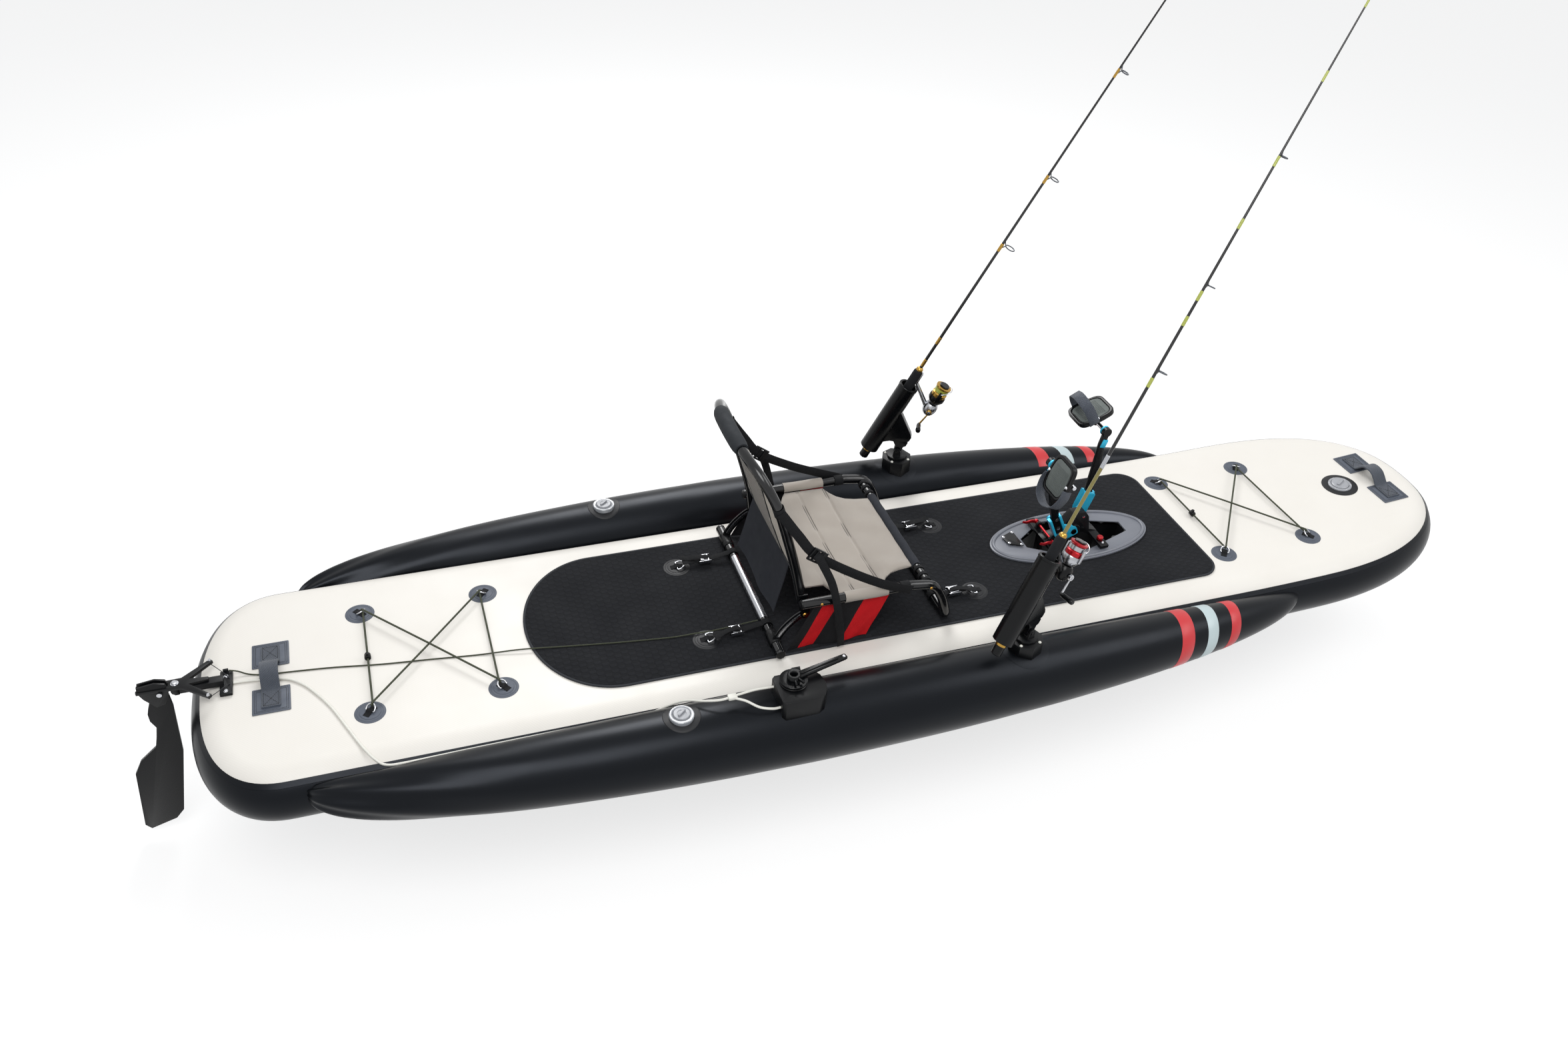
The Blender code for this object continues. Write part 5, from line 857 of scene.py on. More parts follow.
def make_deck_foam():
    """The pad: a half ellipse at the stern, small round corners at the bow, and a pressed down edge."""
    half = arc((0.86, 0.195), 0.06, 0, 90, 10)
    for angle in range(90, 181, 3):
        t = radians(angle)
        half.append((-0.77 + 0.21 * cos(t), 0.255 * sin(t)))
    outline = mirrored_outline(half)
    outline = [p for i, p in enumerate(outline) if (Vector(p) - Vector(outline[i - 1])).length > 0.0002]
    block = slab(grown(outline, -0.006), 0.005, at(0, 0, PAD_TOP - 0.0025), 0.0006)
    foam = boolean(block, well_block(WELL_CLEARANCE, 0.05, 0.25))
    piece("deck_foam", foam, PAD_FOAM, nodes=("deck_pad",))
    rim = slab(outline, 0.0042, at(0, 0, PAD_TOP - 0.0029), 0.0008, [grown(outline, -0.0062)])
    piece("deck_foam_edge", rim, PAD_EDGE)


def make_well():
    ovals = [[(WELL_MIDDLE_X + long * cos(t), wide * sin(t)) for t in turns(96)]
             for long, wide in ((0.246, 0.11), (0.236, 0.1))]
    well = grown(WELL_OUTLINE, -0.0002)
    flange = slab(ovals[0], 0.006, at(0, 0, WELL_PLATE_TOP - 0.0072), 0.0015, [well])
    ridge = tube([(x, y, WELL_PLATE_TOP - 0.0048) for x, y in ovals[1]], 0.0052, 12, cyclic=True)
    piece("well_plate", [flange, ridge], WELL_GREY, nodes=("well_sleeve",))
    sleeve = slab(grown(WELL_OUTLINE, 0.004), 0.15, at(0, 0, 0.077), 0.0, [well])
    piece("well_sleeve_wall", sleeve, MOULDED)
    opening = [*WELL_OPENING, *[(x, -y * 0.96) for x, y in reversed(WELL_OPENING)]]
    lining = slab(grown(WELL_OUTLINE, 0.001), 0.003, at(0, 0, 0.1584), 0.0006, [opening])
    piece("well_gasket", lining, PATCH_BLACK)


def make_well_tag():
    """The small screwed plate beside the well."""
    corners = mm((371, 36), (414, 54), (416, -18), (377, 0))
    tag = slab(rounded_outline(corners, 0.004), 0.0024, at(0, 0, WELL_PLATE_TOP + 0.0006), 0.0005)
    piece("well_tag", tag, GLASSY_BLACK)
    centre = sum((Vector(p) for p in corners), Vector((0, 0))) / 4
    heads = []
    for corner in corners:
        x, y = centre + (Vector(corner) - centre) * 0.8
        heads.append(turned(mm((0, 3.6), (2.2, 3.4), (4.4, 2), (5, 0), (0, -1)),
                            at(x, y, WELL_PLATE_TOP + 0.0012), 24))
    piece("well_tag_screws", heads, CHROME)


make_hull()
make_deck_skin()
make_seam_tape()
make_deck_foam()
make_well()
make_well_tag()


# Ring patches, rings, bungees, handles and valves

PATCH_STEP = 0.0012
RING_Y = 0.18
STERN_RING_X, BOW_RING_X = (-1.366, -1.059), (0.974, 1.26)
TIE_Y, REAR_TIE_X, FRONT_TIE_X = 0.15, -0.547, 0.2
RING_LEG, RING_HALF_WIDTH, SEAT_RING_HALF_WIDTH = 0.006, 0.011, 0.016
TAB_BORE_HEIGHT = 0.0036
BUNGEE_LIFTS = (0.0016, -0.0008, -0.0016, -0.0006)


def ring_patch(place):
    """A round glued patch in two steps, with a raised line round it."""
    base = turned(mm((0, 2.6), (22.5, 2.6), (24, 2.2), (24.6, 1.3), (34.5, 1), (36, 0.4), (36, -0.6),
                     (0, -0.6)), place, 56)
    line = [place @ Vector((0.03 * cos(t), 0.03 * sin(t), 0.001)) for t in turns(48)]
    return [base, tube(line, 0.0007, 8, cyclic=True)]


def ring_tab(place):
    """The tab over the ring's bar: two glued feet with a hump between them."""
    half = mm((-17, 0, 3.2), (-11, 0, 3.3), (-6.2, 0, 4.8), (-2.8, 0, 7.8))
    path = [*half, (0, 0, 0.0087), *[(-x, y, z) for x, y, z in reversed(half)]]
    return moved([strap(smooth(path, 3), (0, 1, 0), 0.016, 0.0012)], place)[0]


def ring_wire(half_width, tilt, place):
    """A D ring of round wire, leaning up by tilt about its straight bar."""
    outline = [(0, -half_width + 0.002), (0, 0), (0, half_width - 0.002), (0.0006, half_width - 0.0006),
               (0.002, half_width), (RING_LEG, half_width)]
    outline += [(RING_LEG + half_width * cos(radians(a)),
                 half_width * sin(radians(a))) for a in range(75, -76, -15)]
    outline += [(RING_LEG, -half_width), (0.002, -half_width), (0.0006, -half_width + 0.0006)]
    lean = radians(tilt)
    height = 2 * PATCH_STEP + TAB_BORE_HEIGHT
    points = [place @ Vector((x * cos(lean), y, height + x * sin(lean))) for x, y in outline]
    return tube(smooth(points, 2, cyclic=True), 0.0019, 12, cyclic=True)


def bungee_ring_frames(ring_x):
    """The four rings of a net, each turned towards the net's middle."""
    middle_x = sum(ring_x) / 2
    return [on_deck(x, y) @ Matrix.Rotation(atan2(-y, middle_x - x), 4, "Z") for x in ring_x
            for y in (RING_Y, -RING_Y)]


def seat_ring_frames():
    return [at(x, y, PAD_TOP) @ spun(turn, "Z") for x, turn in ((REAR_TIE_X, 0), (FRONT_TIE_X, 180))
            for y in (TIE_Y, -TIE_Y)]


def ring_pass(place, reverse=False):
    """The cord's turn through a tilted ring: in beneath its bow, and back over it."""
    reach, lean = RING_LEG + RING_HALF_WIDTH, radians(40)
    bow = (reach * cos(lean), 2 * PATCH_STEP + TAB_BORE_HEIGHT + reach * sin(lean))
    points = [place @ Vector((x, 0, z)) for x, z in arc(bow, 0.0041, -90, -270, 8)]
    return points[::-1] if reverse else points


def bungee_leg(start, end, lift):
    """A straight run whose middle is lifted over the run that it crosses."""
    middle = (start + end) / 2 + Vector((0, 0, lift))
    return [start.lerp(middle, k / 6) for k in range(1, 7)] + [middle.lerp(end, k / 6) for k in range(1, 6)]


def make_bungee(ring_x, name, node):
    frames = bungee_ring_frames(ring_x)
    aft_port, aft_star, bow_port, bow_star = frames
    passes = [ring_pass(aft_port), ring_pass(bow_star, reverse=True), ring_pass(bow_port),
              ring_pass(aft_star, reverse=True)]
    route = []
    for start, end, lift in zip(passes, passes[1:] + passes[:1], BUNGEE_LIFTS):
        route += [*start, *bungee_leg(start[-1], end[0], lift)]
    piece(f"{name}_cord", tube(route, 0.0025, 14, cyclic=True), BUNGEE, nodes=(node,), sharp=60)
    piece(f"{name}_rings", [ring_wire(RING_HALF_WIDTH, 40, f) for f in frames], CHROME)
    piece(f"{name}_tabs", [ring_tab(f) for f in frames], WEBBING)
    patches = [form for f in frames for form in ring_patch(f)]
    piece(f"{name}_patches", patches, PATCH_SLATE)
    first, last = passes[0][0], passes[-1][-1]
    middle, along = (first + last) / 2, (first - last).normalized()
    turn = Matrix.Translation(middle) @ along.to_track_quat("Z", "Y").to_matrix().to_4x4()
    barrel = turned(mm((3, -8), (6.6, -8), (7.8, -6.4), (7.8, 6.4), (6.6, 8), (3, 8)), turn, 28)
    button = turned(mm((0, 12), (4, 11.8), (4.8, 10.8), (4.8, 4), (0, 4)), Matrix.Translation(middle), 24)
    piece(f"{name}_lock", [barrel, button], GLASSY_BLACK)


def stitches(runs, count):
    """The two ends of each stitch along straight runs, count to a run."""
    return [(a.lerp(b, (k + 0.15) / count),
             a.lerp(b, (k + 0.75) / count)) for a, b in runs for k in range(count)]


def sides_of(loop):
    return list(zip(loop, loop[1:] + loop[:1]))


def make_handle(x, node):
    place = on_deck(x, 0, 0.0006)
    half = mm((106, 4.2), (92, 4.2), (57.5, 4.4), (44.5, 9.5), (30, 24.5), (17.5, 33.5), (0, 36.8))
    path = [(0, y, z) for y, z in half] + [(0, -y, z) for y, z in reversed(half[:-1])]
    web = strap(smooth(path, 6), (1, 0, 0), 0.042, 0.0046, 0.0012)
    piece(f"{node}_strap", moved([web], place), HANDLE_WEB, nodes=(node,))
    patches, sewn = [], []
    corners = ((-1, -1), (1, -1), (1, 1), (-1, 1))
    for side in SIDES.values():
        y = side * 0.08
        square = [(u, y + v) for u, v in block_outline(0.0425, 0.0425, 0.003, 3)]
        patches.append(slab(square, 0.0019, at(0, 0, 0.0009), 0.0006))
        for inset in (0.0375, 0.0335):
            sewn += stitches(sides_of([Vector((u * inset, y + v * inset, 0.0019)) for u, v in corners]), 24)
        # A box and a cross through the strap's foot, where it lies flat
        a, b, c, d = (Vector((u * 0.017, y + v * 0.022, 0.0069)) for u, v in corners)
        foot = stitches([*sides_of([a, b, c, d]), (a, c), (b, d)], 10)
        sewn += [stitch for stitch in foot if abs(stitch[0].y) >= 0.0585]
    threads = [tube([a, (a + b) / 2 + Vector((0, 0, 0.0004)), b], 0.00045, 6) for a, b in sewn]
    piece(f"{node}_patches", moved(patches, place), PATCH_SLATE)
    piece(f"{node}_stitches", moved(threads, place), CORD_BLACK)


def screw_head(place, radius):
    """A small pan head."""
    return turned([(0, 0.3 * radius), (0.2 * radius, 0.42 * radius), (0.62 * radius, 0.4 * radius),
                   (0.92 * radius, 0.22 * radius), (radius, 0), (0, -0.1 * radius)], place, 20)


def make_deck_valve():
    place = on_deck(1.509, 0, 0.0006)
    patch = turned(mm((0, 1.5), (34, 1.5), (51.5, 1.2), (53, 0.4), (53, -0.4), (0, -0.4)), place, 72)
    piece("deck_valve_patch", patch, PATCH_BLACK, nodes=("deck_valve",))
    ring = turned(mm((26.8, 1.6), (26.8, 5.2), (28, 6.2), (32.5, 5.8), (34.2, 4.4), (34.5, 1.6)), place, 64)
    screws = [screw_head(place @ at(0.031 * cos(t), 0.031 * sin(t), 0.0056),
                         0.0019) for t in (radians(a) for a in range(30, 390, 60))]
    piece("deck_valve_ring", ring, VALVE_GREY)
    piece("deck_valve_screws", screws, CHROME)
    cap = turned(mm((0, 9.5), (20, 10), (22.2, 9.4), (25.6, 7.2), (26, 4), (26, 2.9), (0, 2.9)), place, 64)
    wing_place = place @ Matrix.Rotation(0.5, 4, "Z") @ at(0, 0, 0.0116)
    wing = slab(block_outline(0.018, 0.0035, 0.003), 0.006, wing_place, 0.0008)
    piece("deck_valve_turn_cap", [cap, wing], VALVE_GREY, "valve_cap_body", nodes=("deck_valve_cap",))


make_bungee(STERN_RING_X, "stern_net", "stern_bungee")
make_bungee(BOW_RING_X, "bow_net", "bow_bungee")
seat_patches = [form for f in seat_ring_frames() for form in ring_patch(f)]
piece("seat_ring_patches", seat_patches, PATCH_BLACK)
piece("seat_ring_tabs", [ring_tab(f) for f in seat_ring_frames()], WEBBING)
make_handle(1.62, "bow_handle")
make_handle(-1.58, "stern_handle")
make_deck_valve()


# Side pontoons

PONTOON_RADIUS, PONTOON_AXIS_Z, PONTOON_INNER_Y, PONTOON_WIDEST_X = 0.0985, 0.0995, 0.335, -0.28
PONTOON_REAR, PONTOON_FRONT = (1.24, 0.4), (1.4, 0.48)
PONTOON_VALVE_X, PONTOON_VALVE_Y = -0.686, 0.425


def pontoon_radius(x):
    length, power = PONTOON_REAR if x < PONTOON_WIDEST_X else PONTOON_FRONT
    share = abs(x - PONTOON_WIDEST_X) / length
    return PONTOON_RADIUS * max(1 - share ** 2, 0.0) ** power


def pontoon_point(side, x, angle, grow=0.0):
    radius = pontoon_radius(x)
    return Vector((x, side * (PONTOON_INNER_Y + radius + (radius + grow) * cos(angle)),
                   PONTOON_AXIS_Z + (radius + grow) * sin(angle)))


def ripples(x, angle):
    """The tube's cloth puckers near its tips and beside what is glued to it."""
    near = sum(exp(-((x - cx) / 0.1) ** 2) for cx in (0.21, -0.4)) * 0.0006
    tips = 0.0012 * (abs(x - 0.06) / 1.3) ** 6
    return (near + tips) * sin(7 * angle + 18 * x)


def pontoon_disc(side, centre_x, centre_y, radii, lift, down=2):
    """A round patch glued to a pontoon's top, through circles of these radii; the last lie on the tube."""
    rows = []
    for index, r in enumerate(radii):
        row = []
        for t in turns(56):
            x, y = centre_x + max(r, 0.00001) * cos(t), centre_y + max(r, 0.00001) * sin(t)
            off = y - PONTOON_INNER_Y - pontoon_radius(x)
            rise = sqrt(max(pontoon_radius(x) ** 2 - off ** 2, 0))
            above = lift if index < len(radii) - down else 0.0002
            row.append(Vector((x, side * y, PONTOON_AXIS_Z + rise + above)))
        rows.append(row)
    return lofted(rows, around=True)


def make_pontoon_tube(name, side):
    rows, count = [], 110
    for step in range(count + 1):
        t = pi * (step / count - 0.5)
        length = PONTOON_REAR[0] if t < 0 else PONTOON_FRONT[0]
        x = PONTOON_WIDEST_X + length * sin(t) * 0.9995
        rows.append([pontoon_point(side, x, a, ripples(x, a)) for a in turns(56)])
    hull = lofted([ring_of(half_section(s, RAIL_RADIUS + 0.0004, 20)) for s in hull_stations()], around=True)
    body = boolean(lofted(rows, around=True, tips=True), hull)
    piece(f"pontoon_tube_{name}", body, HULL_BLACK, nodes=(f"pontoon_{name}",))


def make_pontoon_bands(name, side):
    """Colour bands glued round the outer side, leaning a little."""
    for label, centre, width, made in (
            ("aft_red", 0.672, 0.042, BAND_RED), ("silver", 0.757, 0.036, BAND_SILVER),
            ("fore_red", 0.838, 0.034, BAND_RED)):
        rows = []
        for k in range(37):
            angle = radians(-62 + 200 * k / 36)
            middle = centre + 0.014 * sin(angle - 0.6)
            rows.append([pontoon_point(side, middle + width * (u - 0.5), angle,
                                       0.0007 if 0 < u < 1 else 0.0001) for u in (0, 0.04, 0.5, 0.96, 1)])
        piece(f"pontoon_band_{label}_{name}", lofted(rows), made)


def make_pontoon_valve(name, side):
    place = at(PONTOON_VALVE_X, side * PONTOON_VALVE_Y, PONTOON_AXIS_Z + pontoon_radius(PONTOON_VALVE_X))
    rings = (0.0, 0.02, 0.04, 0.044, 0.045)
    patch = pontoon_disc(side, PONTOON_VALVE_X, PONTOON_VALVE_Y, rings, 0.0013, down=1)
    piece(f"pontoon_valve_patch_{name}", patch, PATCH_BLACK)
    housing = turned(mm((0, 2.8), (20.8, 2.8), (20.8, 6.2), (22.4, 7.1), (28, 6.8), (29.8, 5.2), (30, -4)),
                     place, 56)
    piece(f"pontoon_valve_body_{name}", housing, CLEAR)
    low = 0.0033
    disc = turned([(0, low), (0.02, low), (0.02, low + 0.0046), (0.0186, low + 0.0064), (0.011, low + 0.0068),
                   (0.01, low + 0.0056), (0, low + 0.0056)], place, 56)
    grip_place = place @ Matrix.Rotation(0.7, 4, "Z") @ at(0, 0, low + 0.0084)
    grip = slab(block_outline(0.013, 0.003, 0.0028), 0.0056, grip_place, 0.0008)
    piece(f"pontoon_valve_cap_{name}", [disc, grip], VALVE_GREY, f"pontoon_cap_{name}_body",
          nodes=(f"pontoon_cap_{name}",))


for side_name, side_sign in SIDES.items():
    make_pontoon_tube(side_name, side_sign)
    make_pontoon_bands(side_name, side_sign)
    make_pontoon_valve(side_name, side_sign)


# Seat

TUBE_RADIUS, RAIL_Y, RAIL_Z, RAIL_REAR_X = 0.0125, 0.24, 0.3, -0.335
FOOT_X, CROSSBAR_X, CROSSBAR_Z = 0.075, 0.01, 0.286
REAR_BAR_X, REAR_BAR_HALF_LENGTH, COLLAR_Y, COLLAR_RADIUS = -0.39, 0.27, 0.195, 0.0155
REAR_BAR_Z, FOOT_Z = PAD_TOP + 0.0003 + COLLAR_RADIUS, PAD_TOP + 0.0003 + TUBE_RADIUS
SEAT_PIVOT = (-0.318, 0.255)
SLING_REAR_X, SLING_FRONT_X, SLING_SEAMS_X = -0.3, -0.0016, (-0.187, -0.11)
LEG_Y, STRAP_TURN_RADIUS = 0.222, 0.0137
BACK_STRAP_RUN = mm((-393, 213.7, 568), (-348, 219, 500), (-301, 226, 437), (-210, 240, 376),
                    (-130, 251.5, 333), (-80, 253.7, 311), (-46, 253.7, 297))
BACK_STRAP_TAIL = mm((-301, 228.5, 442), (-292, 240, 425), (-268, 261, 370), (-250, 264, 300),
                     (-236, 264, 220), (-230, 266, 164))
TIE_TAIL = mm((14, 0, 6.6), (-4, 0, 11), (-26, 4, 10), (-46, 10, 5.8), (-62, 16, 7))
BACK_BOTTOM_Z, BACK_TOP_Z = 0.362, 0.636


def band(points, width):
    """The outline of a strip of even width along a flat path."""
    return tapered(points, [width] * len(points))


def rivet(y0, y1, x, z, radius):
    """A domed head that stands out from y0 towards y1."""
    place = at(x, y0, z) @ spun(-90 if y1 > y0 else 90, "X")
    reach = abs(y1 - y0)
    return turned([(0, reach), (radius * 0.45, reach * 0.92), (radius * 0.85, reach * 0.55), (radius, 0),
                   (0, 0)], place, 24)


def make_seat_rails():
    """The bent tube with both rails and the foot bar, the front crossbar, and the back's pivot lugs."""
    half = [(RAIL_REAR_X, RAIL_Y, RAIL_Z), (-0.18, RAIL_Y, RAIL_Z), (-0.04, RAIL_Y, RAIL_Z),
            (0.018, RAIL_Y, 0.287), (0.046, RAIL_Y, 0.25), (0.062, RAIL_Y, 0.208),
            (0.071, RAIL_Y - 0.006, 0.181), (FOOT_X, RAIL_Y - 0.028, FOOT_Z), (FOOT_X, 0.16, FOOT_Z)]
    port = [Vector(p) for p in half[:2]] + smooth(half[2:], 7)
    route = port + [Vector((p.x, -p.y, p.z)) for p in reversed(port)]
    tubes = [tube(route, TUBE_RADIUS, 28, rounded=0.002),
             bar_across(CROSSBAR_X, CROSSBAR_Z, -RAIL_Y, RAIL_Y, 0.011, 26)]
    px, pz = SEAT_PIVOT
    lugs, heads, plugs = [], [], []
    for side in SIDES.values():
        outline = [*arc((px, pz), 0.012, 180, 360, 16), (px + 0.012, RAIL_Z), (px - 0.012, RAIL_Z)]
        lugs.append(slab(outline, 0.004, side_plane(side * 0.2265), 0.0006))
        heads.append(rivet(side * 0.2283, side * 0.2318, px, pz, 0.0062))
        heads.append(rivet(side * 0.2145, side * 0.2118, px, pz, 0.0068))
        outside = RAIL_Y + TUBE_RADIUS
        for x, z in ((-0.285, RAIL_Z), (0.01, CROSSBAR_Z + 0.003)):
            heads.append(rivet(side * (outside - 0.001), side * (outside + 0.0016), x, z, 0.0042))
        plugs.append(turned(mm((0, 3), (9, 2.6), (11.8, 0.8), (12.5, -4), (0, -4)),
                            at(RAIL_REAR_X - 0.0002, side * RAIL_Y, RAIL_Z) @ spun(-90, "Y"), 28))
    piece("seat_rail_tube", tubes, TUBE_BLACK, nodes=("seat_rails",))
    piece("seat_rail_lugs", lugs, TUBE_BLACK)
    piece("seat_rail_rivets", heads, BRASS)
    piece("seat_rail_plugs", plugs, MOULDED)


def make_seat_rear_bar():
    """The bar behind the seat: its middle, silver as a painted highlight, its collars and plugs, and the
    plates up to the rails.
    """
    ends = [tube([(REAR_BAR_X, y, REAR_BAR_Z) for y in (0.13 * s, s * REAR_BAR_HALF_LENGTH)], TUBE_RADIUS, 28,
                 rounded=0.0015) for s in (1, -1)]
    piece("seat_rear_bar_ends", ends, TUBE_BLACK, nodes=("seat_rear_legs",))
    # Painted highlight: the bar's middle is made silver, standing in for the shine along a glossy black tube
    silver = bar_across(REAR_BAR_X, REAR_BAR_Z, -0.1305, 0.1305, 0.0122, 28)
    piece("seat_rear_bar_middle", silver, SILVER)
    px, pz = SEAT_PIVOT
    collars, legs, edges, plugs = [], [], [], []
    for side in SIDES.values():
        place = at(REAR_BAR_X, side * (COLLAR_Y + 0.01), REAR_BAR_Z) @ spun(-90 * side, "X")
        collars.append(turned(mm((12, -24), (14, -24), (15.5, -22), (15.5, -10), (14.6, -9), (14.6, -6),
                                 (15.5, -5), (15.5, 22), (14, 24), (12, 24)), place, 32))
        tip = at(REAR_BAR_X, side * REAR_BAR_HALF_LENGTH, REAR_BAR_Z) @ spun(-90 * side, "X")
        plugs.append(turned(mm((0, 0.4), (11.5, 0.2), (12.2, -2), (12.8, -10), (0, -10)), tip, 28))
        path = smooth([(px + 0.01, pz + 0.004, 0), (px - 0.014, pz - 0.006, 0), (px - 0.044, pz - 0.032, 0),
                       (px - 0.064, pz - 0.06, 0), (REAR_BAR_X, REAR_BAR_Z, 0)], 5)
        flat = [(p.x, p.y) for p in path]
        legs.append(
            slab(rounded_outline(band(flat, 0.022), 0.006, 3), 0.004, side_plane(side * LEG_Y), 0.0008))
        # Painted highlights: silver stripes down the middle of both faces of each leg plate
        for off in (0.0021, -0.0021):
            edges.append(slab(band(flat[1:-4], 0.0085), 0.0008, side_plane(side * (LEG_Y + off)), 0.0003))
    piece("seat_collars", collars, MOULDED)
    piece("seat_rear_leg_plates", legs, TUBE_BLACK)
    piece("seat_rear_leg_edges", edges, SILVER)
    piece("seat_rear_bar_plugs", plugs, MOULDED)
    release = slab(block_outline(0.006, 0.004, 0.002), 0.0016,
                   plane((-0.352, 0.225, 0.24), (1, 0, 0.7), (-0.7, 0, 1)), 0.0004)
    piece("seat_joint_release", release, RED_ANODISED)


def sling_half_width(x):
    stops = mm((-300, 170), (-252, 172), (-236, 205), (-222, 226.7), (-110, 226.7), (-100, 202), (-86, 181),
               (-66, 166), (-40, 158), (20, 150))
    for (x0, w0), (x1, w1) in zip(stops, stops[1:]):
        if x <= x1:
            t = (x - x0) / (x1 - x0)
            return w0 + (w1 - w0) * t
    return stops[-1][1]


def sling_height(x, share):
    """The sling's middle surface, which sags between the rails."""
    along = (x - SLING_REAR_X) / (SLING_FRONT_X - SLING_REAR_X)
    sag = 0.0135 * (1 - share ** 2) * sin(pi * (0.1 + 0.9 * along)) ** 0.8
    return 0.292 - sag - 0.006 * along


def make_sling_pad():
    """The seat's cushion: it swells between its edges and its two seams, and creases fan out to the rails."""
    across, lengthwise = 72, 110
    rows = []
    for i in range(lengthwise + 1):
        x = SLING_REAR_X + (SLING_FRONT_X - SLING_REAR_X) * i / lengthwise
        half = sling_half_width(x)
        near_end = min(1.0, min(i, lengthwise - i) / 9)
        seam = sum(exp(-((x - place) / 0.0038) ** 2) for place in SLING_SEAMS_X)
        top, low = [], []
        for k in range(across + 1):
            share = -1 + 2 * k / across
            y = share * half
            near_side = min(1.0, (1 - abs(share)) * half / 0.016)
            swell = max(near_side * near_end, 0.0) ** 0.5
            crease = (0.0019 * sin(34 * x + 5 * sin(9 * y) + 11 * abs(y)) + 0.0017 * sin(70 * y + 30 * x)
                      * exp(-((abs(y) - 0.15) / 0.06) ** 2))
            z = sling_height(x, share)
            thick = 0.0022 + 0.0046 * swell * (1 - 0.62 * min(seam, 1.0))
            top.append(Vector((x, y, z + thick + crease * swell * 0.8)))
            low.append(Vector((x, y, z - thick + crease * swell * 0.3)))
        rows.append(top + low[::-1])
    pad = lofted(rows, around=True, tips=True)
    piece("sling_pad", pad, TAUPE, nodes=("seat_sling",), sharp=60)


def make_sling_wraps():
    """The sling's cloth round each rail, and the sewn lines across it."""
    seams = []
    for x in (place + off for place in SLING_SEAMS_X for off in (-0.003, 0.003)):
        half = sling_half_width(x) - 0.006
        path = [Vector((x, half * k / 20, sling_height(x, half * k / 20 / sling_half_width(x)) + 0.005))
                for k in range(-20, 21)]
        seams.append(tube(path, 0.0005, 6))
    wraps = []
    for side in SIDES.values():
        rows = []
        for i in range(19):
            x = -0.222 + (-0.108 + 0.222) * i / 18
            row = []
            for k in range(17):
                a = radians(200 - 290 * k / 16)
                r = TUBE_RADIUS + 0.0012 + 0.0004 * sin(60 * x + 3 * a)
                row.append(Vector((x, side * (RAIL_Y + r * cos(a)), RAIL_Z + r * sin(a))))
            rows.append(row)
        wraps.append(shell(rows, 0.001))
    piece("sling_rail_wraps", wraps, TAUPE, sharp=60)
    piece("sling_seams", seams, HEM_GREY)


def make_sling_front():
    """The dark hem over the front crossbar, with the loops that hold it."""
    rows = []
    for i in range(33):
        y = -0.158 + 0.316 * i / 32
        row = []
        for k in range(15):
            a = radians(205 - 300 * k / 14)
            r = 0.0124 + 0.0005 * sin(90 * y + 2 * a)
            row.append(Vector((CROSSBAR_X + r * cos(a), y, CROSSBAR_Z + r * sin(a))))
        rows.append(row)
    piece("sling_front_hem", shell(rows, 0.0012), HEM_GREY, sharp=60)
    loops = []
    for side in SIDES.values():
        for y in (0.172, 0.198, 0.22):
            turn = [(x, side * y, z) for x, z in arc((CROSSBAR_X, CROSSBAR_Z), 0.0128, -40, 310, 14)]
            loops.append(strap(turn, (0, 1, 0), 0.01, 0.0014))
    piece("sling_loops", loops, WEBBING, sharp=60)


def make_side_panels():
    """The cloths that hang from the rails, wavier towards the hem."""
    top_z = RAIL_Z - TUBE_RADIUS - 0.0005
    for name, side in SIDES.items():
        rows = []
        for j in range(25):
            v = j / 24
            z = top_z + (PAD_TOP + 0.003 - top_z) * v
            row = []
            for u in (i / 40 for i in range(41)):
                x = (-0.3 + 0.2 * u) * (1 - v) + (-0.366 + 0.216 * u) * v
                fold = 0.0042 * v * sin(2 * pi * (1.5 * u + 0.3 * v))
                fold += 0.001 * sin(23 * u + 9 * v) * v
                row.append(Vector((x, side * (RAIL_Y + 0.001 + fold), z)))
            rows.append(row)
        panel = piece(f"side_panel_cloth_{name}", shell(rows, 0.0018), PANEL_CLOTH,
                      nodes=(f"side_panel_{name}",), sharp=60)


ARCH_STEPS = 7


def arch_points():
    half = mm((-320, 205, 278), (-336, 193, 365), (-364, 195, 470), (-395, 200, 570), (-428, 172, 642),
              (-452, 100, 673))
    return smooth(half + [(-0.459, 0.0, 0.681)] + [(x, -y, z) for x, y, z in reversed(half)], ARCH_STEPS)


def inside_arch(points, z):
    low, high = next(pair for pair in zip(points, points[1:]) if z <= pair[1].z)
    rise = high.z - low.z
    t = (z - low.z) / rise
    slant = (high - low).length / rise
    return low.x + (high.x - low.x) * t, low.y + (high.y - low.y) * t - (TUBE_RADIUS + 0.0006) * slant


def back_surface(u, z):
    """The back panel's middle surface: u is -1 to 1 across, z its height."""
    port = arch_points()[:6 * ARCH_STEPS + 1]
    x, half = inside_arch(port, z)
    crown = 0.012 * sin(pi * (z - BACK_BOTTOM_Z) / (BACK_TOP_Z - BACK_BOTTOM_Z))
    return Vector((x - crown * (1 - u ** 2), u * half, z)), half


def make_arch():
    px, pz = SEAT_PIVOT
    forms = [tube(arch_points(), TUBE_RADIUS, 28, rounded=0.0015)]
    for side in SIDES.values():
        foot = [*arc((px, pz), 0.011, 170, 350, 14), (px + 0.008, pz + 0.055), (px - 0.018, pz + 0.055)]
        forms.append(slab(rounded_outline(foot, 0.003, 2), 0.004, side_plane(side * 0.2165), 0.0007))
    piece("back_arch", forms, TUBE_BLACK, "seat_back", nodes=("back_frame",))


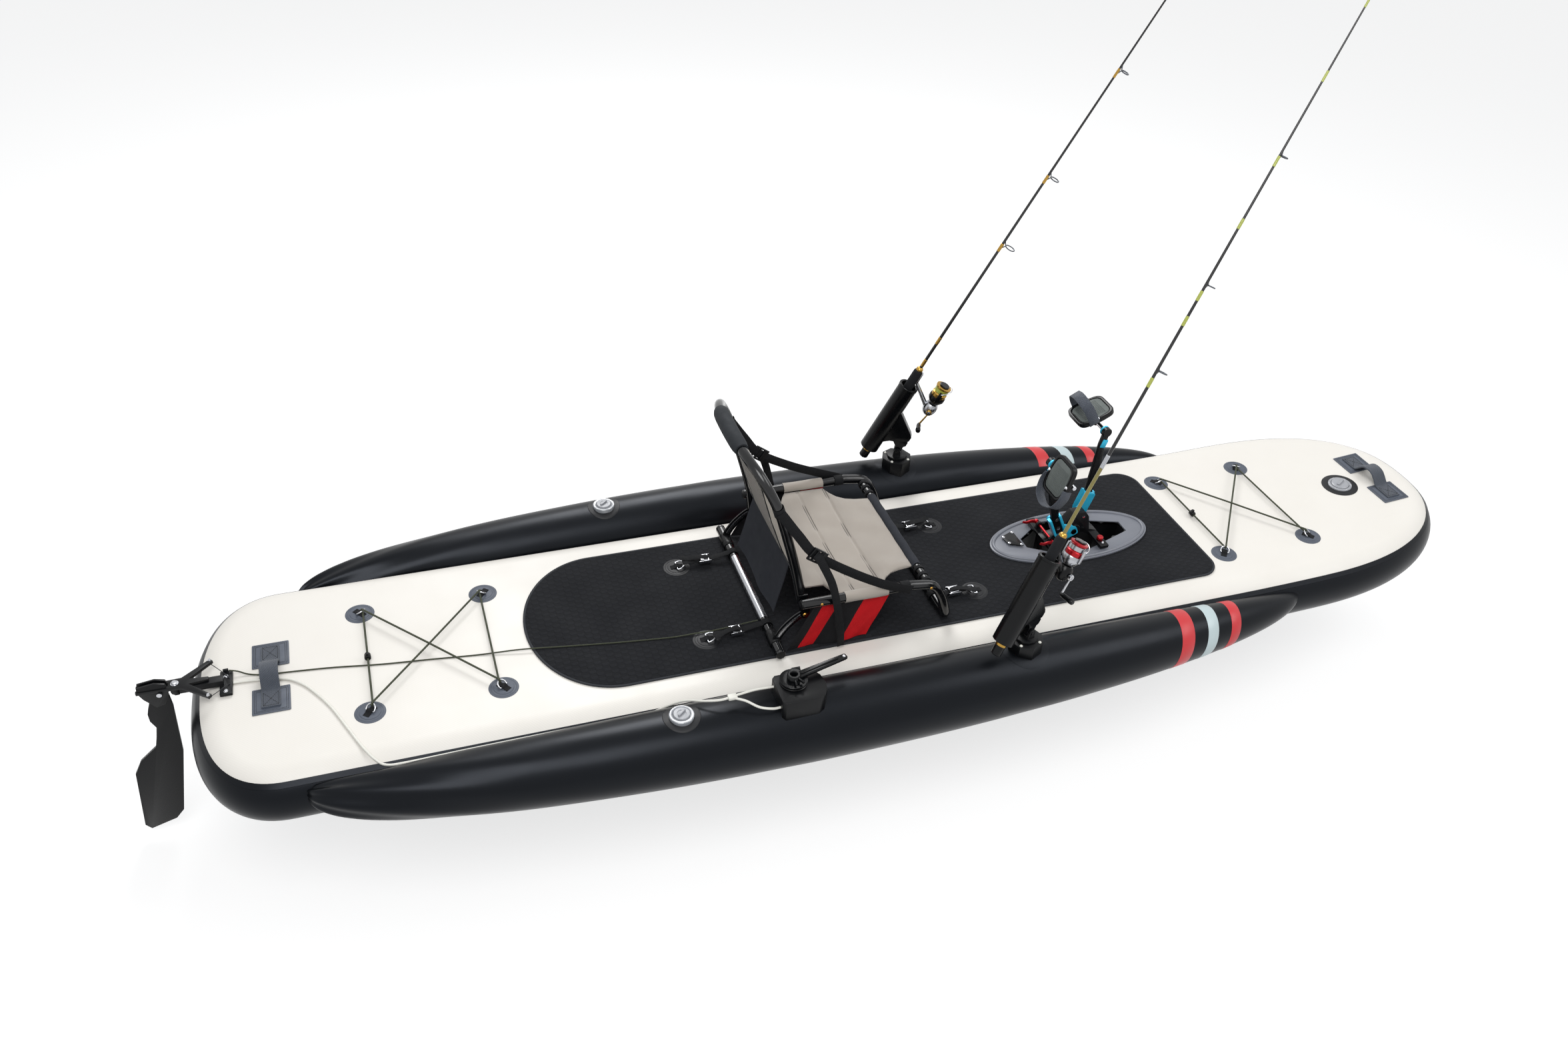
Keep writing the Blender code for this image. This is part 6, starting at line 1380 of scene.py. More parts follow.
def make_back_pad():
    """The padded back, quilted by two upright seams, with a hollow behind for the pocket."""
    tall, wide = 54, 76
    rows = []
    for j in range(tall + 1):
        z = BACK_BOTTOM_Z + (BACK_TOP_Z - BACK_BOTTOM_Z) * j / tall
        front, rear = [], []
        for i in range(wide + 1):
            u = -1 + 2 * i / wide
            p, half = back_surface(u, z)
            edge = max(min(1.0, (1 - abs(u)) * half / 0.014, j / 3, (tall - j) / 3), 0)
            seam = exp(-((abs(p.y) - 0.112) / 0.0035) ** 2)
            hollow = 0.0008 if abs(p.y) < 0.1 and z < 0.575 else 0
            wavy = 0.001 * sin(40 * p.y + 26 * z) + 0.0008 * sin(90 * z + 30 * p.y)
            thick = 0.0022 + 0.0052 * edge ** 0.5 * (1 - 0.6 * min(seam, 1))
            front.append(p + Vector((thick + wavy * edge * 0.6, 0, 0)))
            rear.append(p - Vector((thick + wavy * edge * 0.5 - hollow, 0, 0)))
        rows.append(front + rear[::-1])
    pad = lofted(rows, around=True, tips=True)
    piece("back_pad", pad, BEIGE, "seat_back", nodes=("back_panel",), sharp=60)


def behind_back(y, z, lift):
    """A point that lies lift behind the padded back."""
    half = back_surface(0, z)[1]
    return back_surface(y / half, z)[0] - Vector((0.006 + lift, 0, 0))


def make_back_pocket():
    """The mesh pocket with its wavy bound mouth, and the piping round the back."""
    rows = []
    for v in (j / 28 for j in range(29)):
        row = []
        for i in range(41):
            y = -0.112 + 0.224 * i / 40
            top = 0.586 + 0.01 * sin(abs(y) * 34)
            slack = 0.001 * sin(pi * v) * sin(30 * y)
            row.append(behind_back(y, 0.372 + (top - 0.372) * v, 0.0016 + slack))
        rows.append(row)
    mouth = rows[-1]
    piece("back_pocket", shell(rows, 0.0012), TAUPE_MESH, "seat_back", sharp=60)
    pipes = [tube(mouth, 0.0026, 12)]
    for side in SIDES.values():
        seam = [behind_back(side * 0.113, 0.368 + 0.232 * k / 24, 0.0012) for k in range(25)]
        pipes.append(tube(seam, 0.002, 10))
    pipes.append(tube([behind_back(-0.165 + 0.33 * k / 40, 0.367, 0.0004) for k in range(41)], 0.0024, 10))
    top_line = [-0.155 + 0.31 * k / 40 for k in range(41)]
    pipes.append(tube([behind_back(y, 0.628 - 0.0003 * abs(y) * 20, 0.0004) for y in top_line], 0.0022, 10))
    for side in SIDES.values():
        heights = [0.367 + 0.262 * k / 30 for k in range(31)]
        edge_line = [behind_back(side * (back_surface(0, z)[1] - 0.01), z, 0.0002) for z in heights]
        pipes.append(tube(edge_line, 0.0022, 10))
    piece("back_piping", pipes, PIPING, "seat_back", sharp=60)


def make_back_sleeve():
    """The foam sleeve on the arch's top, a little drawn in at its ends."""
    middle = [p for p in arch_points() if abs(p.y) <= 0.099]
    rows = []
    for index, (place, (_, side, up)) in enumerate(zip(middle, directions(middle))):
        near_end = min(index, len(middle) - 1 - index)
        r = 0.02 - {0: 0.003, 1: 0.0006}.get(near_end, 0)
        rows.append([place + side * (r * cos(t)) + up * (r * sin(t)) for t in turns(32)])
    sleeve = lofted(rows, around=True, tips=True)
    piece("back_foam_sleeve", sleeve, SLEEVE_FOAM, "seat_back", nodes=("back_grip",), sharp=60)


def make_back_flap():
    """The cloth that hangs from the back's lower hem, with soft folds."""
    rows = []
    for v in (j / 20 for j in range(21)):
        x, z = -0.338 - 0.036 * v, 0.3599 + (0.206 - 0.3599) * v
        row = []
        for u in (i / 40 for i in range(41)):
            fold = 0.003 * sin(3 * pi * u + 1.2) * v + 0.0008 * sin(17 * u + 6 * v) * v
            row.append(Vector((x + fold, -0.146 + 0.292 * u, z)))
        rows.append(row)
    flap = piece("back_flap_cloth", shell(rows, 0.002), HEM_GREY, "seat_back", nodes=("back_flap",), sharp=60)


def blend_to_back(made):
    """A strap's piece, with its place baked into its shape."""
    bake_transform(made)


def make_back_straps():
    for name, side in SIDES.items():
        run = smooth([(x, side * y, z) for x, y, z in BACK_STRAP_RUN], 6)
        tail = smooth([(x, side * y, z) for x, y, z in BACK_STRAP_TAIL], 6)
        twist = [(0.022, 0.004 * sin(0.5 * k), 0.004 + 0.006 * sin(0.4 * k)) for k in range(len(tail))]
        webs = [strap(run, (0.012, 0, 0.022), 0.025, 0.0016), strap(tail, twist, 0.0205, 0.0015)]
        # The strap's turn round the arch, and round the rail at its front end
        for centre, along in ((Vector((-0.393, side * 0.199, 0.566)), Vector((-0.3, side * 0.05, 0.95))),
                              (Vector((-0.06, side * 0.24, 0.3)), Vector((1, 0, 0)))):
            along.normalize()
            first = along.cross(Vector((0, side, 0))).normalized()
            second = along.cross(first).normalized()
            turn = [centre + first * (STRAP_TURN_RADIUS * cos(t)) + second * (STRAP_TURN_RADIUS * sin(t))
                    for t in turns(24, 25)]
            webs.append(strap(turn, along, 0.025, 0.0015))
        blend_to_back(piece(f"back_strap_web_{name}", webs, WEBBING, None, (f"back_strap_{name}",), 50))
        bars = [box((0.004, 0.007, 0.034), (x, 0, 0), 0.001) for x in (-0.0165, -0.004, 0.01)]
        bars += [box((0.036, 0.0062, 0.004), (-0.001, 0, z), 0.001) for z in (-0.0165, 0.0165)]
        bars.append(box((0.013, 0.0036, 0.036), (0.019, side * 0.002, 0), 0.0012))
        bars = moved(bars, at(-0.301, side * 0.227, 0.437) @ Matrix.Rotation(0.62, 4, "Y"))
        blend_to_back(piece(f"ladder_lock_{name}", bars, MOULDED, None))


def make_tie_web(end, name, way, bow, buckle_x, bar_centre):
    """The webbing from the ring's bow through the buckle and round the seat's bar, and its loose tail."""
    bow_x, bow_z = bow
    side = SIDES[name]
    y = side * TIE_Y

    def round_bar(angles):
        return [(bar_centre[0] + way * 0.0147 * cos(radians(a)), y,
                 bar_centre[1] + 0.0147 * sin(radians(a))) for a in angles]

    loop = [(bow_x - way * 0.0034 * cos(radians(a)), y,
             bow_z + 0.0034 * sin(radians(a))) for a in range(-90, 71, 20)]
    run = [*loop, (bow_x + way * 0.01, y, bow_z + 0.0034), (buckle_x - way * 0.02, y, bow_z + 0.0014),
           (buckle_x + way * 0.02, y, bow_z + 0.0022), *round_bar((150, 125, 100, 75, 50, 25, 0, -30, -60))]
    tail = [(buckle_x + way * u, y + side * out, bow_z + up) for u, out, up in TIE_TAIL]
    webs = [strap(run, (0, 1, 0), 0.018, 0.0015), strap(smooth(tail, 5), (0, 1, 0.1 * side), 0.0165, 0.0013),
            strap(round_bar((150, 175, 200, 225)), (0, 1, 0), 0.018, 0.0015)]
    piece(f"tie_web_{end}_{name}", webs, WEBBING, sharp=50)


def make_cam_buckle(end, name, way, x, z):
    y = SIDES[name] * TIE_Y
    body = [box((0.034, 0.0022, 0.011), (x, y + s * 0.0138, z + 0.0022), 0.0006) for s in (1, -1)]
    body.append(box((0.033, 0.026, 0.0016), (x, y, z - 0.003), 0.0005))
    piece(f"buckle_body_{end}_{name}", body, CHROME, nodes=(f"cam_buckle_{end}_{name}",))
    roller = bar_across(x + way * 0.01, z + 0.005, y - 0.014, y + 0.014, 0.003, 18)
    thumb = rounded_outline(mm((-11, -11.5), (10, -11.5), (10, 11.5), (-11, 11.5)), 0.003)
    lever = slab(thumb, 0.0018, plane((x - way * 0.001, y, z + 0.0082), (way, 0, -0.16), (0, 1, 0)), 0.0005)
    piece(f"buckle_lever_{end}_{name}", [roller, lever], CHROME)


def make_tie_straps():
    reach, lean = RING_LEG + SEAT_RING_HALF_WIDTH, radians(15)
    bow_z = PAD_TOP + 2 * PATCH_STEP + TAB_BORE_HEIGHT + reach * sin(lean)
    frames = iter(seat_ring_frames())
    for end, ring_x, way, buckle_x, bar_x, bar_z in (("rear", REAR_TIE_X, 1, -0.47, REAR_BAR_X, REAR_BAR_Z),
                                                     ("front", FRONT_TIE_X, -1, 0.135, FOOT_X, FOOT_Z)):
        bow_x = ring_x + way * reach * cos(lean)
        for name in SIDES:
            ring = ring_wire(SEAT_RING_HALF_WIDTH, 15, next(frames))
            piece(f"tie_ring_{end}_{name}", ring, CHROME, nodes=(f"tie_strap_{end}_{name}",))
            make_tie_web(end, name, way, (bow_x, bow_z), buckle_x, (bar_x, bar_z))
            make_cam_buckle(end, name, way, buckle_x, bow_z)


make_seat_rails()
make_seat_rear_bar()
make_sling_pad()
make_sling_wraps()
make_sling_front()
make_side_panels()
make_arch()
make_back_pad()
make_back_pocket()
make_back_sleeve()
make_back_flap()
make_back_straps()
make_tie_straps()


# Rudder, steering and control

RUDDER_AXIS_X, BRACKET_FRONT_X, BRACKET_REAR_X, GAP = -1.785, -1.664, -1.692, 0.0003
HEAD_LOW, HEAD_HIGH = 0.1763, 0.1843
BLADE_PIVOT, YOKE_TIP = (RUDDER_AXIS_X - 0.035, 0.17), (RUDDER_AXIS_X + 0.075, 0.06)
CONTROL_X, CONTROL_TOP_Z = (-0.46, -0.34), 0.232
DRUM_CENTRE, LEVER_TIP = (-0.415, -0.425), (-0.275, -0.39)
SHEATH_RADIUS, LIFT_LINE_RADIUS = 0.003, 0.0018


def make_rudder():
    refined("rudder_bracket", MOULDED, ROOT, 0.0012)
    refined("rudder_head", MOULDED, "rudder_head_body", 0.0008)
    refined("rudder_blade", GLASSY_BLACK, "rudder_blade_body", 0.0014)
    plate_x = (BRACKET_FRONT_X + BRACKET_REAR_X) / 2
    places = [at(plate_x, y, DECK_TOP + 0.0103) for y in (-0.031, 0.02)]
    heads = repeated(turned(mm((0, 3.4), (3.8, 3), (5.6, 1.2), (6, 0), (0, -0.6)), steps=24), places, CHROME)
    piece("rudder_bracket_bolts", heads, CHROME)
    px, pz = BLADE_PIVOT
    pin = turned(mm((0, 6), (5, 5.8), (7.2, 3.6), (7.4, 1.2), (9.2, 1), (9.4, 0), (0, -0.6)),
                 at(RUDDER_AXIS_X, 0, HEAD_HIGH), 36)
    ties = [turned(mm((0, 4.4), (3, 4), (4.2, 1.6), (4.4, 0), (0, -0.4)),
                   at(YOKE_TIP[0] - 0.001, side * YOKE_TIP[1], HEAD_HIGH), 28) for side in (1, -1)]
    bolts = [turned(mm((0, 2.4), (4.6, 2), (5.8, 0), (0, -0.4)),
                    plane((px, side * 0.01715, pz), (1, 0, 0), (0, 0, side)), 28) for side in (1, -1)]
    piece("rudder_head_bolts", [pin, *ties, *bolts], CHROME, "rudder_head_body")
    # The two bare lines from the sheath's end to the tips of the yoke
    start = Vector((BRACKET_FRONT_X + 0.0006, 0, DECK_TOP + SHEATH_RADIUS + GAP))
    for name, side in SIDES.items():
        run = [start + Vector((0.004, 0, 0)), start + Vector((-0.001, side * 0.002, 0.003)),
               (-1.676, side * 0.018, DECK_TOP + 0.015), (-1.696, side * 0.042, HEAD_LOW - 0.005),
               (YOKE_TIP[0] - 0.001, side * (YOKE_TIP[1] - 0.0015), HEAD_LOW - 0.0012)]
        line = piece(f"steering_line_{name}", tube(smooth(run, 6), 0.0009, 10, rounded=0.0002), CORD_BLACK,
                     None)
        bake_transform(line)


def valley(x, radius):
    """Where a cord of this radius lies between the board's rail and the starboard pontoon."""
    board = Vector((HULL_HALF_WIDTH - RAIL_RADIUS, RAIL_RADIUS))
    air = Vector((PONTOON_INNER_Y + pontoon_radius(x), PONTOON_AXIS_Z))
    reach_board = RAIL_RADIUS + radius + 2 * GAP
    reach_air = pontoon_radius(x) + radius + 2 * GAP
    apart = air - board
    along = (reach_board ** 2 - reach_air ** 2 + apart.length_squared) / (2 * apart.length)
    rise = sqrt(reach_board ** 2 - along ** 2)
    unit = apart.normalized()
    place = board + unit * along + Vector((-unit.y, unit.x)) * rise
    return x, -place.x, place.y


def make_sheaths():
    deck = DECK_TOP + SHEATH_RADIUS + GAP
    start_x = CONTROL_X[0] - GAP
    over = [(start_x, 0.08, 0.22), (-0.48, 0.08, 0.221), (-0.51, 0.083, 0.225), (-0.55, 0.089, 0.226),
            (-0.59, 0.089, 0.22), (-0.625, 0.071, 0.208), (-0.66, 0.041, 0.19), (-0.695, 0.018, 0.163)]
    route = [(x, -PONTOON_INNER_Y - out, z) for x, out, z in over]
    route += [valley(x, SHEATH_RADIUS) for x in (-0.74, -0.84, -1.0, -1.16, -1.3)]
    up = [(-1.345, 0.019, 0.138), (-1.367, 0.034, 0.1475), (-1.385, 0.06, deck + 0.0012)]
    route += [(x, inward - HULL_HALF_WIDTH, z) for x, inward, z in up]
    route += [(-1.4, -0.265, deck), (-1.417, -0.222, deck), (-1.449, -0.144, deck), (-1.48, -0.088, deck),
              (-1.51, -0.046, deck), (-1.545, -0.019, deck), (-1.59, -0.008, deck), (-1.63, -0.002, deck),
              (BRACKET_FRONT_X + GAP, 0.0, deck)]
    beside = 2 * SHEATH_RADIUS + GAP
    over = [(start_x, 0.135, 0.205), (-0.48, 0.135, 0.206), (-0.51, 0.129, 0.213), (-0.537, 0.11, 0.222),
            (-0.56, 0.0905 + beside, 0.2245)]
    second = [(x, -PONTOON_INNER_Y - out, z) for x, out, z in over]
    sheaths = [tube(smooth(route, 6), SHEATH_RADIUS, 16, rounded=0.0004),
               tube(smooth(second, 6), SHEATH_RADIUS, 16, rounded=0.0004)]
    joiner = box((0.022, 2 * SHEATH_RADIUS + 0.01, 0.009), (-0.565, -PONTOON_INNER_Y - 0.0915, 0.2248),
                 0.0026)
    piece("sheaths_and_joiner", [*sheaths, joiner], SHEATH_WHITE, nodes=("steering_sheaths",))


def make_lift_line():
    deck = DECK_TOP + LIFT_LINE_RADIUS + GAP
    pad = PAD_TOP + LIFT_LINE_RADIUS + GAP
    eye_x = (BRACKET_FRONT_X + BRACKET_REAR_X) / 2 + 0.006
    route = [(eye_x + 0.001, 0.033, DECK_TOP + 0.0155), (-1.652, 0.03, 0.162), (-1.63, 0.022, deck + 0.001),
             (-1.595, 0.012, deck), (-1.52, 0.004, deck), (-1.436, -0.006, deck), (-1.33, -0.024, deck),
             (-1.22, -0.037, deck), (-1.1, -0.052, deck), (-1.0, -0.066, pad + 0.0006), (-0.9, -0.082, pad),
             (-0.76, -0.104, pad), (-0.64, -0.119, pad), (-0.6, -0.122, pad + 0.0008),
             (-0.572, -0.124, pad + 0.0028), (-0.52, -0.126, pad + 0.0034),
             (REAR_BAR_X - TUBE_RADIUS - 0.004, -0.13, REAR_BAR_Z + 0.001)]
    piece("lift_cord", tube(smooth(route, 5), LIFT_LINE_RADIUS, 12, rounded=0.0003), BUNGEE,
          nodes=("lift_line",))


def make_control():
    refined("control_base", MOULDED, ROOT, 0.0022)
    place = at(*DRUM_CENTRE, CONTROL_TOP_Z + GAP)
    drum = turned(mm((0, 10.8), (6.6, 10.8), (6.6, 0.2), (32.8, 0.2), (34, 1.2), (34, 4), (31.2, 5.6),
                     (31.2, 6.4), (34, 8), (34, 11), (33, 12), (26.2, 12.4), (25, 11.4), (0, 11.4)), place,
                  72)
    ring = turned(mm((7, 11.2), (16.5, 11.2), (16, 24), (13.8, 26.8), (9.8, 26.8), (7.6, 24)), place, 48,
                  closed=True)
    away = Vector(LEVER_TIP) - Vector(DRUM_CENTRE)
    heading = atan2(away.y, away.x)
    ahead = place @ Matrix.Rotation(heading, 4, "Z")
    reach = away.length
    outline = rounded_outline([(0.012, -0.0105), (reach - 0.012, -0.0082), (reach + 0.006, -0.0074),
                               (reach + 0.006, 0.0074), (reach - 0.012, 0.0082), (0.012, 0.0105)], 0.004)
    arm = slab(outline, 0.0072, ahead @ at(0, 0, 0.0152), 0.0012)
    rib = slab(rounded_outline([(0.02, -0.0026), (reach - 0.018, -0.002), (reach - 0.018, 0.002),
                                (0.02, 0.0026)], 0.002), 0.0024, ahead @ at(0, 0, 0.0196), 0.0006)
    prongs = [box((0.022, 0.0052, 0.006), (0.022, 0, 0.021), 0.0014) for _ in (1, 2)]
    for prong, turn in zip(prongs, (-62, -98)):
        prong.transform(place @ spun(turn, "Z"))
    piece("control_drum_and_lever", [drum, ring, arm, rib, *prongs], GLASSY_BLACK, "control_lever_body",
          nodes=("control_lever",))
    screw = screw_head(ahead @ at(reach - 0.001, 0, 0.0188), 0.0042)
    piece("control_lever_screw", screw, CHROME, "control_lever_body")


# Pedal drive

DRIVE = (0.56, 0.0, 0.2)
SPINE_HALF_WIDTH, SHAFT_RADIUS, HUB_RADIUS, HUB_OUTER_Y = 0.014, 0.008, 0.022, 0.03
CRANK_LENGTH, CRANK_FOOT, FORK_HEIGHT, FORK_PLATE, CRANK_ARM_Y = 0.29, 0.042, 0.1, 0.008, (0.031, 0.043)
CRANK_REST, PEDAL_REST = {"starboard": -26, "port": 16}, {"starboard": 72, "port": 21}
HEEL_STRAP_LEAN = {"starboard": 86, "port": 8}
HEEL_STRAP_HEIGHT, HEEL_STRAP_ROOT = 0.066, -0.016
PEDAL_Y, PEDAL_LENGTH, PEDAL_WIDTH, PEDAL_OFFSET = 0.117, 0.108, 0.1, 0.02
BEAM_X, LATCH_Z, LATCH_ARM_Y = (0.4875, 0.6345), 0.19, 0.052


def make_drive():
    refined("drive_spine", MOULDED, ROOT, 0.0014)
    screw = turned(mm((0, 3), (3.2, 2.6), (4.4, 1), (4.6, 0), (0, -0.4)), steps=24)
    x, _, z = DRIVE
    places = [plane((x + u, side * SPINE_HALF_WIDTH, z + v), (1, 0, 0), (0, 0, side)) for side in (1, -1)
              for u, v in mm((34, 34), (-32, 26), (40, -6), (-44, -8))]
    places += [at(bx, y, WELL_PLATE_TOP + 0.0103) for bx in BEAM_X for y in (0.072, -0.072)]
    piece("drive_screws", repeated(screw, places, CHROME), CHROME)
    knob = turned(mm((0, 11), (7, 10.8), (9, 9), (9.2, 3), (7, 0.6), (0, 0)),
                  at(BEAM_X[1], -0.056, WELL_PLATE_TOP + 0.0103), 32)
    piece("drive_lock_knob", knob, RED_ANODISED)

    across = bar_across(BEAM_X[0], LATCH_Z, -0.0545, 0.0545, 0.0035, 20)
    reach = smooth(mm((0, 0), (-16, 4), (-32, 2), (-44, 6)), 4)
    levers = [across]
    for side in SIDES.values():
        frame = plane((BEAM_X[0], side * LATCH_ARM_Y, LATCH_Z), (1, 0, 0), (0, 0, 1))
        widths = [0.01 - 0.0036 * k / (len(reach) - 1) for k in range(len(reach))]
        levers.append(slab(tapered([p[:2] for p in reach], widths), 0.005, frame, 0.0012))
        levers.append(bar_across(BEAM_X[0], LATCH_Z, side * 0.0488, side * 0.0555, 0.007, 28, rounded=0.001))
    piece("latch_levers", levers, RED_ANODISED, "latch_body", nodes=("drive_latch",))
    for end in ("front", "rear"):
        refined(f"fin_{end}", GLASSY_BLACK, f"fin_{end}_body", 0.001)


def crank_place(name):
    return at(*DRIVE) @ spun(CRANK_REST[name], "Y")


def make_crank(name):
    side, place, body = SIDES[name], crank_place(name), f"crank_{name}_body"
    low, high = CRANK_ARM_Y
    foot = CRANK_FOOT
    hub = turned([(SHAFT_RADIUS + GAP, HUB_OUTER_Y), (HUB_RADIUS - 0.001, HUB_OUTER_Y),
                  (HUB_RADIUS, HUB_OUTER_Y - 0.001), (HUB_RADIUS, SPINE_HALF_WIDTH + 0.0005),
                  (SHAFT_RADIUS + GAP, SPINE_HALF_WIDTH + 0.0005)], spun(-90 * side, "X"), 48, closed=True)
    fork = [(-0.012, -0.014), (foot * 0.6, -0.013), (foot + 0.017, 0.03), (foot + 0.018, FORK_HEIGHT),
            (foot - 0.018, FORK_HEIGHT), (foot - 0.018, 0.046), (-0.012, 0.014)]
    inner = slab(rounded_outline([(side * x, z) for x, z in fork], 0.008), FORK_PLATE,
                 side_plane(side * (low - FORK_PLATE / 2)), 0.001, [circle((0, 0), SHAFT_RADIUS + GAP, 32)])
    cheeks = []
    for u in (0.015, -0.015):
        cheek = [(foot + u * 0.55, 0.018), (foot + u, 0.04), (foot + u, FORK_HEIGHT)]
        cheeks.append(slab(tapered([(side * x, z) for x, z in cheek], (0.005, 0.0066, 0.0076)),
                           high - low + 0.0056, side_plane(side * ((low + high) / 2 + 0.0028)), 0.001))
    collar = bar_across(0, CRANK_LENGTH, side * (high + 0.0002), side * (high + 0.006), 0.014, 36,
                        rounded=0.0012)
    adjuster = box((0.018, high - low + 0.003, 0.026),
                   (side * foot * 0.16, side * (low + high) / 2, CRANK_LENGTH - 0.034), 0.0022)
    piece(f"crank_fork_{name}", moved([inner, *cheeks, collar, adjuster], place), BLUE_ANODISED, body,
          nodes=(f"crank_{name}",))
    line = [(side * foot, 0.036), (side * foot * 0.94, FORK_HEIGHT), (side * foot * 0.5, 0.19),
            (side * foot * 0.1, CRANK_LENGTH - 0.04), (0.0, CRANK_LENGTH)]
    arm = slab(rounded_outline(tapered(line, (0.02, 0.023, 0.024, 0.019, 0.018)), 0.004), high - low - 0.0004,
               side_plane(side * (low + high) / 2), 0.002)
    eye = bar_across(0, CRANK_LENGTH, side * (low - 0.001), side * high, 0.0138, 36, rounded=0.0012)
    piece(f"crank_arm_{name}", moved([arm, eye, hub], place), GLASSY_BLACK, body)
    end = PEDAL_Y + PEDAL_WIDTH / 2 - 0.004
    axle = bar_across(0, CRANK_LENGTH, side * high, side * end, 0.006, 28, rounded=0.0008)
    bolt = turned(mm((0, 3.4), (4, 3), (5.6, 1), (5.8, 0), (0, -0.4)), steps=24)
    heads = repeated(bolt, [plane((side * foot * u, side * high, z), (1, 0, 0),
                                  (0, 0, side)) for u, z in ((0.98, 0.056), (0.9, 0.088))], CHROME)
    cap = bar_across(0, 0, side * (SPINE_HALF_WIDTH + 0.0165), side * (HUB_OUTER_Y + 0.003), 0.0078, 28)
    piece(f"crank_steel_{name}", moved([axle, heads], place), CHROME, body)
    piece(f"drive_shaft_end_{name}", moved([cap], place), CHROME)


def make_pedal(name):
    side, body = SIDES[name], f"pedal_{name}_body"
    pitch = CRANK_REST[name] + PEDAL_REST[name]
    place = crank_place(name) @ at(0, side * PEDAL_Y, CRANK_LENGTH) @ spun(-pitch, "Y")
    half = PEDAL_WIDTH / 2
    front, heel = PEDAL_LENGTH / 2, -PEDAL_LENGTH / 2
    outline = rounded_outline([(front, -half * 0.84), (front, half * 0.84), (0, half), (heel, half * 0.86),
                               (heel, -half * 0.86), (0, -half)], 0.02, 6)
    inside = [tuple(Vector(p) * 0.84) for p in outline]
    tray = slab(outline, 0.01, at(0, 0, PEDAL_OFFSET - 0.002), 0.002)
    rim = slab(outline, 0.005, at(0, 0, PEDAL_OFFSET + 0.0045), 0.0016, [inside])
    ears = []
    for y in (-0.024, 0.024):
        ear = [*arc((0, 0), 0.011, 180, 360, 12), (0.016, PEDAL_OFFSET - 0.006),
               (-0.016, PEDAL_OFFSET - 0.006)]
        ears.append(slab(ear, 0.008, side_plane(y), 0.0008, [circle((0, 0), 0.0063, 32)]))
    piece(f"pedal_tray_{name}", moved([tray, rim, *ears], place), GLASSY_BLACK, body,
          nodes=(f"pedal_{name}",))

    # Tread: a rubber pad with fine ribs, set in the rim
    bed = slab([tuple(Vector(p) * 0.81) for p in outline], 0.004, at(0, 0, PEDAL_OFFSET + 0.0045), 0.001)
    rib = box((0.0016, 0.06, 0.0014), (0, 0, 0), 0.0005)
    treads = [at(0.0036 * k, 0, PEDAL_OFFSET + 0.0067) for k in range(-9, 9)]
    piece(f"pedal_tread_{name}", moved([repeated(rib, treads, TREAD_GREY), bed], place), TREAD_GREY, body)
    lean, height = radians(HEEL_STRAP_LEAN[name]), HEEL_STRAP_HEIGHT
    path = [(half - 0.002, -0.004), (half + 0.001, 0.02), (half - 0.01, height - 0.014),
            (half - 0.034, height), (0.0, height + 0.003)]
    path += [(-y, z) for y, z in reversed(path[:-1])]
    leaned = plane((HEEL_STRAP_ROOT, 0, PEDAL_OFFSET), (0, 1, 0), (-sin(lean), 0, cos(lean)))
    loop = [leaned @ Vector((y, z, 0)) for y, z, _ in smooth([(*p, 0) for p in path], 6)]
    across = leaned.to_3x3() @ Vector((0, 0, 1))
    straps = [strap(loop, across, 0.03, 0.0024)]
    piece(f"pedal_straps_{name}", moved(straps, place), HANDLE_WEB, body, sharp=50)
    button = turned(mm((0, 3), (3, 2.7), (4.6, 1), (4.8, 0), (0, -0.4)), steps=24)
    buttons = repeated(button, [at(-0.002, s * (half - 0.005), PEDAL_OFFSET + 0.0068) for s in (1, -1)],
                       CHROME)
    pin = bar_across(0.002, PEDAL_OFFSET - 0.015, -half * 0.7, half * 0.7, 0.0026, 20)
    piece(f"pedal_steel_{name}", moved([buttons, pin], place), CHROME, body)


# Rod holders, rods and reels

HOLDER_X, HOLDER_Y, HOLDER_TUBE_OFFSET = 0.203, PONTOON_INNER_Y + 0.084, 0.077
HOLDER_TURN, HOLDER_TILT = {"starboard": 17, "port": 28}, {"starboard": 27, "port": 23}
BASE_TOP_Z, KNUCKLE_Z = 0.222, 0.248
TUBE_WALL, TUBE_BORE, TUBE_BOTTOM, TUBE_TOP = 0.028, 0.0225, -0.037, 0.206
GRIP_TOP, GRIP_RADIUS, ROD_BUTT, ROD_TOP = 0.303, 0.0135, -0.038, 1.9
BLANK_RADII, BLANK_BEND, GUIDE_HEIGHTS = (0.0048, 0.0012), 0.006, (0.735, 0.95, 1.255)
REEL_OFFSET, REEL_CRANK_Z, REEL_CRANK_Y = 0.0875, 0.208, -0.0225


def tilt_place(name):
    side = SIDES[name]
    return (at(HOLDER_X, side * HOLDER_Y, BASE_TOP_Z) @ spun(-side * HOLDER_TURN[name], "Z")
            @ at(0, 0, KNUCKLE_Z - BASE_TOP_Z) @ spun(HOLDER_TILT[name], "Y"))


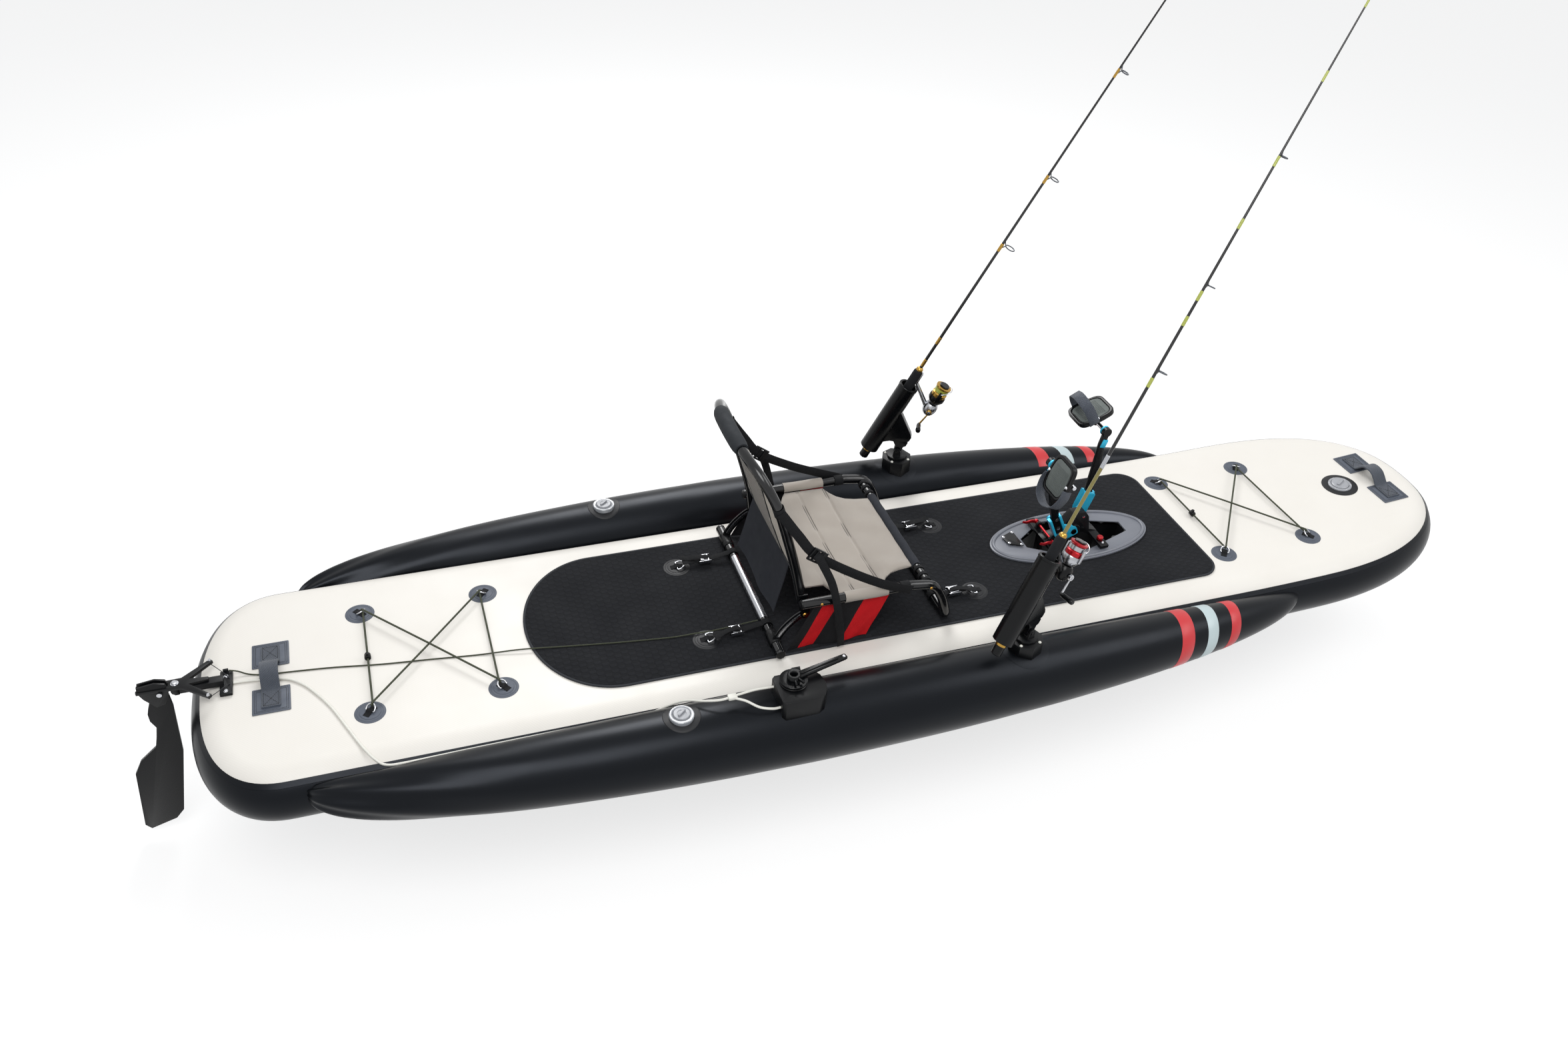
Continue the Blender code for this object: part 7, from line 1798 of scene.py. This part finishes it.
def make_rod_holder(name):
    side = SIDES[name]
    refined(f"rod_base_{name}", MOULDED, ROOT, 0.0035)
    piece(f"rod_base_patch_{name}", pontoon_disc(
        side, HOLDER_X, HOLDER_Y, (0.0, 0.03, 0.058, 0.064, 0.0652), 0.0012), HULL_BLACK)
    screw = turned(mm((0, 2.6), (2.6, 2.4), (4, 0.8), (4.2, 0), (0, -0.3)), steps=24)
    heads = repeated(screw, [at(HOLDER_X + u, side * HOLDER_Y + v, BASE_TOP_Z)
                             for u, v in mm((26, 26), (-26, 26), (26, -26), (-26, -26))], SHEATH_WHITE)
    piece(f"rod_base_screws_{name}", heads, SHEATH_WHITE)
    refined(f"rod_swivel_{name}", MOULDED, f"holder_swivel_{name}", 0.0008)
    place, body = tilt_place(name), f"holder_tube_{name}"
    wall = turned(
        [(TUBE_BORE, TUBE_BOTTOM + 0.001), (TUBE_BORE + 0.001, TUBE_BOTTOM), (TUBE_WALL - 0.001, TUBE_BOTTOM),
         (TUBE_WALL, TUBE_BOTTOM + 0.001), (TUBE_WALL, TUBE_TOP - 0.008),
         (TUBE_WALL + 0.0012, TUBE_TOP - 0.007), (TUBE_WALL + 0.0012, TUBE_TOP - 0.0014),
         (TUBE_WALL, TUBE_TOP), (TUBE_BORE + 0.0008, TUBE_TOP), (TUBE_BORE, TUBE_TOP - 0.0008)],
        at(-HOLDER_TUBE_OFFSET, 0, 0), 72, closed=True)
    wall_x = TUBE_WALL - HOLDER_TUBE_OFFSET - 0.003
    bracket = [(wall_x, 0.118), (0.008, 0.068), (0.014, 0.06), (0.014, 0.046), (0.01, 0.042), (0.014, 0.038),
               (0.014, 0.026), (0.009, 0.02), (0.011, 0.002), (0.008, -0.01), (-0.006, -0.012),
               (-0.011, -0.004), (-0.014, 0.012), (-0.026, 0.022), (-0.036, 0.018), (wall_x, 0.004)]
    fin = slab(bracket, 0.022, side_plane(0), 0.001, [circle((0, 0), 0.005, 28)])
    piece(f"holder_tube_and_bracket_{name}", moved([wall, fin], place), GLASSY_BLACK, body,
          nodes=(f"rod_tube_{name}",))


def bend(z):
    return BLANK_BEND * (max(z - GRIP_TOP, 0) / (ROD_TOP - GRIP_TOP)) ** 2


def blank_radius(z):
    return BLANK_RADII[0] + (BLANK_RADII[1] - BLANK_RADII[0]) * (z - GRIP_TOP) / (ROD_TOP - GRIP_TOP)


def blank_part(low, high, more=0.0, rounded=0.0):
    count = max(2, round((high - low) / 0.1) + 1)
    heights = [low + (high - low) * k / (count - 1) for k in range(count)]
    return tube([(bend(z), 0, z) for z in heights], 0.004, 18, [blank_radius(z) + more for z in heights],
                rounded=rounded)


def make_rod(name):
    place, body = tilt_place(name) @ at(-HOLDER_TUBE_OFFSET, 0, TUBE_BOTTOM), f"rod_{name}_body"
    near = name == "starboard"
    grip = turned([(0, GRIP_TOP - 0.0002), (0.0085, GRIP_TOP), (0.0105, GRIP_TOP - 0.001),
                   (GRIP_RADIUS, GRIP_TOP - 0.007), (GRIP_RADIUS, 0.2), (0.0115, 0.18), (0.0115, 0.0),
                   (0, 0.0)], steps=40)
    piece(f"rod_grip_{name}", moved([grip], place), ROD_FOAM, body, nodes=(f"rod_{name}",))
    butt = turned([(0, -0.0005), (0.0115, -0.0005), (GRIP_RADIUS, -0.006), (GRIP_RADIUS, ROD_BUTT + 0.002),
                   (GRIP_RADIUS - 0.002, ROD_BUTT), (0, ROD_BUTT)], steps=40)
    piece(f"rod_butt_{name}", moved([butt], place), GLASSY_BLACK, body)
    rings = [turned(mm((11.2, -0.6), (12.6, -0.4), (14, -6), (14.1, -10.5), (13, -11), (11.2, -10)), steps=40,
                    closed=True),
             turned([(0.006, GRIP_TOP - 0.001), (0.01, GRIP_TOP - 0.0006), (0.0102, GRIP_TOP + 0.004),
                     (0.007, GRIP_TOP + 0.009), (0.0046, GRIP_TOP + 0.01), (0.0044, GRIP_TOP)], steps=40,
                    closed=True)]
    piece(f"rod_rings_{name}", moved(rings, place), GOLD, body)
    if near:
        piece("blank_lower_starboard", moved([blank_part(GRIP_TOP - 0.004, 0.49)], place), BLANK_OLIVE, body)
        piece("blank_joint_starboard", moved([blank_part(0.49, 0.524, 0.0005, 0.0004)], place), SILVER, body)
        upper, wraps, made = 0.524, (0.715, 0.87, 0.932, 1.105, 1.25, 1.44, 1.6), WRAP_GREEN
    else:
        upper, wraps, made = GRIP_TOP - 0.004, (0.33, 0.412, 0.735, 0.95, 1.255), GOLD
    piece(f"blank_upper_{name}", moved([blank_part(upper, ROD_TOP)], place), BLANK_DARK, body)
    piece(f"blank_wraps_{name}", moved([blank_part(z - 0.012, z + 0.012, 0.0006, 0.0004) for z in wraps],
                                       place), made, body)
    guides = []
    for index, z in enumerate(GUIDE_HEIGHTS):
        ring_radius = 0.013 - 0.0018 * index
        away = bend(z) + blank_radius(z) + ring_radius + 0.006 - 0.0008 * index
        guides.append(tube([(away + ring_radius * cos(t), ring_radius * sin(t), z + 0.01) for t in turns(32)],
                           0.0016, 12, cyclic=True))
        for foot in (-0.004, 0.024):
            guides.append(
                bar((bend(z), 0, z + foot), (away - ring_radius, 0, z + 0.01), 0.0014, 10, rounded=0.0002))
    piece(f"rod_guides_{name}", moved(guides, place), GUIDE_GREY, body)
    make_reel_body(name, place, near)
    make_reel_rotor(name, place, near)
    make_reel_handle(name, place, near)


def make_reel_body(name, place, near):
    body = f"rod_{name}_body"
    foot = box((0.005, 0.012, 0.04), (GRIP_RADIUS + 0.001, 0, 0.279), 0.0018)
    stem = tube(
        smooth([(GRIP_RADIUS + 0.001, 0, 0.2629), (0.04, 0, 0.2405), (REEL_OFFSET - 0.01, 0, REEL_CRANK_Z)],
               5), 0.005, 20, [0.005 + 0.0025 * k / 10 for k in range(11)])
    egg = turned(mm((0, 22), (10, 21.8), (16.5, 20), (20, 14), (21.2, 6), (20.5, -2), (18.6, -9), (15, -15.5),
                    (9, -20.5), (0, -22.2)), at(REEL_OFFSET, 0, REEL_CRANK_Z), 48)
    piece(f"reel_housing_{name}", moved([foot, stem, egg], place), GLASSY_BLACK if near else SILVER, body)
    cover = turned(mm((0, 1.6), (10, 1.2), (12.8, 0), (13.2, -4), (0, -4)),
                   plane((REEL_OFFSET, 0.0176, REEL_CRANK_Z - 0.001), (1, 0, 0), (0, 0, -1)), 40)
    shaft = bar_across(REEL_OFFSET, REEL_CRANK_Z, -0.01, REEL_CRANK_Y - 0.008, 0.0045, 24)
    spindle = bar((REEL_OFFSET, 0, REEL_CRANK_Z + 0.018), (REEL_OFFSET, 0, REEL_CRANK_Z + 0.04), 0.0035, 20)
    piece(f"reel_steel_{name}", moved([cover, shaft, spindle], place), SILVER, body)


def make_reel_rotor(name, place, near):
    low, turning = REEL_CRANK_Z + 0.0226, f"rotor_{name}_body"
    centre = at(REEL_OFFSET, 0, low)
    rotor = turned(mm((3.9, 0), (13, 0), (20, 9), (24, 16), (24, 26), (23.2, 28), (3.9, 28)), centre, 56,
                   closed=True)
    arms = [box((0.011, 0.005, 0.036), (REEL_OFFSET, y, low + 0.034), 0.0016) for y in (0.0255, -0.0255)]
    piece(f"reel_rotor_body_{name}", moved([rotor, *arms], place), SILVER if near else GLASSY_BLACK, turning,
          nodes=(f"reel_rotor_{name}",))
    spool = turned(mm((0, 28.4), (21.5, 28.4), (22.2, 39), (19, 42), (19, 55.5), (22.6, 58.5), (22.9, 62.5),
                      (16, 64), (0, 64)), centre, 56)
    piece(f"reel_spool_{name}", moved([spool], place), RED_ANODISED if near else GOLD, turning)
    top = turned(mm((0, 64.2), (15, 64.2), (15.2, 66.4), (13.5, 68), (0, 68.2)), centre, 48)
    line = turned(mm((19.2, 42.5), (20.6, 43.5), (20.6, 54.5), (19.2, 55.2)), centre, 48, closed=True)
    piece(f"reel_drag_knob_{name}", moved([top], place), GLASSY_BLACK, turning)
    piece(f"reel_winding_{name}", moved([line], place), WRAP_GREEN if not near else SILVER, turning)
    path = [(REEL_OFFSET + 0.026 * sin(t), -0.0285 * cos(t),
             low + 0.048 + 0.016 * sin(t)) for t in (pi * i / 24 for i in range(25))]
    piece(f"reel_bail_{name}", moved([tube(path, 0.0014, 14, rounded=0.0004)], place), CHROME, turning)


def make_reel_handle(name, place, near):
    root_y, cranking = REEL_CRANK_Y - 0.0005, f"reel_crank_{name}_body"
    hub = turned(mm((4.9, 0), (7.2, 0), (8, 1), (8, 6.2), (7.2, 7), (4.9, 7)),
                 at(REEL_OFFSET, root_y, REEL_CRANK_Z) @ spun(90, "X"), 32, closed=True)
    end = Vector((REEL_OFFSET - 0.006, root_y - 0.006, REEL_CRANK_Z - 0.046))
    start = Vector((REEL_OFFSET, root_y - 0.0035, REEL_CRANK_Z - 0.0072))
    arm = bar(start, end, 0.0022, 18, 0.003)
    piece(f"reel_handle_arm_{name}", moved([hub, arm], place), CHROME if near else GOLD, cranking,
          nodes=(f"reel_crank_{name}",))
    knob = tube([end + Vector((0, 0.002 - 0.042 * k / 6, 0)) for k in range(7)], 0.006, 28,
                (0.005, 0.0062, 0.0068, 0.0062, 0.0072, 0.0076, 0.0066), rounded=0.0014)
    piece(f"reel_handle_knob_{name}", moved([knob], place), GLASSY_BLACK, cranking)


make_rudder()
make_sheaths()
make_lift_line()
make_control()
make_drive()
for side_name in SIDES:
    make_crank(side_name)
    make_pedal(side_name)
    make_rod_holder(side_name)
    make_rod(side_name)
